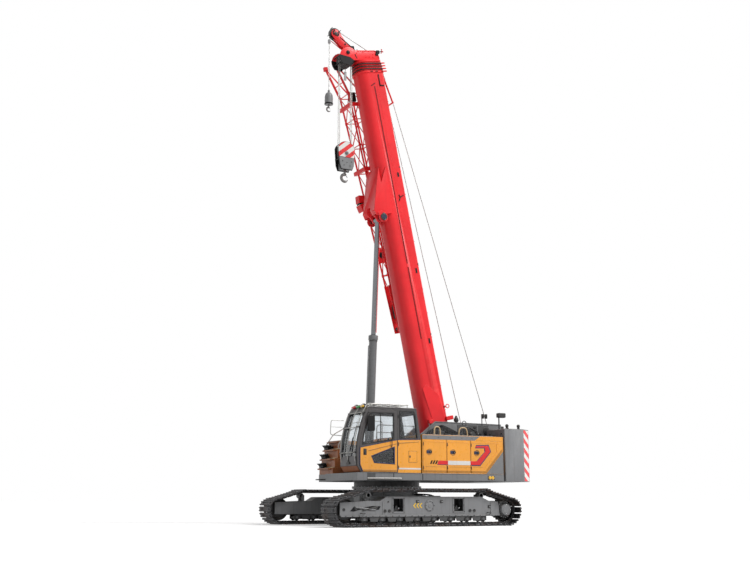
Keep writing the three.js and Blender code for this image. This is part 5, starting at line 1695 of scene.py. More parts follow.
def make_cab_outside():
    face = BODY_HALF
    shell = Shape(SLEW)
    rear = CAB_LOW.x
    orange = [(rear + 0.004, 1.458), (0.488, 1.458), (0.488, waist(0.488)), (rear + 0.004, waist(rear))]
    shell.prism(orange, "Y", face, face + 0.006, "body", 0)
    strip(
        shell, [(0.485, waist(0.485)), (rear + 0.012, waist(rear))], 0.026, face + 0.004, face + 0.01,
        "trim"
    )
    shell.prism([(rear + 0.01, 1.55), (0.485, 1.55), (0.485, 1.592), (rear + 0.01, 1.592)], "Y",
                face + 0.005, face + 0.009, "white", 0)
    # the same crease on the cab's side: painted shade
    strip(shell, [(0.44, 2.276), (-0.2, 2.33)], 0.022, face + 0.004, face + 0.013, "body_low")
    for z in (1.6, 2.25, 3.02):
        shell.rod(
            (0.466, face + 0.006, z - 0.05), (0.466, face + 0.006, z + 0.05), 0.013, "dark", 12, 0.003
        )
    flap = [(-0.125, 1.745), (0.14, 1.745), (0.14, 2.06), (-0.125, 2.06)]
    shell.rim(grown(flap, 0.006), flap, "Y", face + 0.002, face + 0.0075, "black")
    shell.prism(grown(flap, -0.012), "Y", face + 0.003, face + 0.012, "body", 0.004)
    shell.box((0.08, face + 0.01, 1.88), (0.12, face + 0.018, 1.94), "dark", 0.006)
    shell.rim(
        grown(REAR_WINDOW, 0.03), grown(REAR_WINDOW, -0.006), "Y", face - 0.03, face + 0.008, "rubber"
    )
    # brown lower front, the body orange painted as in shade, and the dark panel over it
    for low, high, finish in (
        ((1.655, 1.475), (1.765, 1.63), "steps"), ((1.769, 1.645), (1.778, 1.9), "cab")
    ):
        outline = [
            (low[0], low[1]), (low[0] + 0.012, low[1] - 0.006), (high[0] + 0.012, high[1]),
            (high[0], high[1])
        ]
        shell.prism(outline, "Y", CAB_INNER + 0.04, face - 0.04, finish, 0.003)
    # seals down both sides of the windscreen, and its sill
    for y in (CAB_INNER + 0.085, face - 0.085):
        shell.tube([(x - 0.004, y, z) for x, z in WINDSCREEN], 0.016, "rubber", 8)
    shell.tube([(1.725, CAB_INNER + 0.085, 1.752), (1.725, face - 0.085, 1.752)], 0.014, "rubber", 8)
    shell.tube([(1.5, CAB_INNER + 0.085, 3.1), (1.5, face - 0.085, 3.1)], 0.016, "rubber", 8)
    # rain gutter, roof ribs and the roof hatch's frame
    gutter = [
        (1.43, face + 0.004, 3.24), (1.38, face + 0.004, CAB_ROOF - 0.012),
        (-0.12, face + 0.004, CAB_ROOF - 0.012)
    ]
    shell.tube(gutter, 0.012, "cab", 8, 0.04)
    for y in (CAB_INNER + 0.06, CAB_INNER + 0.14, face - 0.14, face - 0.06):
        shell.box(
            (-0.05, y - 0.014, CAB_ROOF - 0.002), (1.36, y + 0.014, CAB_ROOF + 0.012), "cab", 0.005
        )
    hatch = [
        (0.35, CAB_INNER + 0.22), (1.15, CAB_INNER + 0.22), (1.15, face - 0.22), (0.35, face - 0.22)
    ]
    shell.rim(grown(hatch, 0.035), grown(hatch, -0.004), "Z", CAB_ROOF - 0.01, CAB_ROOF + 0.02, "rubber")
    rear_frame = [
        (CAB_INNER + 0.15, 2.45), (face - 0.15, 2.45), (face - 0.15, 3.1), (CAB_INNER + 0.15, 3.1)
    ]
    for (y, z), (b, c) in zip(rear_frame, rear_frame[1:] + rear_frame[:1]):
        shell.tube(
            [(-0.258 + (z - 2.4) * 0.164, y, z), (-0.258 + (c - 2.4) * 0.164, b, c)], 0.014, "rubber",
            8
        )
    shell.done("cab_trim", "superstructure", "cab_grey")

    panes = Shape(SLEW)
    panes.box(
        (0.352, CAB_INNER + 0.222, CAB_ROOF - 0.03), (1.148, face - 0.222, CAB_ROOF - 0.022), "glass",
        0.001
    )
    slanted = [(-0.246, 2.452), (-0.238, 2.452), (-0.132, 3.098), (-0.14, 3.098)]
    panes.prism(slanted, "Y", CAB_INNER + 0.152, face - 0.152, "glass", 0)
    panes.done("cab_rear_and_roof_glass", "superstructure", "glass")


def make_cab_guards():
    """Pale guard tubes on the roof and down the front, lamps, a hoop at the far corner and the wiper."""
    face = BODY_HALF
    shape = Shape(SLEW)
    ahead = [(x + 0.06, z) for x, z in WINDSCREEN]
    for y in (CAB_INNER + 0.1, CAB_MIDDLE, face - 0.1):
        line = [(x, y, z) for x, z in ahead] + [(1.4, y, CAB_ROOF + 0.09), (0.1, y, CAB_ROOF + 0.09)]
        shape.tube(line, 0.013, "tube", 8, 0.08)
        for x in (0.12, 0.7, 1.3):
            shape.tube([(x, y, CAB_ROOF), (x, y, CAB_ROOF + 0.09)], 0.011, "tube", 8)
    for x in (0.1, 0.4, 0.7, 1.0, 1.3):
        shape.tube(
            [(x, CAB_INNER + 0.08, CAB_ROOF + 0.09), (x, face - 0.08, CAB_ROOF + 0.09)], 0.011, "tube",
            8
        )
    for x, z in (ahead[1], ahead[3], ahead[5]):
        shape.tube([(x, CAB_INNER + 0.06, z), (x, face - 0.06, z)], 0.011, "tube", 8)
        for y in (CAB_INNER + 0.1, face - 0.1):
            shape.box((x - 0.05, y - 0.022, z - 0.022), (x + 0.018, y + 0.022, z + 0.022), "dark", 0.006)
    # the row of load lamps over the windscreen, and two working lamps
    for y, finish in ((0.72, "lamp_red"), (0.99, "lamp_green"), (1.25, "lamp_yellow")):
        shape.box((1.43, y - 0.09, 3.262), (1.5, y + 0.09, 3.325), finish, 0.02)
        shape.box((1.415, y - 0.1, 3.255), (1.435, y + 0.1, 3.33), "dark", 0.008)
    for y in (CAB_INNER + 0.2, CAB_MIDDLE + 0.12):
        shape.box((1.34, y - 0.07, CAB_ROOF + 0.02), (1.4, y + 0.07, CAB_ROOF + 0.11), "dark", 0.015)
        shape.box(
            (1.396, y - 0.055, CAB_ROOF + 0.032), (1.404, y + 0.055, CAB_ROOF + 0.098), "lens", 0.004
        )
    # wiper
    shape.box((1.775, CAB_MIDDLE - 0.1, 1.68), (1.81, CAB_MIDDLE + 0.1, 1.75), "dark", 0.01)
    shape.tube(
        [(1.8, CAB_MIDDLE, 1.72), (1.79, CAB_MIDDLE + 0.12, 2.1), (1.74, CAB_MIDDLE + 0.2, 2.42)],
        0.009, "dark", 8
    )
    shape.tube([(1.775, CAB_MIDDLE + 0.1, 2.05), (1.66, CAB_MIDDLE + 0.27, 2.74)], 0.011, "rubber", 8)
    # hoop in front of the far corner
    hoop = [
        (1.68, CAB_INNER + 0.02, 2.93), (2.08, CAB_INNER + 0.02, 2.93), (2.1, CAB_INNER + 0.02, 2.52)
    ]
    shape.tube(hoop + [(1.74, CAB_INNER + 0.02, 2.5)], 0.011, "tube", 8, 0.07)
    shape.tube([(1.72, CAB_INNER + 0.02, 2.74), (2.08, CAB_INNER + 0.02, 2.74)], 0.007, "tube", 8)
    shape.done("cab_guards", "superstructure", "cab_grey")
    mesh_guard = Shape()
    mesh_guard.tube([(0, -0.36, 0), (0, 0.36, 0)], 0.005, "tube", 5)
    along = [
        (
            SLEW @ Vector((0.2 + 0.1 * i, CAB_MIDDLE, CAB_ROOF + 0.095)), Euler((0, 0, 0))
        ) for i in range(12)
    ]
    repeat("roof_guard_rods", mesh_guard, along, "tube", "superstructure")


def cushion(name, low, high, crown, tuck, channels=0, lean=0.0, anchor=None):
    """A crowned foam pad: its top swells, its sides pull in between the corners, its seam is proud."""
    low, high = Vector(low), Vector(high)
    size, centre = high - low, (high + low) / 2
    bm = bmesh.new()
    bmesh.ops.create_cube(bm, size=1)
    bmesh.ops.subdivide_edges(bm, edges=bm.edges[:], cuts=15, use_grid_fill=True)
    for vert in bm.verts:
        x, y, z = vert.co * 2
        round_off = 1 - 0.05 * (abs(x) ** 6 + abs(y) ** 6) * abs(z) ** 2
        bulge = (1 - x * x) * (1 - y * y)
        side = 1 - tuck * (1 - x * x * y * y) * (0.35 + 0.65 * abs(z)) * (1 if abs(z) < 0.98 else 1.15)
        seam = 0.012 * math.exp(-((z - 0.55) / 0.07) ** 2)
        groove = 0.0
        if channels:
            groove = 0.018 * math.exp(-((((x * channels / 2) % 1) - 0.5) / 0.09) ** 2) * (z > 0.9)
        top = z * size.z / 2 + (crown * bulge if z > 0 else 0.0) * abs(z) - groove
        vert.co = Vector(
            (
                x * size.x / 2 * round_off * side * (1 + seam),
                y * size.y / 2 * round_off * side * (1 + seam), top
            )
        )
    turn = Matrix.Rotation(math.radians(lean), 4, "Y")
    bmesh.ops.transform(bm, matrix=SLEW @ Matrix.Translation(anchor or centre) @ turn, verts=bm.verts)
    bmesh.ops.recalc_face_normals(bm, faces=bm.faces)
    mesh = bpy.data.meshes.new(name)
    bm.to_mesh(mesh)
    bm.free()
    mesh.materials.append(finish_of("seat"))
    mesh.shade_smooth()
    pad = settle(link(name, mesh), "superstructure")
    return pad


def make_cab_inside():
    y = CAB_MIDDLE
    base = Shape(SLEW)
    base.box((0.22, y - 0.21, 1.9), (0.68, y + 0.21, 1.965), "plastic", 0.02)
    base.box((0.33, y - 0.15, CAB_DECK), (0.6, y + 0.15, 1.62), "plastic", 0.03)
    for i in range(5):
        low = 1.62 + 0.056 * i
        base.box(
            (0.31 + 0.01 * (i % 2), y - 0.17, low), (0.62 - 0.01 * (i % 2), y + 0.17, low + 0.05),
            "rubber", 0.02
        )
    base.prism(
        [(0.2, 2.0), (0.23, 2.0), (0.14, 2.6), (0.1, 2.6)], "Y", y - 0.2, y + 0.2, "plastic", 0.01
    )
    for side in (1, -1):
        base.box(
            (0.3, y + side * 0.3 - 0.05, 2.16), (0.72, y + side * 0.3 + 0.05, 2.24), "plastic", 0.025
        )
        base.tube([(0.66, y + side * 0.3, 2.24), (0.67, y + side * 0.3, 2.32)], 0.012, "rubber", 10)
        base.turned([(0, 0), (0.02, 0), (0.028, 0.04), (0.03, 0.09), (0.02, 0.12), (0, 0.125)],
                    (0.67, y + side * 0.3, 2.3), (0, 0, 1), "rubber", 16)
    seat = base.done("seat_frame", "superstructure", "seat_cloth")
    cushion("seat_cushion", (0.2, y - 0.235, 1.965), (0.69, y + 0.235, 2.06), 0.02, 0.05, 3)
    cushion("seat_back", (-0.3, y - 0.225, -0.045), (0.3, y + 0.225, 0.045), 0.02, 0.05, 4,
            -81.0, Vector((0.225, y, 2.36)))
    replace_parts(seat, "operator_seat")
    inside = Shape(SLEW)
    inside.box(
        (0.05, CAB_INNER + 0.07, CAB_DECK - 0.004), (1.6, BODY_HALF - 0.07, CAB_DECK + 0.012),
        "rubber", 0.004
    )
    inside.box((1.27, y + 0.02, 2.125), (1.33, y + 0.28, 2.33), "plastic", 0.012)
    inside.box((1.262, y + 0.035, 2.14), (1.272, y + 0.265, 2.315), "lens", 0.004)
    inside.turned(
        [(0, 0), (0.03, 0), (0.035, 0.02), (0.03, 0.04), (0, 0.05)], (1.3, y - 0.1, 2.12), (0, 0, 1),
        "plastic", 16
    )
    for k in range(3):
        x = 1.1
        inside.prism([(x, CAB_DECK + 0.01), (x + 0.12, CAB_DECK + 0.01), (x + 0.12, CAB_DECK + 0.12)], "Y",
                     y - 0.2 + 0.16 * k, y - 0.12 + 0.16 * k, "dark", 0.006)
    inside.done("cab_fittings", "superstructure", "cab_grey")


class CRANE_OT_cab(bpy.types.Operator):
    """Door panels, seals, glass, guards, mirrors, lamps, seat and controls."""

    bl_idname = "crane.cab"
    bl_label = "Cab"

    def execute(self, context):
        paint_node("cab_door", "cab")
        make_door()
        make_cab_outside()
        make_cab_guards()
        make_cab_inside()
        return {"FINISHED"}


# ------------------------------------------------------------------ housings
SEAMS = (-0.33, -1.132, -1.95, -3.07)
DOOR_PARTS = ("front", "middle", "rear")
LATCH_Z = 2.057


def latch(shape, x, z):
    face = BODY_HALF
    # darker orange ring round the latch: painted shade of its recess
    ring = [(0.07, 0.0), (0.088, 0.0), (0.092, 0.006), (0.086, 0.009), (0.074, 0.006), (0.07, 0.0)]
    shape.turned(ring, (x, face, z), (0, 1, 0), "body_low", 32)
    shape.turned(
        [(0, 0), (0.071, 0), (0.069, 0.003), (0, 0.003)], (x, face, z), (0, 1, 0), "body_low", 32
    )
    shape.box((x - 0.01, face + 0.001, z - 0.045), (x + 0.1, face + 0.009, z + 0.045), "trim", 0.014)
    shape.turned(
        [(0, 0), (0.044, 0), (0.042, 0.014), (0, 0.016)], (x - 0.03, face, z), (0, 1, 0), "black", 24
    )
    shape.box((x - 0.036, face + 0.014, z - 0.02), (x - 0.024, face + 0.02, z + 0.02), "steel", 0.002)


def side_stripe(shapes):
    """The stripe with its slashes, blank plate and chevron, split between the three doors."""
    face = BODY_HALF
    low, high = 1.707, 1.817
    front, middle, rear = shapes
    for i in range(3):
        x = -0.56 - 0.085 * i
        slash = [(x, low + 0.01), (x - 0.05, low + 0.01), (x - 0.1, high), (x - 0.05, high)]
        front.prism(slash[::-1], "Y", face, face + 0.003, "black", 0)
    for shape, start, end in ((front, -0.81, SEAMS[1] + 0.003), (middle, SEAMS[1] - 0.003, -1.166),
                              (middle, -1.933, SEAMS[2] + 0.003)):
        lean = 0.04 if shape is front else 0.0
        outline = [(start, low), (end, low), (end, high), (start - lean, high)]
        backing = [(start + 0.012, low - 0.016), (end, low - 0.016), (end, high), (start - lean, high)]
        shape.prism(backing[::-1], "Y", face, face + 0.002, "blue", 0)
        shape.prism(outline[::-1], "Y", face, face + 0.0035, "stripe", 0)
    middle.prism([(-1.933, low - 0.008), (-1.166, low - 0.008), (-1.166, high), (-1.933, high)], "Y", face,
                 face + 0.004, "white", 0)
    chevron = [
        (SEAMS[2] - 0.003, low),
        (SEAMS[2] - 0.003, high),
        (-2.16, high),
        (-2.46, 2.1),
        (-2.435, 2.216),
        (-2.12, 2.21),
        (-2.152, 2.257),
        (-2.562, 2.274),
        (-2.633, 2.10),
        (-2.26, low),
    ]
    around = [
        (SEAMS[2] - 0.003, low - 0.03),
        (SEAMS[2] - 0.003, high),
        (-2.145, high),
        (-2.43, 2.094),
        (-2.41, 2.193),
        (-2.1, 2.188),
        (-2.145, 2.285),
        (-2.58, 2.303),
        (-2.668, 2.1),
        (-2.275, low - 0.03),
    ]
    rear.prism(around, "Y", face, face + 0.002, "blue", 0)
    rear.prism(chevron, "Y", face, face + 0.0035, "stripe", 0)


def make_service_doors(side, place):
    face = BODY_HALF
    shapes = [Shape(place) for _ in DOOR_PARTS]
    side_stripe(shapes)
    for i, shape in enumerate(shapes):
        front, rear = SEAMS[i] - 0.006, SEAMS[i + 1] + 0.006
        latch(shape, front - 0.21, LATCH_Z)
        # darker orange lower lip: painted shade
        low = [(rear, 1.476), (front, 1.476), (front, 1.54), (rear, 1.54)]
        if i == 2:
            low = [(-2.485, 1.476), (front, 1.476), (front, 1.54), (-2.545, 1.54)]
        shape.prism(low[::-1], "Y", face, face + 0.003, "body_low", 0)
        # darker orange strips at the door's edges: painted shade of the seams
        for x in (front - 0.012, rear):
            if i < 2 or x > rear:
                shape.box((x, face - 0.002, 1.476), (x + 0.012, face + 0.003, 2.404), "body_low", 0.001)
        # darker orange crease line: painted shade
        strip(
            shape, [(front, 1.64), (max(rear, -2.36), 1.64)], 0.01, face - 0.001, face + 0.003,
            "body_low"
        )
        strip(
            shape, [(front - 0.05, 2.345), (max(rear + 0.05, -2.95), 2.345)], 0.016, face - 0.002,
            face + 0.006, "body"
        )
        for z in (1.62, 2.28):
            shape.rod(
                (front - 0.01, face + 0.008, z - 0.045), (front - 0.01, face + 0.008, z + 0.045),
                0.011, "dark", 10, 0.003
            )
            shape.box(
                (front - 0.07, face - 0.002, z - 0.035), (front - 0.015, face + 0.006, z + 0.035),
                "body", 0.003
            )
        if i == 2:
            strip(
                shape, [(-2.42, 1.6), (-2.87, 2.09), (-2.87, 2.33)], 0.02, face - 0.002, face + 0.008,
                "body"
            )
            # darker orange slanting edge of the rear door: painted shade
            edge = [(-2.49, 1.478), (-3.06, 2.1), (-3.06, 2.18), (-3.01, 2.14), (-2.42, 1.5)]
            shape.prism(edge, "Y", face, face + 0.004, "body_low", 0)
        part = DOOR_PARTS[i]
        shape.done(f"{side}_{part}_door_trim", f"{side}_{part}_door", "body_orange")
        if side == "right" and i > 0:
            louvre = Shape()
            half = (front - rear) / 2 - 0.2 if i == 1 else 0.25
            outline = [(-0.014, 0), (0.014, 0), (0.004, 0.016), (-0.014, 0.01)]
            louvre.prism([(b, a) for a, b in outline], "X", -half, half, "dark", 0)
            middle = (front + rear) / 2 if i == 1 else -2.35
            rows = [
                (
                    place @ Vector((middle, face + 0.001, 1.93 + 0.038 * k)), Euler((0, 0, math.pi))
                ) for k in range(9)
            ]
            repeat(f"{side}_{part}_louvres", louvre, rows, "dark", f"{side}_{part}_door")


def make_housing(side, place):
    face = BODY_HALF
    high = HOUSING_HIGH
    shape = Shape(place)
    band = [(high.x, 2.414), (-2.096, 2.414), (-2.279, 2.53), (high.x, 2.53)]
    shape.prism(band[::-1], "Y", face, face + 0.004, "frame", 0)
    triangle = [(-2.487, 1.46), (-3.09, 1.46), (-3.09, 2.112)]
    shape.prism(triangle, "Y", face - 0.001, face + 0.004, "frame", 0)
    shape.box((-3.09, 0.52, high.z - 0.002), (high.x, face - 0.01, high.z + 0.006), "frame", 0.003)
    # lids, vents and fillers on top
    for x, width in ((-0.75, 0.7), (-1.6, 0.7), (-2.45, 0.8)):
        shape.box(
            (x - width / 2, 0.72, high.z + 0.004), (x + width / 2, 1.42, high.z + 0.024), "frame",
            0.008
        )
        for dx in (-width / 3, width / 3):
            shape.rod(
                (x + dx - 0.04, 0.72, high.z + 0.022), (x + dx + 0.04, 0.72, high.z + 0.022), 0.012,
                "dark", 10
            )
        shape.box((x - 0.06, 1.38, high.z + 0.02), (x + 0.06, 1.41, high.z + 0.04), "dark", 0.006)
    shape.done(f"{side}_housing_trim", "superstructure", "frame_grey")
    top = Shape()
    top.box((-0.3, -0.012, 0), (0.3, 0.012, 0.012), "dark", 0.003)
    rows = [
        (place @ Vector((-1.6, 0.84 + 0.045 * k, high.z + 0.023)), Euler((0, 0, 0))) for k in range(11)
    ]
    repeat(f"{side}_top_slats", top, rows, "dark", "superstructure")
    heads = [((x, 0.6, high.z + 0.005), (0, 0, 1)) for x in [-0.4 - 0.3 * i for i in range(9)]]
    heads += [((x, face + 0.003, 2.47), (0, 1, 0)) for x in (-0.45, -0.85, -1.25, -1.65, -2.0)]
    bolts(f"{side}_housing_bolts", placed(place, heads), "superstructure", "dark", 0.022)


class CRANE_OT_housings(bpy.types.Operator):
    """Side housings: doors with stripes and latches, bands, lids, louvres and the exhaust."""

    bl_idname = "crane.housings"
    bl_label = "Housings"

    def execute(self, context):
        for side, mirror in SIDES:
            make_service_doors(side, SLEW @ mirror)
            make_housing(side, SLEW @ mirror)
        stack = Shape(SLEW)
        pipe = [
            (0, 0), (0.075, 0), (0.075, 0.26), (0.085, 0.27), (0.085, 0.3), (0.07, 0.3), (0.065, 0.2),
            (0, 0.2)
        ]
        stack.turned(pipe, (-2.75, -0.9, 2.54), (0, 0, 1), "dark", 28)
        stack.rod((-2.75, -0.9, 2.54), (-2.75, -0.9, 2.57), 0.13, "frame", 28, 0.008)
        stack.turned([(0, 0), (0.1, 0), (0.1, 0.16), (0.12, 0.18), (0.12, 0.24), (0.06, 0.28), (0, 0.285)],
                     (-2.1, -0.95, 2.56), (0, 0, 1), "plastic", 28)
        stack.done("exhaust_and_intake", "superstructure", "black_steel")
        return {"FINISHED"}


# ------------------------------------------------------------------ steps and tank
STEP_FRONTS = ((1.46, 1.65), (1.39, 1.92), (1.3, 2.19), (1.16, 2.44))


class CRANE_OT_steps(bpy.types.Operator):
    """Toothed treads, handrails, the tank's cap and straps."""

    bl_idname = "crane.steps"
    bl_label = "Steps and tank"

    def execute(self, context):
        outer, inner = -1.43, -0.72
        shape = Shape(SLEW)
        teeth = []
        for front, top in STEP_FRONTS:
            shape.box(
                (front - 0.04, outer - 0.012, top - 0.06), (front + 0.112, inner + 0.012, top - 0.02),
                "steps", 0.006
            )
            # tread tops in pale beige: painted highlight of the lit tops
            shape.box(
                (front - 0.2, outer - 0.1, top - 0.03), (front + 0.006, inner + 0.1, top + 0.012),
                "beige", 0.02
            )
            for i in range(11):
                for k in range(3):
                    point = Vector((front - 0.02 + 0.05 * k, outer + 0.05 + 0.062 * i, top - 0.02))
                    teeth.append((SLEW @ point, Euler((0, 0, 0.4 * i))))
            if top < 2.4:
                ear = [
                    (front - 0.13, top - 0.02), (front - 0.05, top - 0.02),
                    (front + 0.12, top + 0.13), (front + 0.02, top + 0.1),
                    (front - 0.03, top + 0.15), (front - 0.06, top + 0.08),
                    (front - 0.13, top + 0.1)
                ]
                for y in (outer - 0.03, outer + 0.06, outer + 0.15, outer + 0.24):
                    shape.prism(ear, "Y", y - 0.02, y + 0.02, "black", 0)
                shape.box(
                    (front - 0.12, outer - 0.03, top), (front + 0.05, outer + 0.24, top + 0.06),
                    "black", 0.01
                )
            shape.box(
                (front - 0.002, -1.3, top - 0.2), (front + 0.006, -0.85, top - 0.09), "steps", 0.003
            )
        shape.done("step_treads", "superstructure", "body_orange")
        tooth = Shape()
        tooth.turned(
            [(0, 0), (0.014, 0), (0.006, 0.016), (0.0, 0.017)], (0, 0, 0), (0, 0, 1), "black", 6, False
        )
        repeat("tread_teeth", tooth, teeth, "black", "superstructure", 0.15)
        rails = Shape(SLEW)
        rails.tube(
            [(1.47, -1.2, 1.3), (1.74, -1.2, 1.3), (1.74, -0.9, 1.3), (1.47, -0.9, 1.3)], 0.016,
            "dark", 8, 0.05
        )
        for y in (-1.49, -0.64):
            points = [
                (1.2, y, 1.98), (1.28, y, 2.3), (1.02, y, 2.66), (0.3, y, 3.05), (-0.2, y, 3.05),
                (-0.2, y, 2.44)
            ]
            rails.tube(points, 0.016, "tube", 8, 0.08)
        # tank cap, sight glass and straps
        rails.turned([(0, 0), (0.08, 0), (0.085, 0.01), (0.085, 0.035), (0.075, 0.045), (0, 0.045)],
                     (0.5, -1.1, 2.42), (0, 0, 1), "dark", 28)
        rails.box((0.78, -1.556, 1.65), (0.81, -1.548, 2.2), "lens", 0.004)
        for x in (-0.05, 0.62):
            rails.box((x - 0.03, -1.558, 1.46), (x + 0.03, -1.548, 2.424), "frame_dark", 0.003)
            rails.box((x - 0.03, -1.556, 2.418), (x + 0.03, -0.5, 2.43), "frame_dark", 0.003)
        rails.done("step_rails", "superstructure", "body_orange")
        return {"FINISHED"}


# ------------------------------------------------------------------ boom
SECTIONS = 5
HEAD_SHEAVE = (11.9, -0.85)
REAR_SHEAVE = (11.99, 0.14)
TIP_SHEAVE = (12.74, -1.06)
BRACKET_PIN = (6.78, -0.74)


def section_body(k):
    return "boom_base" if k == 1 else "boom_tip" if k == SECTIONS else f"boom_section_{k}"


def section_outline(inset, steps=12):
    """A section across the boom: flat back with small shoulders, wide round lower corners."""
    half, top, bottom = BOOM_HALF - inset, BOOM_TOP - inset, BOOM_BOTTOM + inset
    corner, shoulder = 0.26 - inset, 0.045
    line = arc(half - shoulder, top - shoulder, shoulder, 0, 90, 4)
    line += arc(-half + shoulder, top - shoulder, shoulder, 90, 180, 4)
    line += arc(-half + corner, bottom + corner, corner, 180, 270, steps)
    return line + arc(half - corner, bottom + corner, corner, 270, 360, steps)


def make_collars():
    """Black bands behind every collar, a dark joint widened with painted shade, with the red lugs on their
    back corners.
    """
    for k in range(1, SECTIONS):
        shape = Shape(BOOM)
        inset = 0.027 * (k - 1)
        end = BASE_END + COLLAR_PITCH * (k - 1)
        ring = 0.022 - 0.006 * (k - 1)
        outline = section_outline(-ring)
        if k > 1:
            shape.rim(
                grown(outline, 0.004), grown(outline, -0.02), "X", end - 0.054, end - 0.012, "black",
                True
            )
        inner = section_outline(inset + 0.006)
        shape.rim(inner, grown(inner, -0.018), "X", end - 0.02, end + 0.012, "plastic", True)
        half, top = BOOM_HALF + ring, BOOM_TOP + ring
        for side in (1, -1):
            for across in (0.1, 0.24):
                y = side * across
                shape.box(
                    (end - 0.045, y - 0.04, top - 0.006), (end - 0.015, y + 0.04, top + 0.03), "boom",
                    0.006
                )
                shape.bolt((end - 0.03, y, top + 0.03), (0, 0, 1), 0.024, "dark")
            tab = [
                (end - 0.05, top - 0.11), (end - 0.008, top - 0.11), (end - 0.004, top + 0.09),
                (end - 0.04, top + 0.11), (end - 0.05, top + 0.02)
            ]
            shape.prism(
                tab, "Y", side * (half - 0.012) - 0.008, side * (half - 0.012) + 0.012, "boom", 0.004
            )
            for n in (-0.02, -0.2):
                shape.box((end - 0.044, side * (half + 0.002) - 0.008, n - 0.05),
                          (end - 0.016, side * (half + 0.002) + 0.008, n + 0.05), "black", 0.005)
        shape.done(f"collar_{k}_bands", section_body(k), "boom_red")


def make_tip_band():
    shape = Shape(BOOM)
    outline = grown(section_outline(0.027 * (SECTIONS - 1)), 0.006)
    end = BASE_END + COLLAR_PITCH * (SECTIONS - 1)
    # black band behind the tip's collar: a dark joint widened with painted shade
    shape.rim(outline, grown(outline, -0.03), "X", end - 0.05, end - 0.008, "black", True)
    for y in (-0.2, 0.2):
        shape.box((end - 0.04, y - 0.03, 0.11), (end - 0.01, y + 0.03, 0.2), "boom", 0.006)
    shape.done("tip_collar_band", "boom_tip", "boom_red")


def make_base_details():
    shape = Shape(BOOM)
    # the weld seam where the two half shells meet, and over its lower stretch a dark red strip that stands
    # for the groove there, its shade painted on
    for side in (1, -1):
        face = side * BOOM_HALF
        low, high = sorted((face - side * 0.004, face + side * 0.0035))
        shape.box((0.35, low, -0.074), (BASE_END - 0.07, high, -0.062), "boom", 0.003)
        low, high = sorted((face - side * 0.003, face + side * 0.002))
        for start, end in ((2.94, 5.17), (5.28, 10.93)):
            shape.box((start, low, -0.202), (end, high, -0.16), "boom_dark", 0.001)
        # openings: black plates on the face, painted shade of their insides
        for along, n in ((8.12, 0.074), (5.04, 0.088), (2.85, 0.09)):
            if along > 8:
                outline = arc(along, n, 0.032, -90, 90, 8) + arc(along - 0.09, n, 0.032, 90, 270, 8)
            else:
                outline = [
                    (along - 0.09, n - 0.03), (along + 0.07, n - 0.03), (along + 0.07, n + 0.03),
                    (along - 0.09, n + 0.03)
                ]
            shape.rim(
                grown(outline, 0.016), outline, "Y",
                *sorted((face - side * 0.002, face + side * 0.005)), "boom"
            )
            shape.prism(outline, "Y", *sorted((face - side * 0.002, face + side * 0.0025)), "black", 0)
            shape.rod(
                (along + 0.19, face, n + 0.1), (along + 0.19, face + side * 0.012, n + 0.1), 0.02,
                "dark", 16, 0.003
            )
        # bracket of the hose clamps: a forked one and an angled one
        for a, b, c, d in ((7.24, -0.06, 7.36, 0.0), (7.36, 0.0, 7.44, -0.04), (7.36, 0.0, 7.41, 0.12)):
            shape.tube([(a, face + side * 0.012, b), (c, face + side * 0.012, d)], 0.013, "black", 8)
        angled = [(11.3, 0.02), (10.95, 0.02), (10.95, 0.15)]
        for (a, b), (c, d) in zip(angled, angled[1:]):
            low, high = sorted((face - side * 0.002, face + side * 0.022))
            shape.box(
                (min(a, c) - 0.016, low, min(b, d) - 0.016),
                (max(a, c) + 0.016, high, max(b, d) + 0.016), "black", 0.005
            )
        low, high = sorted((face - side * 0.002, face + side * 0.014))
        turn = Matrix.Rotation(math.radians(-61), 3, "Y")
        shape.box((10.9, low, -0.235), (11.08, high, -0.21), "black", 0.004, turn)
        # foot gusset and its rib, the pad round the pivot pin
        foot = [(-0.28, -0.2), (1.45, -0.46), (1.55, -0.3), (1.2, 0.06), (0.2, 0.16), (-0.25, 0.1)]
        shape.prism(foot, "Y", *sorted((face - side * 0.004, face + side * 0.01)), "boom", 0.004)
        shape.turned([(0, 0), (0.19, 0), (0.19, 0.03), (0.17, 0.04), (0.1, 0.04), (0.1, 0.05), (0, 0.05)],
                     (0, face - side * 0.02, 0), (0, side, 0), "boom", 40)
        for i in range(6):
            place = Matrix.Rotation(math.radians(60 * i), 3, "Y") @ Vector((0.14, 0, 0))
            shape.bolt((place.x, face + side * 0.02, place.z), (0, side, 0), 0.03, "dark")
    # lifting ring on the back near the foot, and the gauge's foot on the near side
    ring = [(0.8 + a, BOOM_HALF - 0.06, 0.34 + b) for a, b in arc(0, 0, 0.055, 0, 360, 20)]
    shape.tube(ring, 0.013, "boom", 8)
    shape.box(
        (0.77, BOOM_HALF - 0.08, BOOM_TOP - 0.01), (0.83, BOOM_HALF - 0.04, BOOM_TOP + 0.06), "boom",
        0.006
    )
    shape.box((0.78, BOOM_HALF - 0.004, 0.16), (0.83, BOOM_HALF + 0.014, 0.21), "dark", 0.006)
    for side in (1, -1):
        for low, high in ((-0.47, -0.33), (0.15, 0.4)):
            near, far = sorted((side * 0.3, side * 0.42))
            shape.box((0.38, near, low), (0.5, far, high), "boom", 0.01)
    # back: hose run, clips and walkway studs
    shape.tube([(0.5, 0.22, BOOM_TOP + 0.014), (11.2, 0.22, BOOM_TOP + 0.014)], 0.011, "hose", 8)
    shape.tube([(0.5, 0.25, BOOM_TOP + 0.014), (11.0, 0.25, BOOM_TOP + 0.014)], 0.009, "hose", 8)
    clips = Shape()
    clips.box((-0.015, -0.045, -0.004), (0.015, 0.045, 0.03), "dark", 0.004)
    turn = BOOM.to_euler()
    places = [(BOOM @ Vector((0.7 + 0.75 * i, 0.235, BOOM_TOP)), turn) for i in range(14)]
    repeat("boom_hose_clips", clips, places, "dark", "boom_base")
    shape.done("boom_base_details", "boom_base", "boom_red")


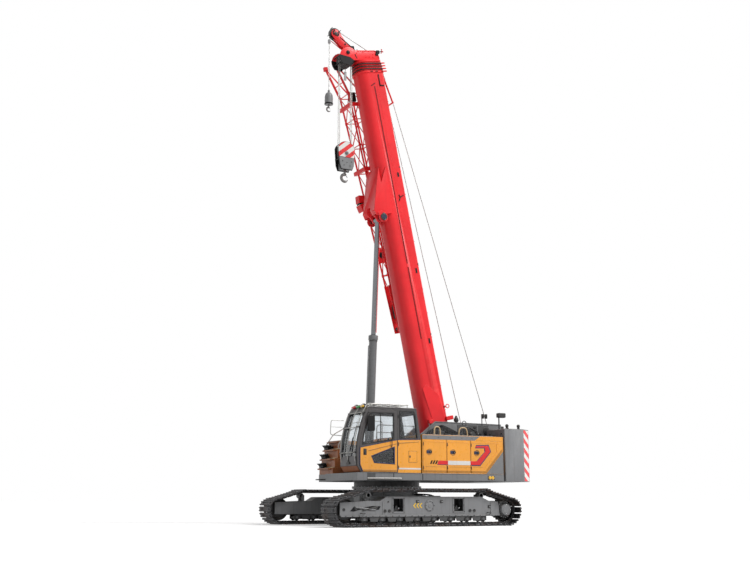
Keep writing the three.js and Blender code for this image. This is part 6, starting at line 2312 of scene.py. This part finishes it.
def make_bracket_details():
    """The luffing bracket's edges and pin, the jib's clamps beside it."""
    shape = Shape(BOOM)
    along, n = BRACKET_PIN
    for side in (1, -1):
        y = side * 0.38
        lug = arc(along, n, 0.15, 20, 300, 24) + [(along + 0.16, n - 0.19), (along + 0.2, n - 0.02)]
        shape.prism(lug, "Y", *sorted((y - side * 0.02, y + side * 0.03)), "boom", 0.006)
        cap = [(0, 0), (0.105, 0), (0.11, 0.008), (0.11, 0.03), (0.1, 0.038), (0, 0.038)]
        shape.turned(cap, (along, y + side * 0.028, n), (0, side, 0), "dark", 36)
        shape.turned(
            [(0, 0), (0.07, 0), (0.065, 0.012), (0, 0.012)], (along, y + side * 0.062, n),
            (0, side, 0), "trim", 30
        )
        shape.box(
            (along - 0.12, y + side * 0.06 - 0.006, n - 0.03),
            (along + 0.12, y + side * 0.06 + 0.006, n + 0.03), "dark", 0.004
        )
        for dx in (-0.09, 0.09):
            shape.bolt((along + dx, y + side * 0.066, n), (0, side, 0), 0.03, "steel")
    shape.rod((along, -0.4, n), (along, 0.4, n), 0.062, "chrome", 28, 0.004)
    shape.done("luff_pin", "boom_base", "boom_red")

    clamps = Shape(BOOM)
    clamps.prism(
        [(7.2, -0.81), (7.33, -0.42), (7.58, -0.38), (7.43, -0.87)], "Y", -0.95, -0.66, "boom", 0.01
    )
    clamps.prism(
        [(7.5, -0.86), (7.5, -0.62), (7.72, -0.6), (7.74, -0.84)], "Y", -0.95, -0.7, "boom", 0.01
    )
    clamps.prism(
        [(7.44, -0.86), (7.6, -0.36), (7.66, -0.36), (7.5, -0.86)], "Y", -0.9, -0.72, "black", 0.006
    )
    clamps.tube([(7.62, -0.8, -0.6), (7.78, -0.7, -0.46), (7.8, -0.42, -0.4)], 0.03, "black", 8, 0.08)
    clamps.done("jib_clamps", "boom_base", "boom_red")


def make_head():
    shape = Shape(BOOM)
    face = 0.30
    for side in (1, -1):
        y = side * face
        edge = [(11.83, 0.2), (12.06, 0.17), (12.1, 0.08), (12.1, -0.5), (11.98, -0.62)]
        rib = [(a, y + side * 0.004, b) for a, b in edge]
        shape.tube(rib, 0.012, "boom", 8, 0.05)
        for a, b in ((11.9, -0.02), (11.9, -0.14), (11.9, -0.26), (12.05, -0.35), (11.98, 0.0)):
            shape.bolt((a, y + side * 0.002, b), (0, side, 0), 0.03, "boom")
        # covers of the axle ends, and the black guard over the cheek's lower half
        for (along, n), radius in (((12.05, -0.88), 0.06), (REAR_SHEAVE, 0.05), ((12.2, -0.94), 0.03)):
            if along < 12.15:
                shape.turned([(0, 0), (radius, 0), (radius, 0.022), (radius * 0.8, 0.03), (0, 0.03)],
                             (along, y, n), (0, side, 0), "black", 28)
        x, n = HEAD_SHEAVE
        low = arc(x, n, 0.335, -74, -110, 8) + [
            (11.7, -1.125), (11.635, -0.9), (11.79, -0.7), (11.9, -0.83)
        ]
        shape.prism((low)[::-1], "Y", *sorted((y - side * 0.036, y + side * 0.006)), "black", 0.004)
        # slot in the cheek: a black sheet, painted shade
        slot = [(11.84, -0.6), (11.98, -0.66), (12.0, -0.64), (11.86, -0.58)]
        shape.prism(slot[::-1], "Y", *sorted((y - side * 0.002, y + side * 0.004)), "black", 0)
    # keeper bars round the head sheaves
    x, n = HEAD_SHEAVE
    for angle in (20, -60, -108):
        a = math.radians(angle)
        point = (x + 0.268 * math.cos(a), n + 0.268 * math.sin(a))
        shape.rod((point[0], -0.28, point[1]), (point[0], 0.28, point[1]), 0.018, "black", 14, 0.003)
    # lamp, anemometer and tabs on the back corner
    shape.tube([(12.02, 0.26, 0.1), (12.06, 0.3, 0.2), (12.08, 0.3, 0.32)], 0.014, "dark", 8, 0.04)
    shape.box((12.0, 0.26, 0.12), (12.11, 0.34, 0.24), "black", 0.014)
    shape.turned(
        [(0, 0), (0.024, 0), (0.028, 0.02), (0.016, 0.05), (0, 0.055)], (12.08, 0.3, 0.32), (0, 0, 1),
        "boom", 18
    )
    for k in range(3):
        a = math.radians(120 * k)
        cup = (12.08 + 0.06 * math.cos(a), 0.3 + 0.06 * math.sin(a), 0.34)
        shape.tube([(12.08, 0.3, 0.34), cup], 0.005, "dark", 6)
        shape.turned(
            [(0, -0.02), (0.018, -0.008), (0.02, 0.012), (0, 0.012)], cup, (0, 0, 1), "boom", 12
        )
    for y in (-0.22, 0.22):
        shape.box((11.86, y - 0.03, 0.19), (11.94, y + 0.03, 0.25), "boom", 0.008)
    shape.tube(
        [(11.95, -0.25, -0.45), (12.16, -0.25, -0.5), (12.16, 0.25, -0.5), (11.95, 0.25, -0.45)],
        0.012, "dark", 8, 0.03
    )
    shape.done("head_details", "boom_tip", "boom_red")

    wheels = Shape(BOOM)
    for i in range(4):
        wheels.sheave(x, -0.135 + 0.09 * i, n, 0.235, 0.07, "dark")
    wheels.rod((x, -0.29, n), (x, 0.29, n), 0.045, "steel", 24, 0.004)
    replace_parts(wheels.done("head_sheaves_turned", "boom_tip", "black_steel"), "head_sheaves")
    wheels = Shape(BOOM)
    for y in (-0.055, 0.055):
        wheels.sheave(*REAR_SHEAVE[:1], y, REAR_SHEAVE[1], 0.16, 0.07, "dark")
    wheels.rod(
        (REAR_SHEAVE[0], -0.29, REAR_SHEAVE[1]), (REAR_SHEAVE[0], 0.29, REAR_SHEAVE[1]), 0.03, "steel",
        20, 0.003
    )
    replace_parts(wheels.done("rear_sheaves_turned", "boom_tip", "black_steel"), "rear_head_sheaves")


TIP_KEEPER = 0.222  # from the tip sheave's centre to its keeper bars


def make_tip_arm():
    along, n = TIP_SHEAVE
    wheel = Shape(BOOM)
    wheel.sheave(along, 0, n, 0.205, 0.066, "dark")
    wheel.rod((along, -0.09, n), (along, 0.09, n), 0.035, "steel", 20, 0.004)
    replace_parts(wheel.done("tip_sheave_turned", "boom_tip", "black_steel"), "tip_sheave")
    shape = Shape(BOOM)
    low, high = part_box("tip_sheave_arm")
    for side in (1, -1):
        y = side * high.y
        shape.turned(
            [(0, 0), (0.06, 0), (0.06, 0.02), (0.045, 0.028), (0, 0.028)], (along, y, n), (0, side, 0),
            "dark", 24
        )
        near, far = sorted((y - side * 0.002, y + side * 0.004))
        # slots in the side plates: black sheets, painted shade
        for a, b in ((60, 170), (240, 350)):
            slot = arc(along + 0.02, n + 0.01, 0.118, a, b, 10)
            slot += arc(along + 0.02, n + 0.01, 0.075, b, a, 10)
            shape.prism(slot, "Y", near, far, "black", 0)
        for a, b, size in ((12.27, -0.68, 0.04), (12.4, -0.8, 0.028), (12.16, -0.5, 0.035)):
            shape.turned(
                [(0, 0), (size, 0), (size, 0.012), (0, 0.012)], (a, y, b), (0, side, 0), "black", 20
            )
        shape.tube([(12.14, y, -0.43), (12.46, y, -0.75), (12.62, y, -0.93)], 0.014, "black", 8, 0.04)
        shape.tube([(12.14, y, -0.7), (12.32, y, -0.92), (12.56, y, -1.18)], 0.012, "boom", 8, 0.04)
    # keeper bars that clear the single line
    for angle in (150, 60, -20, -95):
        a = math.radians(angle)
        x, z = along + TIP_KEEPER * math.cos(a), n + TIP_KEEPER * math.sin(a)
        shape.rod((x, low.y, z), (x, high.y, z), 0.01, "dark", 10)
    shape.box((12.2, low.y - 0.02, -0.62), (12.34, high.y + 0.02, -0.5), "black", 0.012)
    shape.done("tip_arm_details", "boom_tip", "boom_red")


JIB_FORK_YS = (-0.62, -0.88)


def jib_station(t):
    """Corners of the jib across the boom at a share of its length from the narrow end."""
    near, far = -0.6 + 0.1 * t, -0.9 - 0.2 * t
    low, high = -0.33 - 0.32 * t, -0.09 - 0.11 * t
    return [(near, low), (near, high), (far, high), (far, low)]


def make_jib():
    wide, narrow, tip = 11.0, 4.3, 3.3
    skin("lattice_jib", "boom", 0.0, 50)
    shape = Shape(BOOM)
    for i in range(9):
        t = i / 8
        x = narrow + (wide - narrow) * t
        for y, n in jib_station(t):
            shape.rod((x - 0.045, y, n), (x + 0.045, y, n), 0.04, "boom", 14, 0.004)
    # end fittings: forks with pin holes, winch box, side plates with round openings
    for y in JIB_FORK_YS:
        plate = [
            (tip - 0.02, -0.34), (narrow + 0.5, -0.42), (narrow + 0.5, -0.05), (narrow, 0.0),
            (tip + 0.2, -0.06), (tip - 0.02, -0.14)
        ]
        shape.prism(plate, "Y", y - 0.012, y + 0.012, "boom", 0.004)
        for a, b in ((tip + 0.1, -0.24), (tip + 0.42, -0.13), (narrow + 0.2, -0.2)):
            shape.turned([(0, 0), (0.062, 0), (0.066, 0.006), (0.066, 0.034), (0.062, 0.04), (0, 0.04)],
                         (a, y - 0.02, b), (0, 1, 0), "dark", 24)
            for way in (1, -1):
                disc = [(0, 0), (0.036, 0), (0.034, 0.004), (0, 0.004)]
                shape.turned(disc, (a, y + way * 0.0195, b), (0, way, 0), "white", 20)
    shape.box((narrow - 0.55, -0.86, -0.3), (narrow - 0.15, -0.64, -0.08), "dark", 0.02)
    shape.rod((tip + 0.1, -0.9, -0.24), (tip + 0.1, -0.6, -0.24), 0.03, "steel", 18, 0.004)
    shape.box((narrow + 1.25, -0.93, -0.43), (narrow + 1.75, -0.9, -0.12), "boom", 0.012)
    # the side plate's round opening: a black disc, painted shade
    shape.turned(
        [(0, 0), (0.1, 0), (0.1, 0.02), (0, 0.02)], (narrow + 1.5, -0.905, -0.28), (0, 1, 0), "black",
        24
    )
    shape.box((10.72, -0.66, -0.62), (11.02, -0.44, -0.44), "black", 0.02)
    for y in (-0.5, -1.1):
        for dx in (-0.04, 0.04):
            shape.box(
                (12.0 + dx - 0.012, y - 0.05, -1.04), (12.0 + dx + 0.012, y + 0.05, -0.92), "boom",
                0.006
            )
        shape.rod((11.92, y, -0.985), (12.08, y, -0.985), 0.026, "steel", 14, 0.003)
    shape.done("jib_fittings", "boom_base", "boom_red")


class CRANE_OT_boom(bpy.types.Operator):
    """Boom sections, collars, foot, bracket, head, tip arm and the stowed jib."""

    bl_idname = "crane.boom"
    bl_label = "Boom"

    def execute(self, context):
        for node in (
            "boom_base_section", "boom_section_2", "boom_section_3", "boom_section_4",
            "boom_tip_section"
        ):
            skin(node, "boom", 0.0, 40)
        skin("luff_bracket", "boom", 0.006)
        skin("boom_head", "boom", 0.006)
        skin("tip_sheave_arm", "boom", 0.006)
        make_collars()
        make_tip_band()
        make_base_details()
        make_bracket_details()
        make_head()
        make_tip_arm()
        make_jib()
        return {"FINISHED"}


# ------------------------------------------------------------------ luffing cylinder
CYLINDER_REACH = 7.5387


class CRANE_OT_cylinder(bpy.types.Operator):
    """Luffing cylinder: barrel with its gland, pipes and eyes, chrome rod."""

    bl_idname = "crane.cylinder"
    bl_label = "Luffing cylinder"

    def execute(self, context):
        skin("luff_cylinder_barrel", "barrel", 0.004)
        skin("luff_cylinder_rod", "chrome", 0.0)
        shape = Shape(CYLINDER)
        gland = [
            (0.121, 3.79), (0.143, 3.79), (0.145, 3.8), (0.145, 3.9), (0.139, 3.915), (0.121, 3.915)
        ]
        shape.turned(gland + [gland[0]], (0, 0, 0), (1, 0, 0), "barrel", 48)
        seal = [(0.074, 3.915), (0.105, 3.915), (0.105, 3.925), (0.085, 3.945), (0.074, 3.945)]
        shape.turned(seal + [seal[0]], (0, 0, 0), (1, 0, 0), "rubber", 48)
        for x in (0.42, 3.74):
            band = [(0.119, x), (0.128, x), (0.128, x + 0.03), (0.119, x + 0.03)]
            shape.turned(band + [band[0]], (0, 0, 0), (1, 0, 0), "frame_dark", 48)
        for i in range(12):
            a = 2 * math.pi * i / 12
            way = Vector((0, math.cos(a), math.sin(a)))
            shape.bolt(Vector((3.915, 0, 0)) + way * 0.122, (1, 0, 0), 0.018, "dark")
        shape.tube(
            [(0.35, 0, -0.118), (0.35, 0, -0.15), (3.6, 0, -0.15), (3.6, 0, -0.118)], 0.013, "barrel",
            8, 0.03
        )
        shape.box((0.2, -0.06, -0.2), (0.42, 0.06, -0.12), "dark", 0.012)
        for side in (1, -1):
            shape.turned(
                [(0, 0), (0.09, 0), (0.09, 0.02), (0.07, 0.028), (0, 0.028)], (0, side * 0.1, 0),
                (0, side, 0), "dark", 30
            )
            shape.bolt((0.06, side * 0.12, 0), (0, side, 0), 0.02, "steel")
        shape.done("cylinder_details", "luff_barrel", "cylinder_grey")
        # thin return pipe that hangs beside the rod
        pipe = Shape(CYLINDER)
        pipe.tube(
            [(CYLINDER_REACH - 0.05, 0.08, 0), (CYLINDER_REACH - 0.3, 0.18, 0), (3.99, 0.18, 0)], 0.01,
            "boom", 8, 0.1
        )
        pipe.turned(
            [(0, 0), (0.08, 0), (0.082, 0.02), (0.08, 0.03), (0, 0.03)], (CYLINDER_REACH, -0.1, 0),
            (0, -1, 0), "dark", 24
        )
        pipe.done("rod_pipe", "luff_rod", "chrome")
        return {"FINISHED"}


# ------------------------------------------------------------------ ropes and hooks
MAIN_X, SINGLE_X = 1.4355, 1.9951
HEAD_Z, BLOCK_Z = 14.146, 11.08
TIP_Z, BALL_Z = 14.9266, 12.79
FALL = 0.207
LAY = 0.05


def rope(name, points, body, sides=8):
    shape = Shape(SLEW)
    shape.tube(points, sizes().rope / 2, "rope", sides)
    return shape.done(name, body, "rope_steel")


def reaching(name, points):
    """A rope between two bodies, which stretches as they part."""
    shape = Shape(SLEW)
    shape.tube(points, sizes().rope / 2, "rope", 8)
    piece = link(name, shape.mesh(name))
    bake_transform(piece)
    return piece


def in_slew(along, y, n):
    return SLEW.inverted() @ BOOM @ Vector((along, y, n))


def over_wheel(centre, y, radius, start, end, steps=14):
    """Points round a sheave of the boom head, in degrees from the boom's own direction."""
    return [in_slew(a, y, n) for a, n in arc(centre[0], centre[1], radius, start, end, steps)]


def make_boom_ropes():
    skin("rear_winch_rope", "rope", 0.0, 60)
    skin("front_winch_rope", "rope", 0.0, 60)
    half = sizes().rope / 2
    for name, y, wheel in (("main", 0.15, 0.055), ("single", -0.15, -0.055)):
        start, end = in_slew(10.43, y, 0.498), in_slew(11.99, wheel, 0.16 - 0.01 + REAR_SHEAVE[1] + half)
        reaching(f"{name}_rope_along_boom", [start, end])
    # the main rope turns over its rear sheave and drops through the head to the hoist sheaves
    line = over_wheel(REAR_SHEAVE, 0.055, 0.15 + half, 90, 5)
    line += [in_slew(12.152, 0.08, -0.3), in_slew(12.145, 0.12, -0.6)]
    rope("main_rope_over_head", line + over_wheel(HEAD_SHEAVE, 0.135, 0.21 + half, 40, -20), "boom_tip")
    # the single line runs on over the tip sheave
    top = 0.178 + half
    line = over_wheel(
        REAR_SHEAVE, -0.055, 0.15 + half, 90, 62, 4
    ) + over_wheel(TIP_SHEAVE, 0.0, top, 62, 13, 10)
    rope("single_rope_over_tip", line, "boom_tip")


def make_falls():
    for i, (x, y) in enumerate(((-FALL, -LAY), (-FALL, LAY), (FALL, -LAY), (FALL, LAY))):
        top, low = Vector((MAIN_X + x, y, HEAD_Z)), Vector((MAIN_X + x, y, BLOCK_Z))
        reaching(f"main_fall_{i + 1}", [top, low])
    for side in (-LAY, LAY):
        points = [(MAIN_X + a, side, BLOCK_Z + b) for a, b in arc(0, 0, FALL, 180, 360, 18)]
        rope(f"block_rope_{'near' if side > 0 else 'far'}", points, "main_hook")
    for y, first in ((-LAY, -0.135), (LAY, 0.045)):
        for k, x in enumerate((-FALL, FALL)):
            points = [
                (
                    MAIN_X + x * (1 + 0.06 * t), y + (first + 0.09 * k - y) * t,
                    HEAD_Z + 0.001 + 0.12 * t
                ) for t in (0, 1)
            ]
            rope(f"head_lead_{'near' if y > 0 else 'far'}_{k + 1}", points, "boom_tip")
    top, low = Vector((SINGLE_X, 0, TIP_Z)), Vector((SINGLE_X, 0, BALL_Z + 0.26))
    reaching("single_line", [top, low])


def make_hook(shape, x, z, size):
    """A forged hook with a swelling section, a nut, a collar and a safety latch."""
    centre = Vector((x, 0, z - 1.72 * size))
    path = [(115 - 10 * i) for i in range(28)]
    rings = []
    for i, angle in enumerate(path):
        t = i / (len(path) - 1)
        a = math.radians(angle)
        swell = 0.2 + 0.14 * math.sin(math.pi * min(t * 1.15, 1)) ** 0.8
        thin = swell * (1 if t < 0.86 else max(0.12, 1 - (t - 0.86) * 5.6))
        middle = centre + Vector((math.cos(a), 0, math.sin(a))) * size * 0.75
        out = Vector((math.cos(a), 0, math.sin(a)))
        ring = []
        for k in range(10):
            b = 2 * math.pi * k / 10
            across = out * math.cos(b) * size * min(thin, 0.29)
            ring.append(middle + across + Vector((0, 1, 0)) * math.sin(b) * size * thin * 0.8)
        rings.append(ring)
    points = [p for ring in rings for p in ring]
    faces = [list(range(10))[::-1], [len(points) - 10 + k for k in range(10)]]
    for i in range(len(rings) - 1):
        for k in range(10):
            m = (k + 1) % 10
            faces.append([i * 10 + k, i * 10 + m, i * 10 + 10 + m, i * 10 + 10 + k])
    bm = bmesh.new()
    made = [bm.verts.new(p) for p in points]
    for face in faces:
        bm.faces.new([made[i] for i in face])
    shape.take(bm, "hook", smooth=True)
    shank = [(0, -1.25), (0.2, -1.25), (0.24, -0.95), (0.24, -0.2), (0.34, -0.2), (0.34, 0), (0, 0)]
    shape.turned([(r * size, a * size) for r, a in shank], (x, 0, z), (0, 0, 1), "hook", 20)
    shape.tube(
        [(x - 0.24 * size, 0, z - 1.0 * size), (x - 0.62 * size, 0, z - 1.6 * size)], size * 0.07,
        "dark", 8
    )


def turned_flat(outline, x, z, angle, to_x=0.0, to_z=0.0):
    """An outline turned about a point by degrees and carried to another one."""
    a = math.radians(angle)
    cos, sin = math.cos(a), math.sin(a)
    return [
        ((p - x) * cos - (q - z) * sin + to_x, (p - x) * sin + (q - z) * cos + to_z) for p,
        q in outline
    ]


def make_hook_block():
    x, z = MAIN_X, BLOCK_Z
    wheels = Shape(SLEW)
    for y in (-LAY, LAY):
        wheels.sheave(x, y, z, 0.23, 0.062, "dark")
    outline = arc(0, 0.085, 0.295, 12, 168, 22) + [
        (-0.25, -0.38), (-0.19, -0.53), (0.19, -0.53), (0.25, -0.38)
    ]
    block = moved(outline, x, z)
    for side in (1, -1):
        y = side * 0.1175
        wheels.prism(block, "Y", y - 0.0115, y + 0.0115, "black", 0.004)
        face = side * 0.1295
        low, high = sorted((face - side * 0.001, face + side * 0.0025))
        upper = grown(
            arc(x, z + 0.085, 0.295, 8, 172, 30) + [(x - 0.27, z - 0.14), (x + 0.27, z - 0.14)], -0.012
        )
        for k in range(-4, 5):
            band = clipped(turned_flat(upper, x, z, 40), k * 0.12 - 0.06, k * 0.12 + 0.06)
            if len(band) > 2:
                band = turned_flat(band, 0, 0, -40, x, z)
                wheels.prism(band, "Y", low, high, "stripe" if k % 2 else "white", 0)
        lower = moved(
            [
                (-0.258, -0.15), (-0.235, -0.37), (-0.18, -0.515), (0.18, -0.515), (0.235, -0.37),
                (0.258, -0.15)
            ],
            x, z
        )
        wheels.prism(lower, "Y", *sorted((face - side * 0.001, face + side * 0.03)), "frame", 0.006)
        hub = [(0, 0), (0.062, 0), (0.062, 0.02), (0.045, 0.03), (0, 0.03)]
        wheels.turned(hub, (x, face, z), (0, side, 0), "frame", 24)
        wheels.bolt((x, face + side * 0.028, z), (0, side, 0), 0.06, "hook")
        for a, b in ((-0.15, -0.27), (0.15, -0.27), (-0.1, -0.4), (0.1, -0.4), (0.0, -0.3)):
            wheels.bolt((x + a, face + side * 0.028, z + b), (0, side, 0), 0.032, "dark")
        for a in (-0.2, 0.2):
            wheels.bolt((x + a, face + side * 0.002, z + 0.02), (0, side, 0), 0.03, "dark")
    wheels.rod((x, -0.13, z), (x, 0.13, z), 0.05, "steel", 24)
    wheels.box((x - 0.17, -0.107, z - 0.51), (x + 0.17, 0.107, z - 0.3), "frame", 0.014)
    for a in (-0.235, 0.235):
        wheels.rod((x + a, -0.118, z - 0.19), (x + a, 0.118, z - 0.19), 0.014, "dark", 12)
    for angle in (60, 120):
        t = math.radians(angle)
        wheels.rod((x + 0.252 * math.cos(t), -0.118, z + 0.252 * math.sin(t)),
                   (x + 0.252 * math.cos(t), 0.118, z + 0.252 * math.sin(t)), 0.013, "dark", 12)
    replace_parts(wheels.done("hook_block_built", "main_hook", "black_steel"), "main_hook_block")
    hook = Shape(SLEW)
    make_hook(hook, x, z - 0.5, 0.15)
    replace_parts(hook.done("main_hook_forged", "main_hook", "black_steel"), "main_hook")


def make_ball():
    x = SINGLE_X
    shape = Shape(SLEW)
    body = [
        (0, -0.21), (0.11, -0.21), (0.122, -0.2), (0.125, -0.15), (0.124, 0.04), (0.116, 0.1),
        (0.09, 0.155), (0.06, 0.18), (0.036, 0.19), (0.034, 0.26), (0, 0.26)
    ]
    shape.turned(body, (x, 0, BALL_Z), (0, 0, 1), "frame", 40)
    band = [(0.12, -0.205), (0.13, -0.202), (0.131, -0.16), (0.122, -0.155)]
    shape.turned(band + [band[0]], (x, 0, BALL_Z), (0, 0, 1), "black", 40)
    shape.box((x - 0.014, -0.026, BALL_Z + 0.17), (x + 0.014, 0.026, BALL_Z + 0.255), "dark", 0.006)
    for angle in range(0, 360, 90):
        a = math.radians(angle + 45)
        way = (math.cos(a), math.sin(a), 0)
        shape.bolt((x + 0.126 * way[0], 0.126 * way[1], BALL_Z - 0.04), way, 0.02, "dark")
    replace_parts(shape.done("overhaul_ball_cast", "single_hook", "black_steel"), "overhaul_ball")
    hook = Shape(SLEW)
    make_hook(hook, x, BALL_Z - 0.2103, 0.086)
    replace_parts(hook.done("single_hook_forged", "single_hook", "black_steel"), "single_line_hook")
    weight = Shape(SLEW)
    line = [(0, -0.33), (0.036, -0.33), (0.044, -0.322), (0.044, -0.218), (0.036, -0.21), (0, -0.21)]
    weight.turned(line, (x, 0, TIP_Z), (0, 0, 1), "steel", 24)
    weight.tube(
        [(x, 0.04, TIP_Z - 0.22), (x, 0.05, TIP_Z - 0.1), (x - 0.02, 0.05, TIP_Z - 0.02)], 0.004,
        "dark", 6
    )
    node = frame["nodes"]["single_line_limit_weight"]
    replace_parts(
        weight.done("limit_weight_turned", node["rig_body"], "black_steel"), "single_line_limit_weight"
    )


class CRANE_OT_ropes(bpy.types.Operator):
    """Ropes over the sheaves, the falls, the hook block, the ball and the hooks."""

    bl_idname = "crane.ropes"
    bl_label = "Ropes and hooks"

    def execute(self, context):
        make_boom_ropes()
        make_falls()
        make_hook_block()
        make_ball()
        return {"FINISHED"}


# ------------------------------------------------------------------ stage
CAMERA_PLACE = Vector((16.01, 27.95, 0.70))
CAMERA_HEADING = Vector((-0.4726, -0.8813, 0.0))
CAMERA_PITCH = math.radians(11.62)
CAMERA_LENS = 51.2
LIGHT_SIDE = (-0.62, 0.5, 0.6)


def make_camera():
    camera = bpy.data.objects.new("Camera", bpy.data.cameras.new("Camera"))
    bpy.context.scene.collection.objects.link(camera)
    camera.data.lens = CAMERA_LENS
    camera.data.sensor_width = 36
    camera.location = CAMERA_PLACE
    way = CAMERA_HEADING.normalized() * math.cos(CAMERA_PITCH) + Vector((0, 0, math.sin(CAMERA_PITCH)))
    camera.rotation_mode = "QUATERNION"
    camera.rotation_quaternion = way.to_track_quat("-Z", "Y")
    bpy.context.scene.camera = camera


def seen_directly(graph):
    """1 where the camera sees a surface, straight, mirrored or through glass, else 0."""
    path = graph.add("ShaderNodeLightPath").outputs
    mirrored = graph.maths("MAXIMUM", path["Is Glossy Ray"], path["Is Transmission Ray"])
    return graph.maths("MAXIMUM", path["Is Camera Ray"], mirrored)


def make_world():
    world = bpy.data.worlds.new("Studio")
    world.use_nodes = True
    bpy.context.scene.world = world
    graph = Graph(world.node_tree)
    backdrop = world.node_tree.nodes["Background"]
    place = graph.add("ShaderNodeTexCoord").outputs["Object"]
    side = graph.add(
        "ShaderNodeVectorMath", {0: place, 1: LIGHT_SIDE}, operation="DOT_PRODUCT"
    ).outputs["Value"]
    soft = graph.ramp(side, -0.55, 0.95, 0.06, 0.78)
    strength = graph.maths("MAXIMUM", soft, seen_directly(graph))
    graph.feed(backdrop.inputs["Color"], (1, 1, 1, 1))
    graph.feed(backdrop.inputs["Strength"], strength)


def make_floor():
    """A wide pale floor: part of its white is its own, so that shadows on it stay soft."""
    half = 400
    mesh = bpy.data.meshes.new("Floor")
    mesh.from_pydata(
        [(-half, -half, 0), (half, -half, 0), (half, half, 0), (-half, half, 0)], [], [(0, 1, 2, 3)]
    )
    floor = link("Floor", mesh)
    material = bpy.data.materials.new("floor")
    material.use_nodes = True
    tree = material.node_tree
    tree.nodes.clear()
    graph = Graph(tree)
    matt = graph.add("ShaderNodeBsdfDiffuse", {"Color": (0.8, 0.8, 0.8, 1)})
    glow = graph.add("ShaderNodeEmission", {"Color": (1, 1, 1, 1)})
    graph.feed(glow.inputs["Strength"], graph.maths("MULTIPLY", seen_directly(graph), 0.32))
    both = graph.add("ShaderNodeAddShader", {0: matt.outputs[0], 1: glow.outputs[0]})
    end = graph.add("ShaderNodeOutputMaterial")
    graph.feed(end.inputs["Surface"], both.outputs[0])
    mesh.materials.append(material)


def make_sun():
    sun = bpy.data.objects.new("Key", bpy.data.lights.new("Key", "SUN"))
    bpy.context.scene.collection.objects.link(sun)
    sun.data.energy = 2.2
    sun.data.angle = math.radians(20)
    sun.rotation_mode = "QUATERNION"
    sun.rotation_quaternion = Vector((0.45, -0.55, -0.7)).to_track_quat("-Z", "Y")


class CRANE_OT_stage(bpy.types.Operator):
    """The camera, the pale floor and the soft light."""

    bl_idname = "crane.stage"
    bl_label = "Stage"

    def execute(self, context):
        context.scene.view_settings.view_transform = "Standard"
        make_camera()
        make_world()
        make_floor()
        make_sun()
        return {"FINISHED"}


# ------------------------------------------------------------------ add-on
class CRANE_PT_panel(bpy.types.Panel):
    """Lists the steps that build the crane."""

    bl_label = "Crawler crane"
    bl_idname = "CRANE_PT_panel"
    bl_space_type = "VIEW_3D"
    bl_region_type = "UI"
    bl_category = "Crane"

    def draw(self, context):
        column = self.layout.column()
        for step in STEPS:
            column.operator(step.bl_idname)
        for group in (context.scene.crane_colours, context.scene.crane_sizes):
            for key in group.bl_rna.properties.keys()[2:]:
                column.prop(group, key)


STEPS = (
    CRANE_OT_finishes,
    CRANE_OT_crawlers,
    CRANE_OT_carbody,
    CRANE_OT_counterweight,
    CRANE_OT_deck,
    CRANE_OT_winches,
    CRANE_OT_cab,
    CRANE_OT_housings,
    CRANE_OT_steps,
    CRANE_OT_boom,
    CRANE_OT_cylinder,
    CRANE_OT_ropes,
    CRANE_OT_stage,
)
CLASSES = (CraneColours, CraneSizes, *STEPS, CRANE_PT_panel)


def register():
    for cls in CLASSES:
        bpy.utils.register_class(cls)
    bpy.types.Scene.crane_colours = bpy.props.PointerProperty(type=CraneColours)
    bpy.types.Scene.crane_sizes = bpy.props.PointerProperty(type=CraneSizes)


def unregister():
    del bpy.types.Scene.crane_sizes
    del bpy.types.Scene.crane_colours
    for cls in reversed(CLASSES):
        bpy.utils.unregister_class(cls)


def main():
    register()
    for step in STEPS:
        family, name = step.bl_idname.split(".")
        getattr(getattr(bpy.ops, family), name)()


if __name__ == "__main__":
    main()
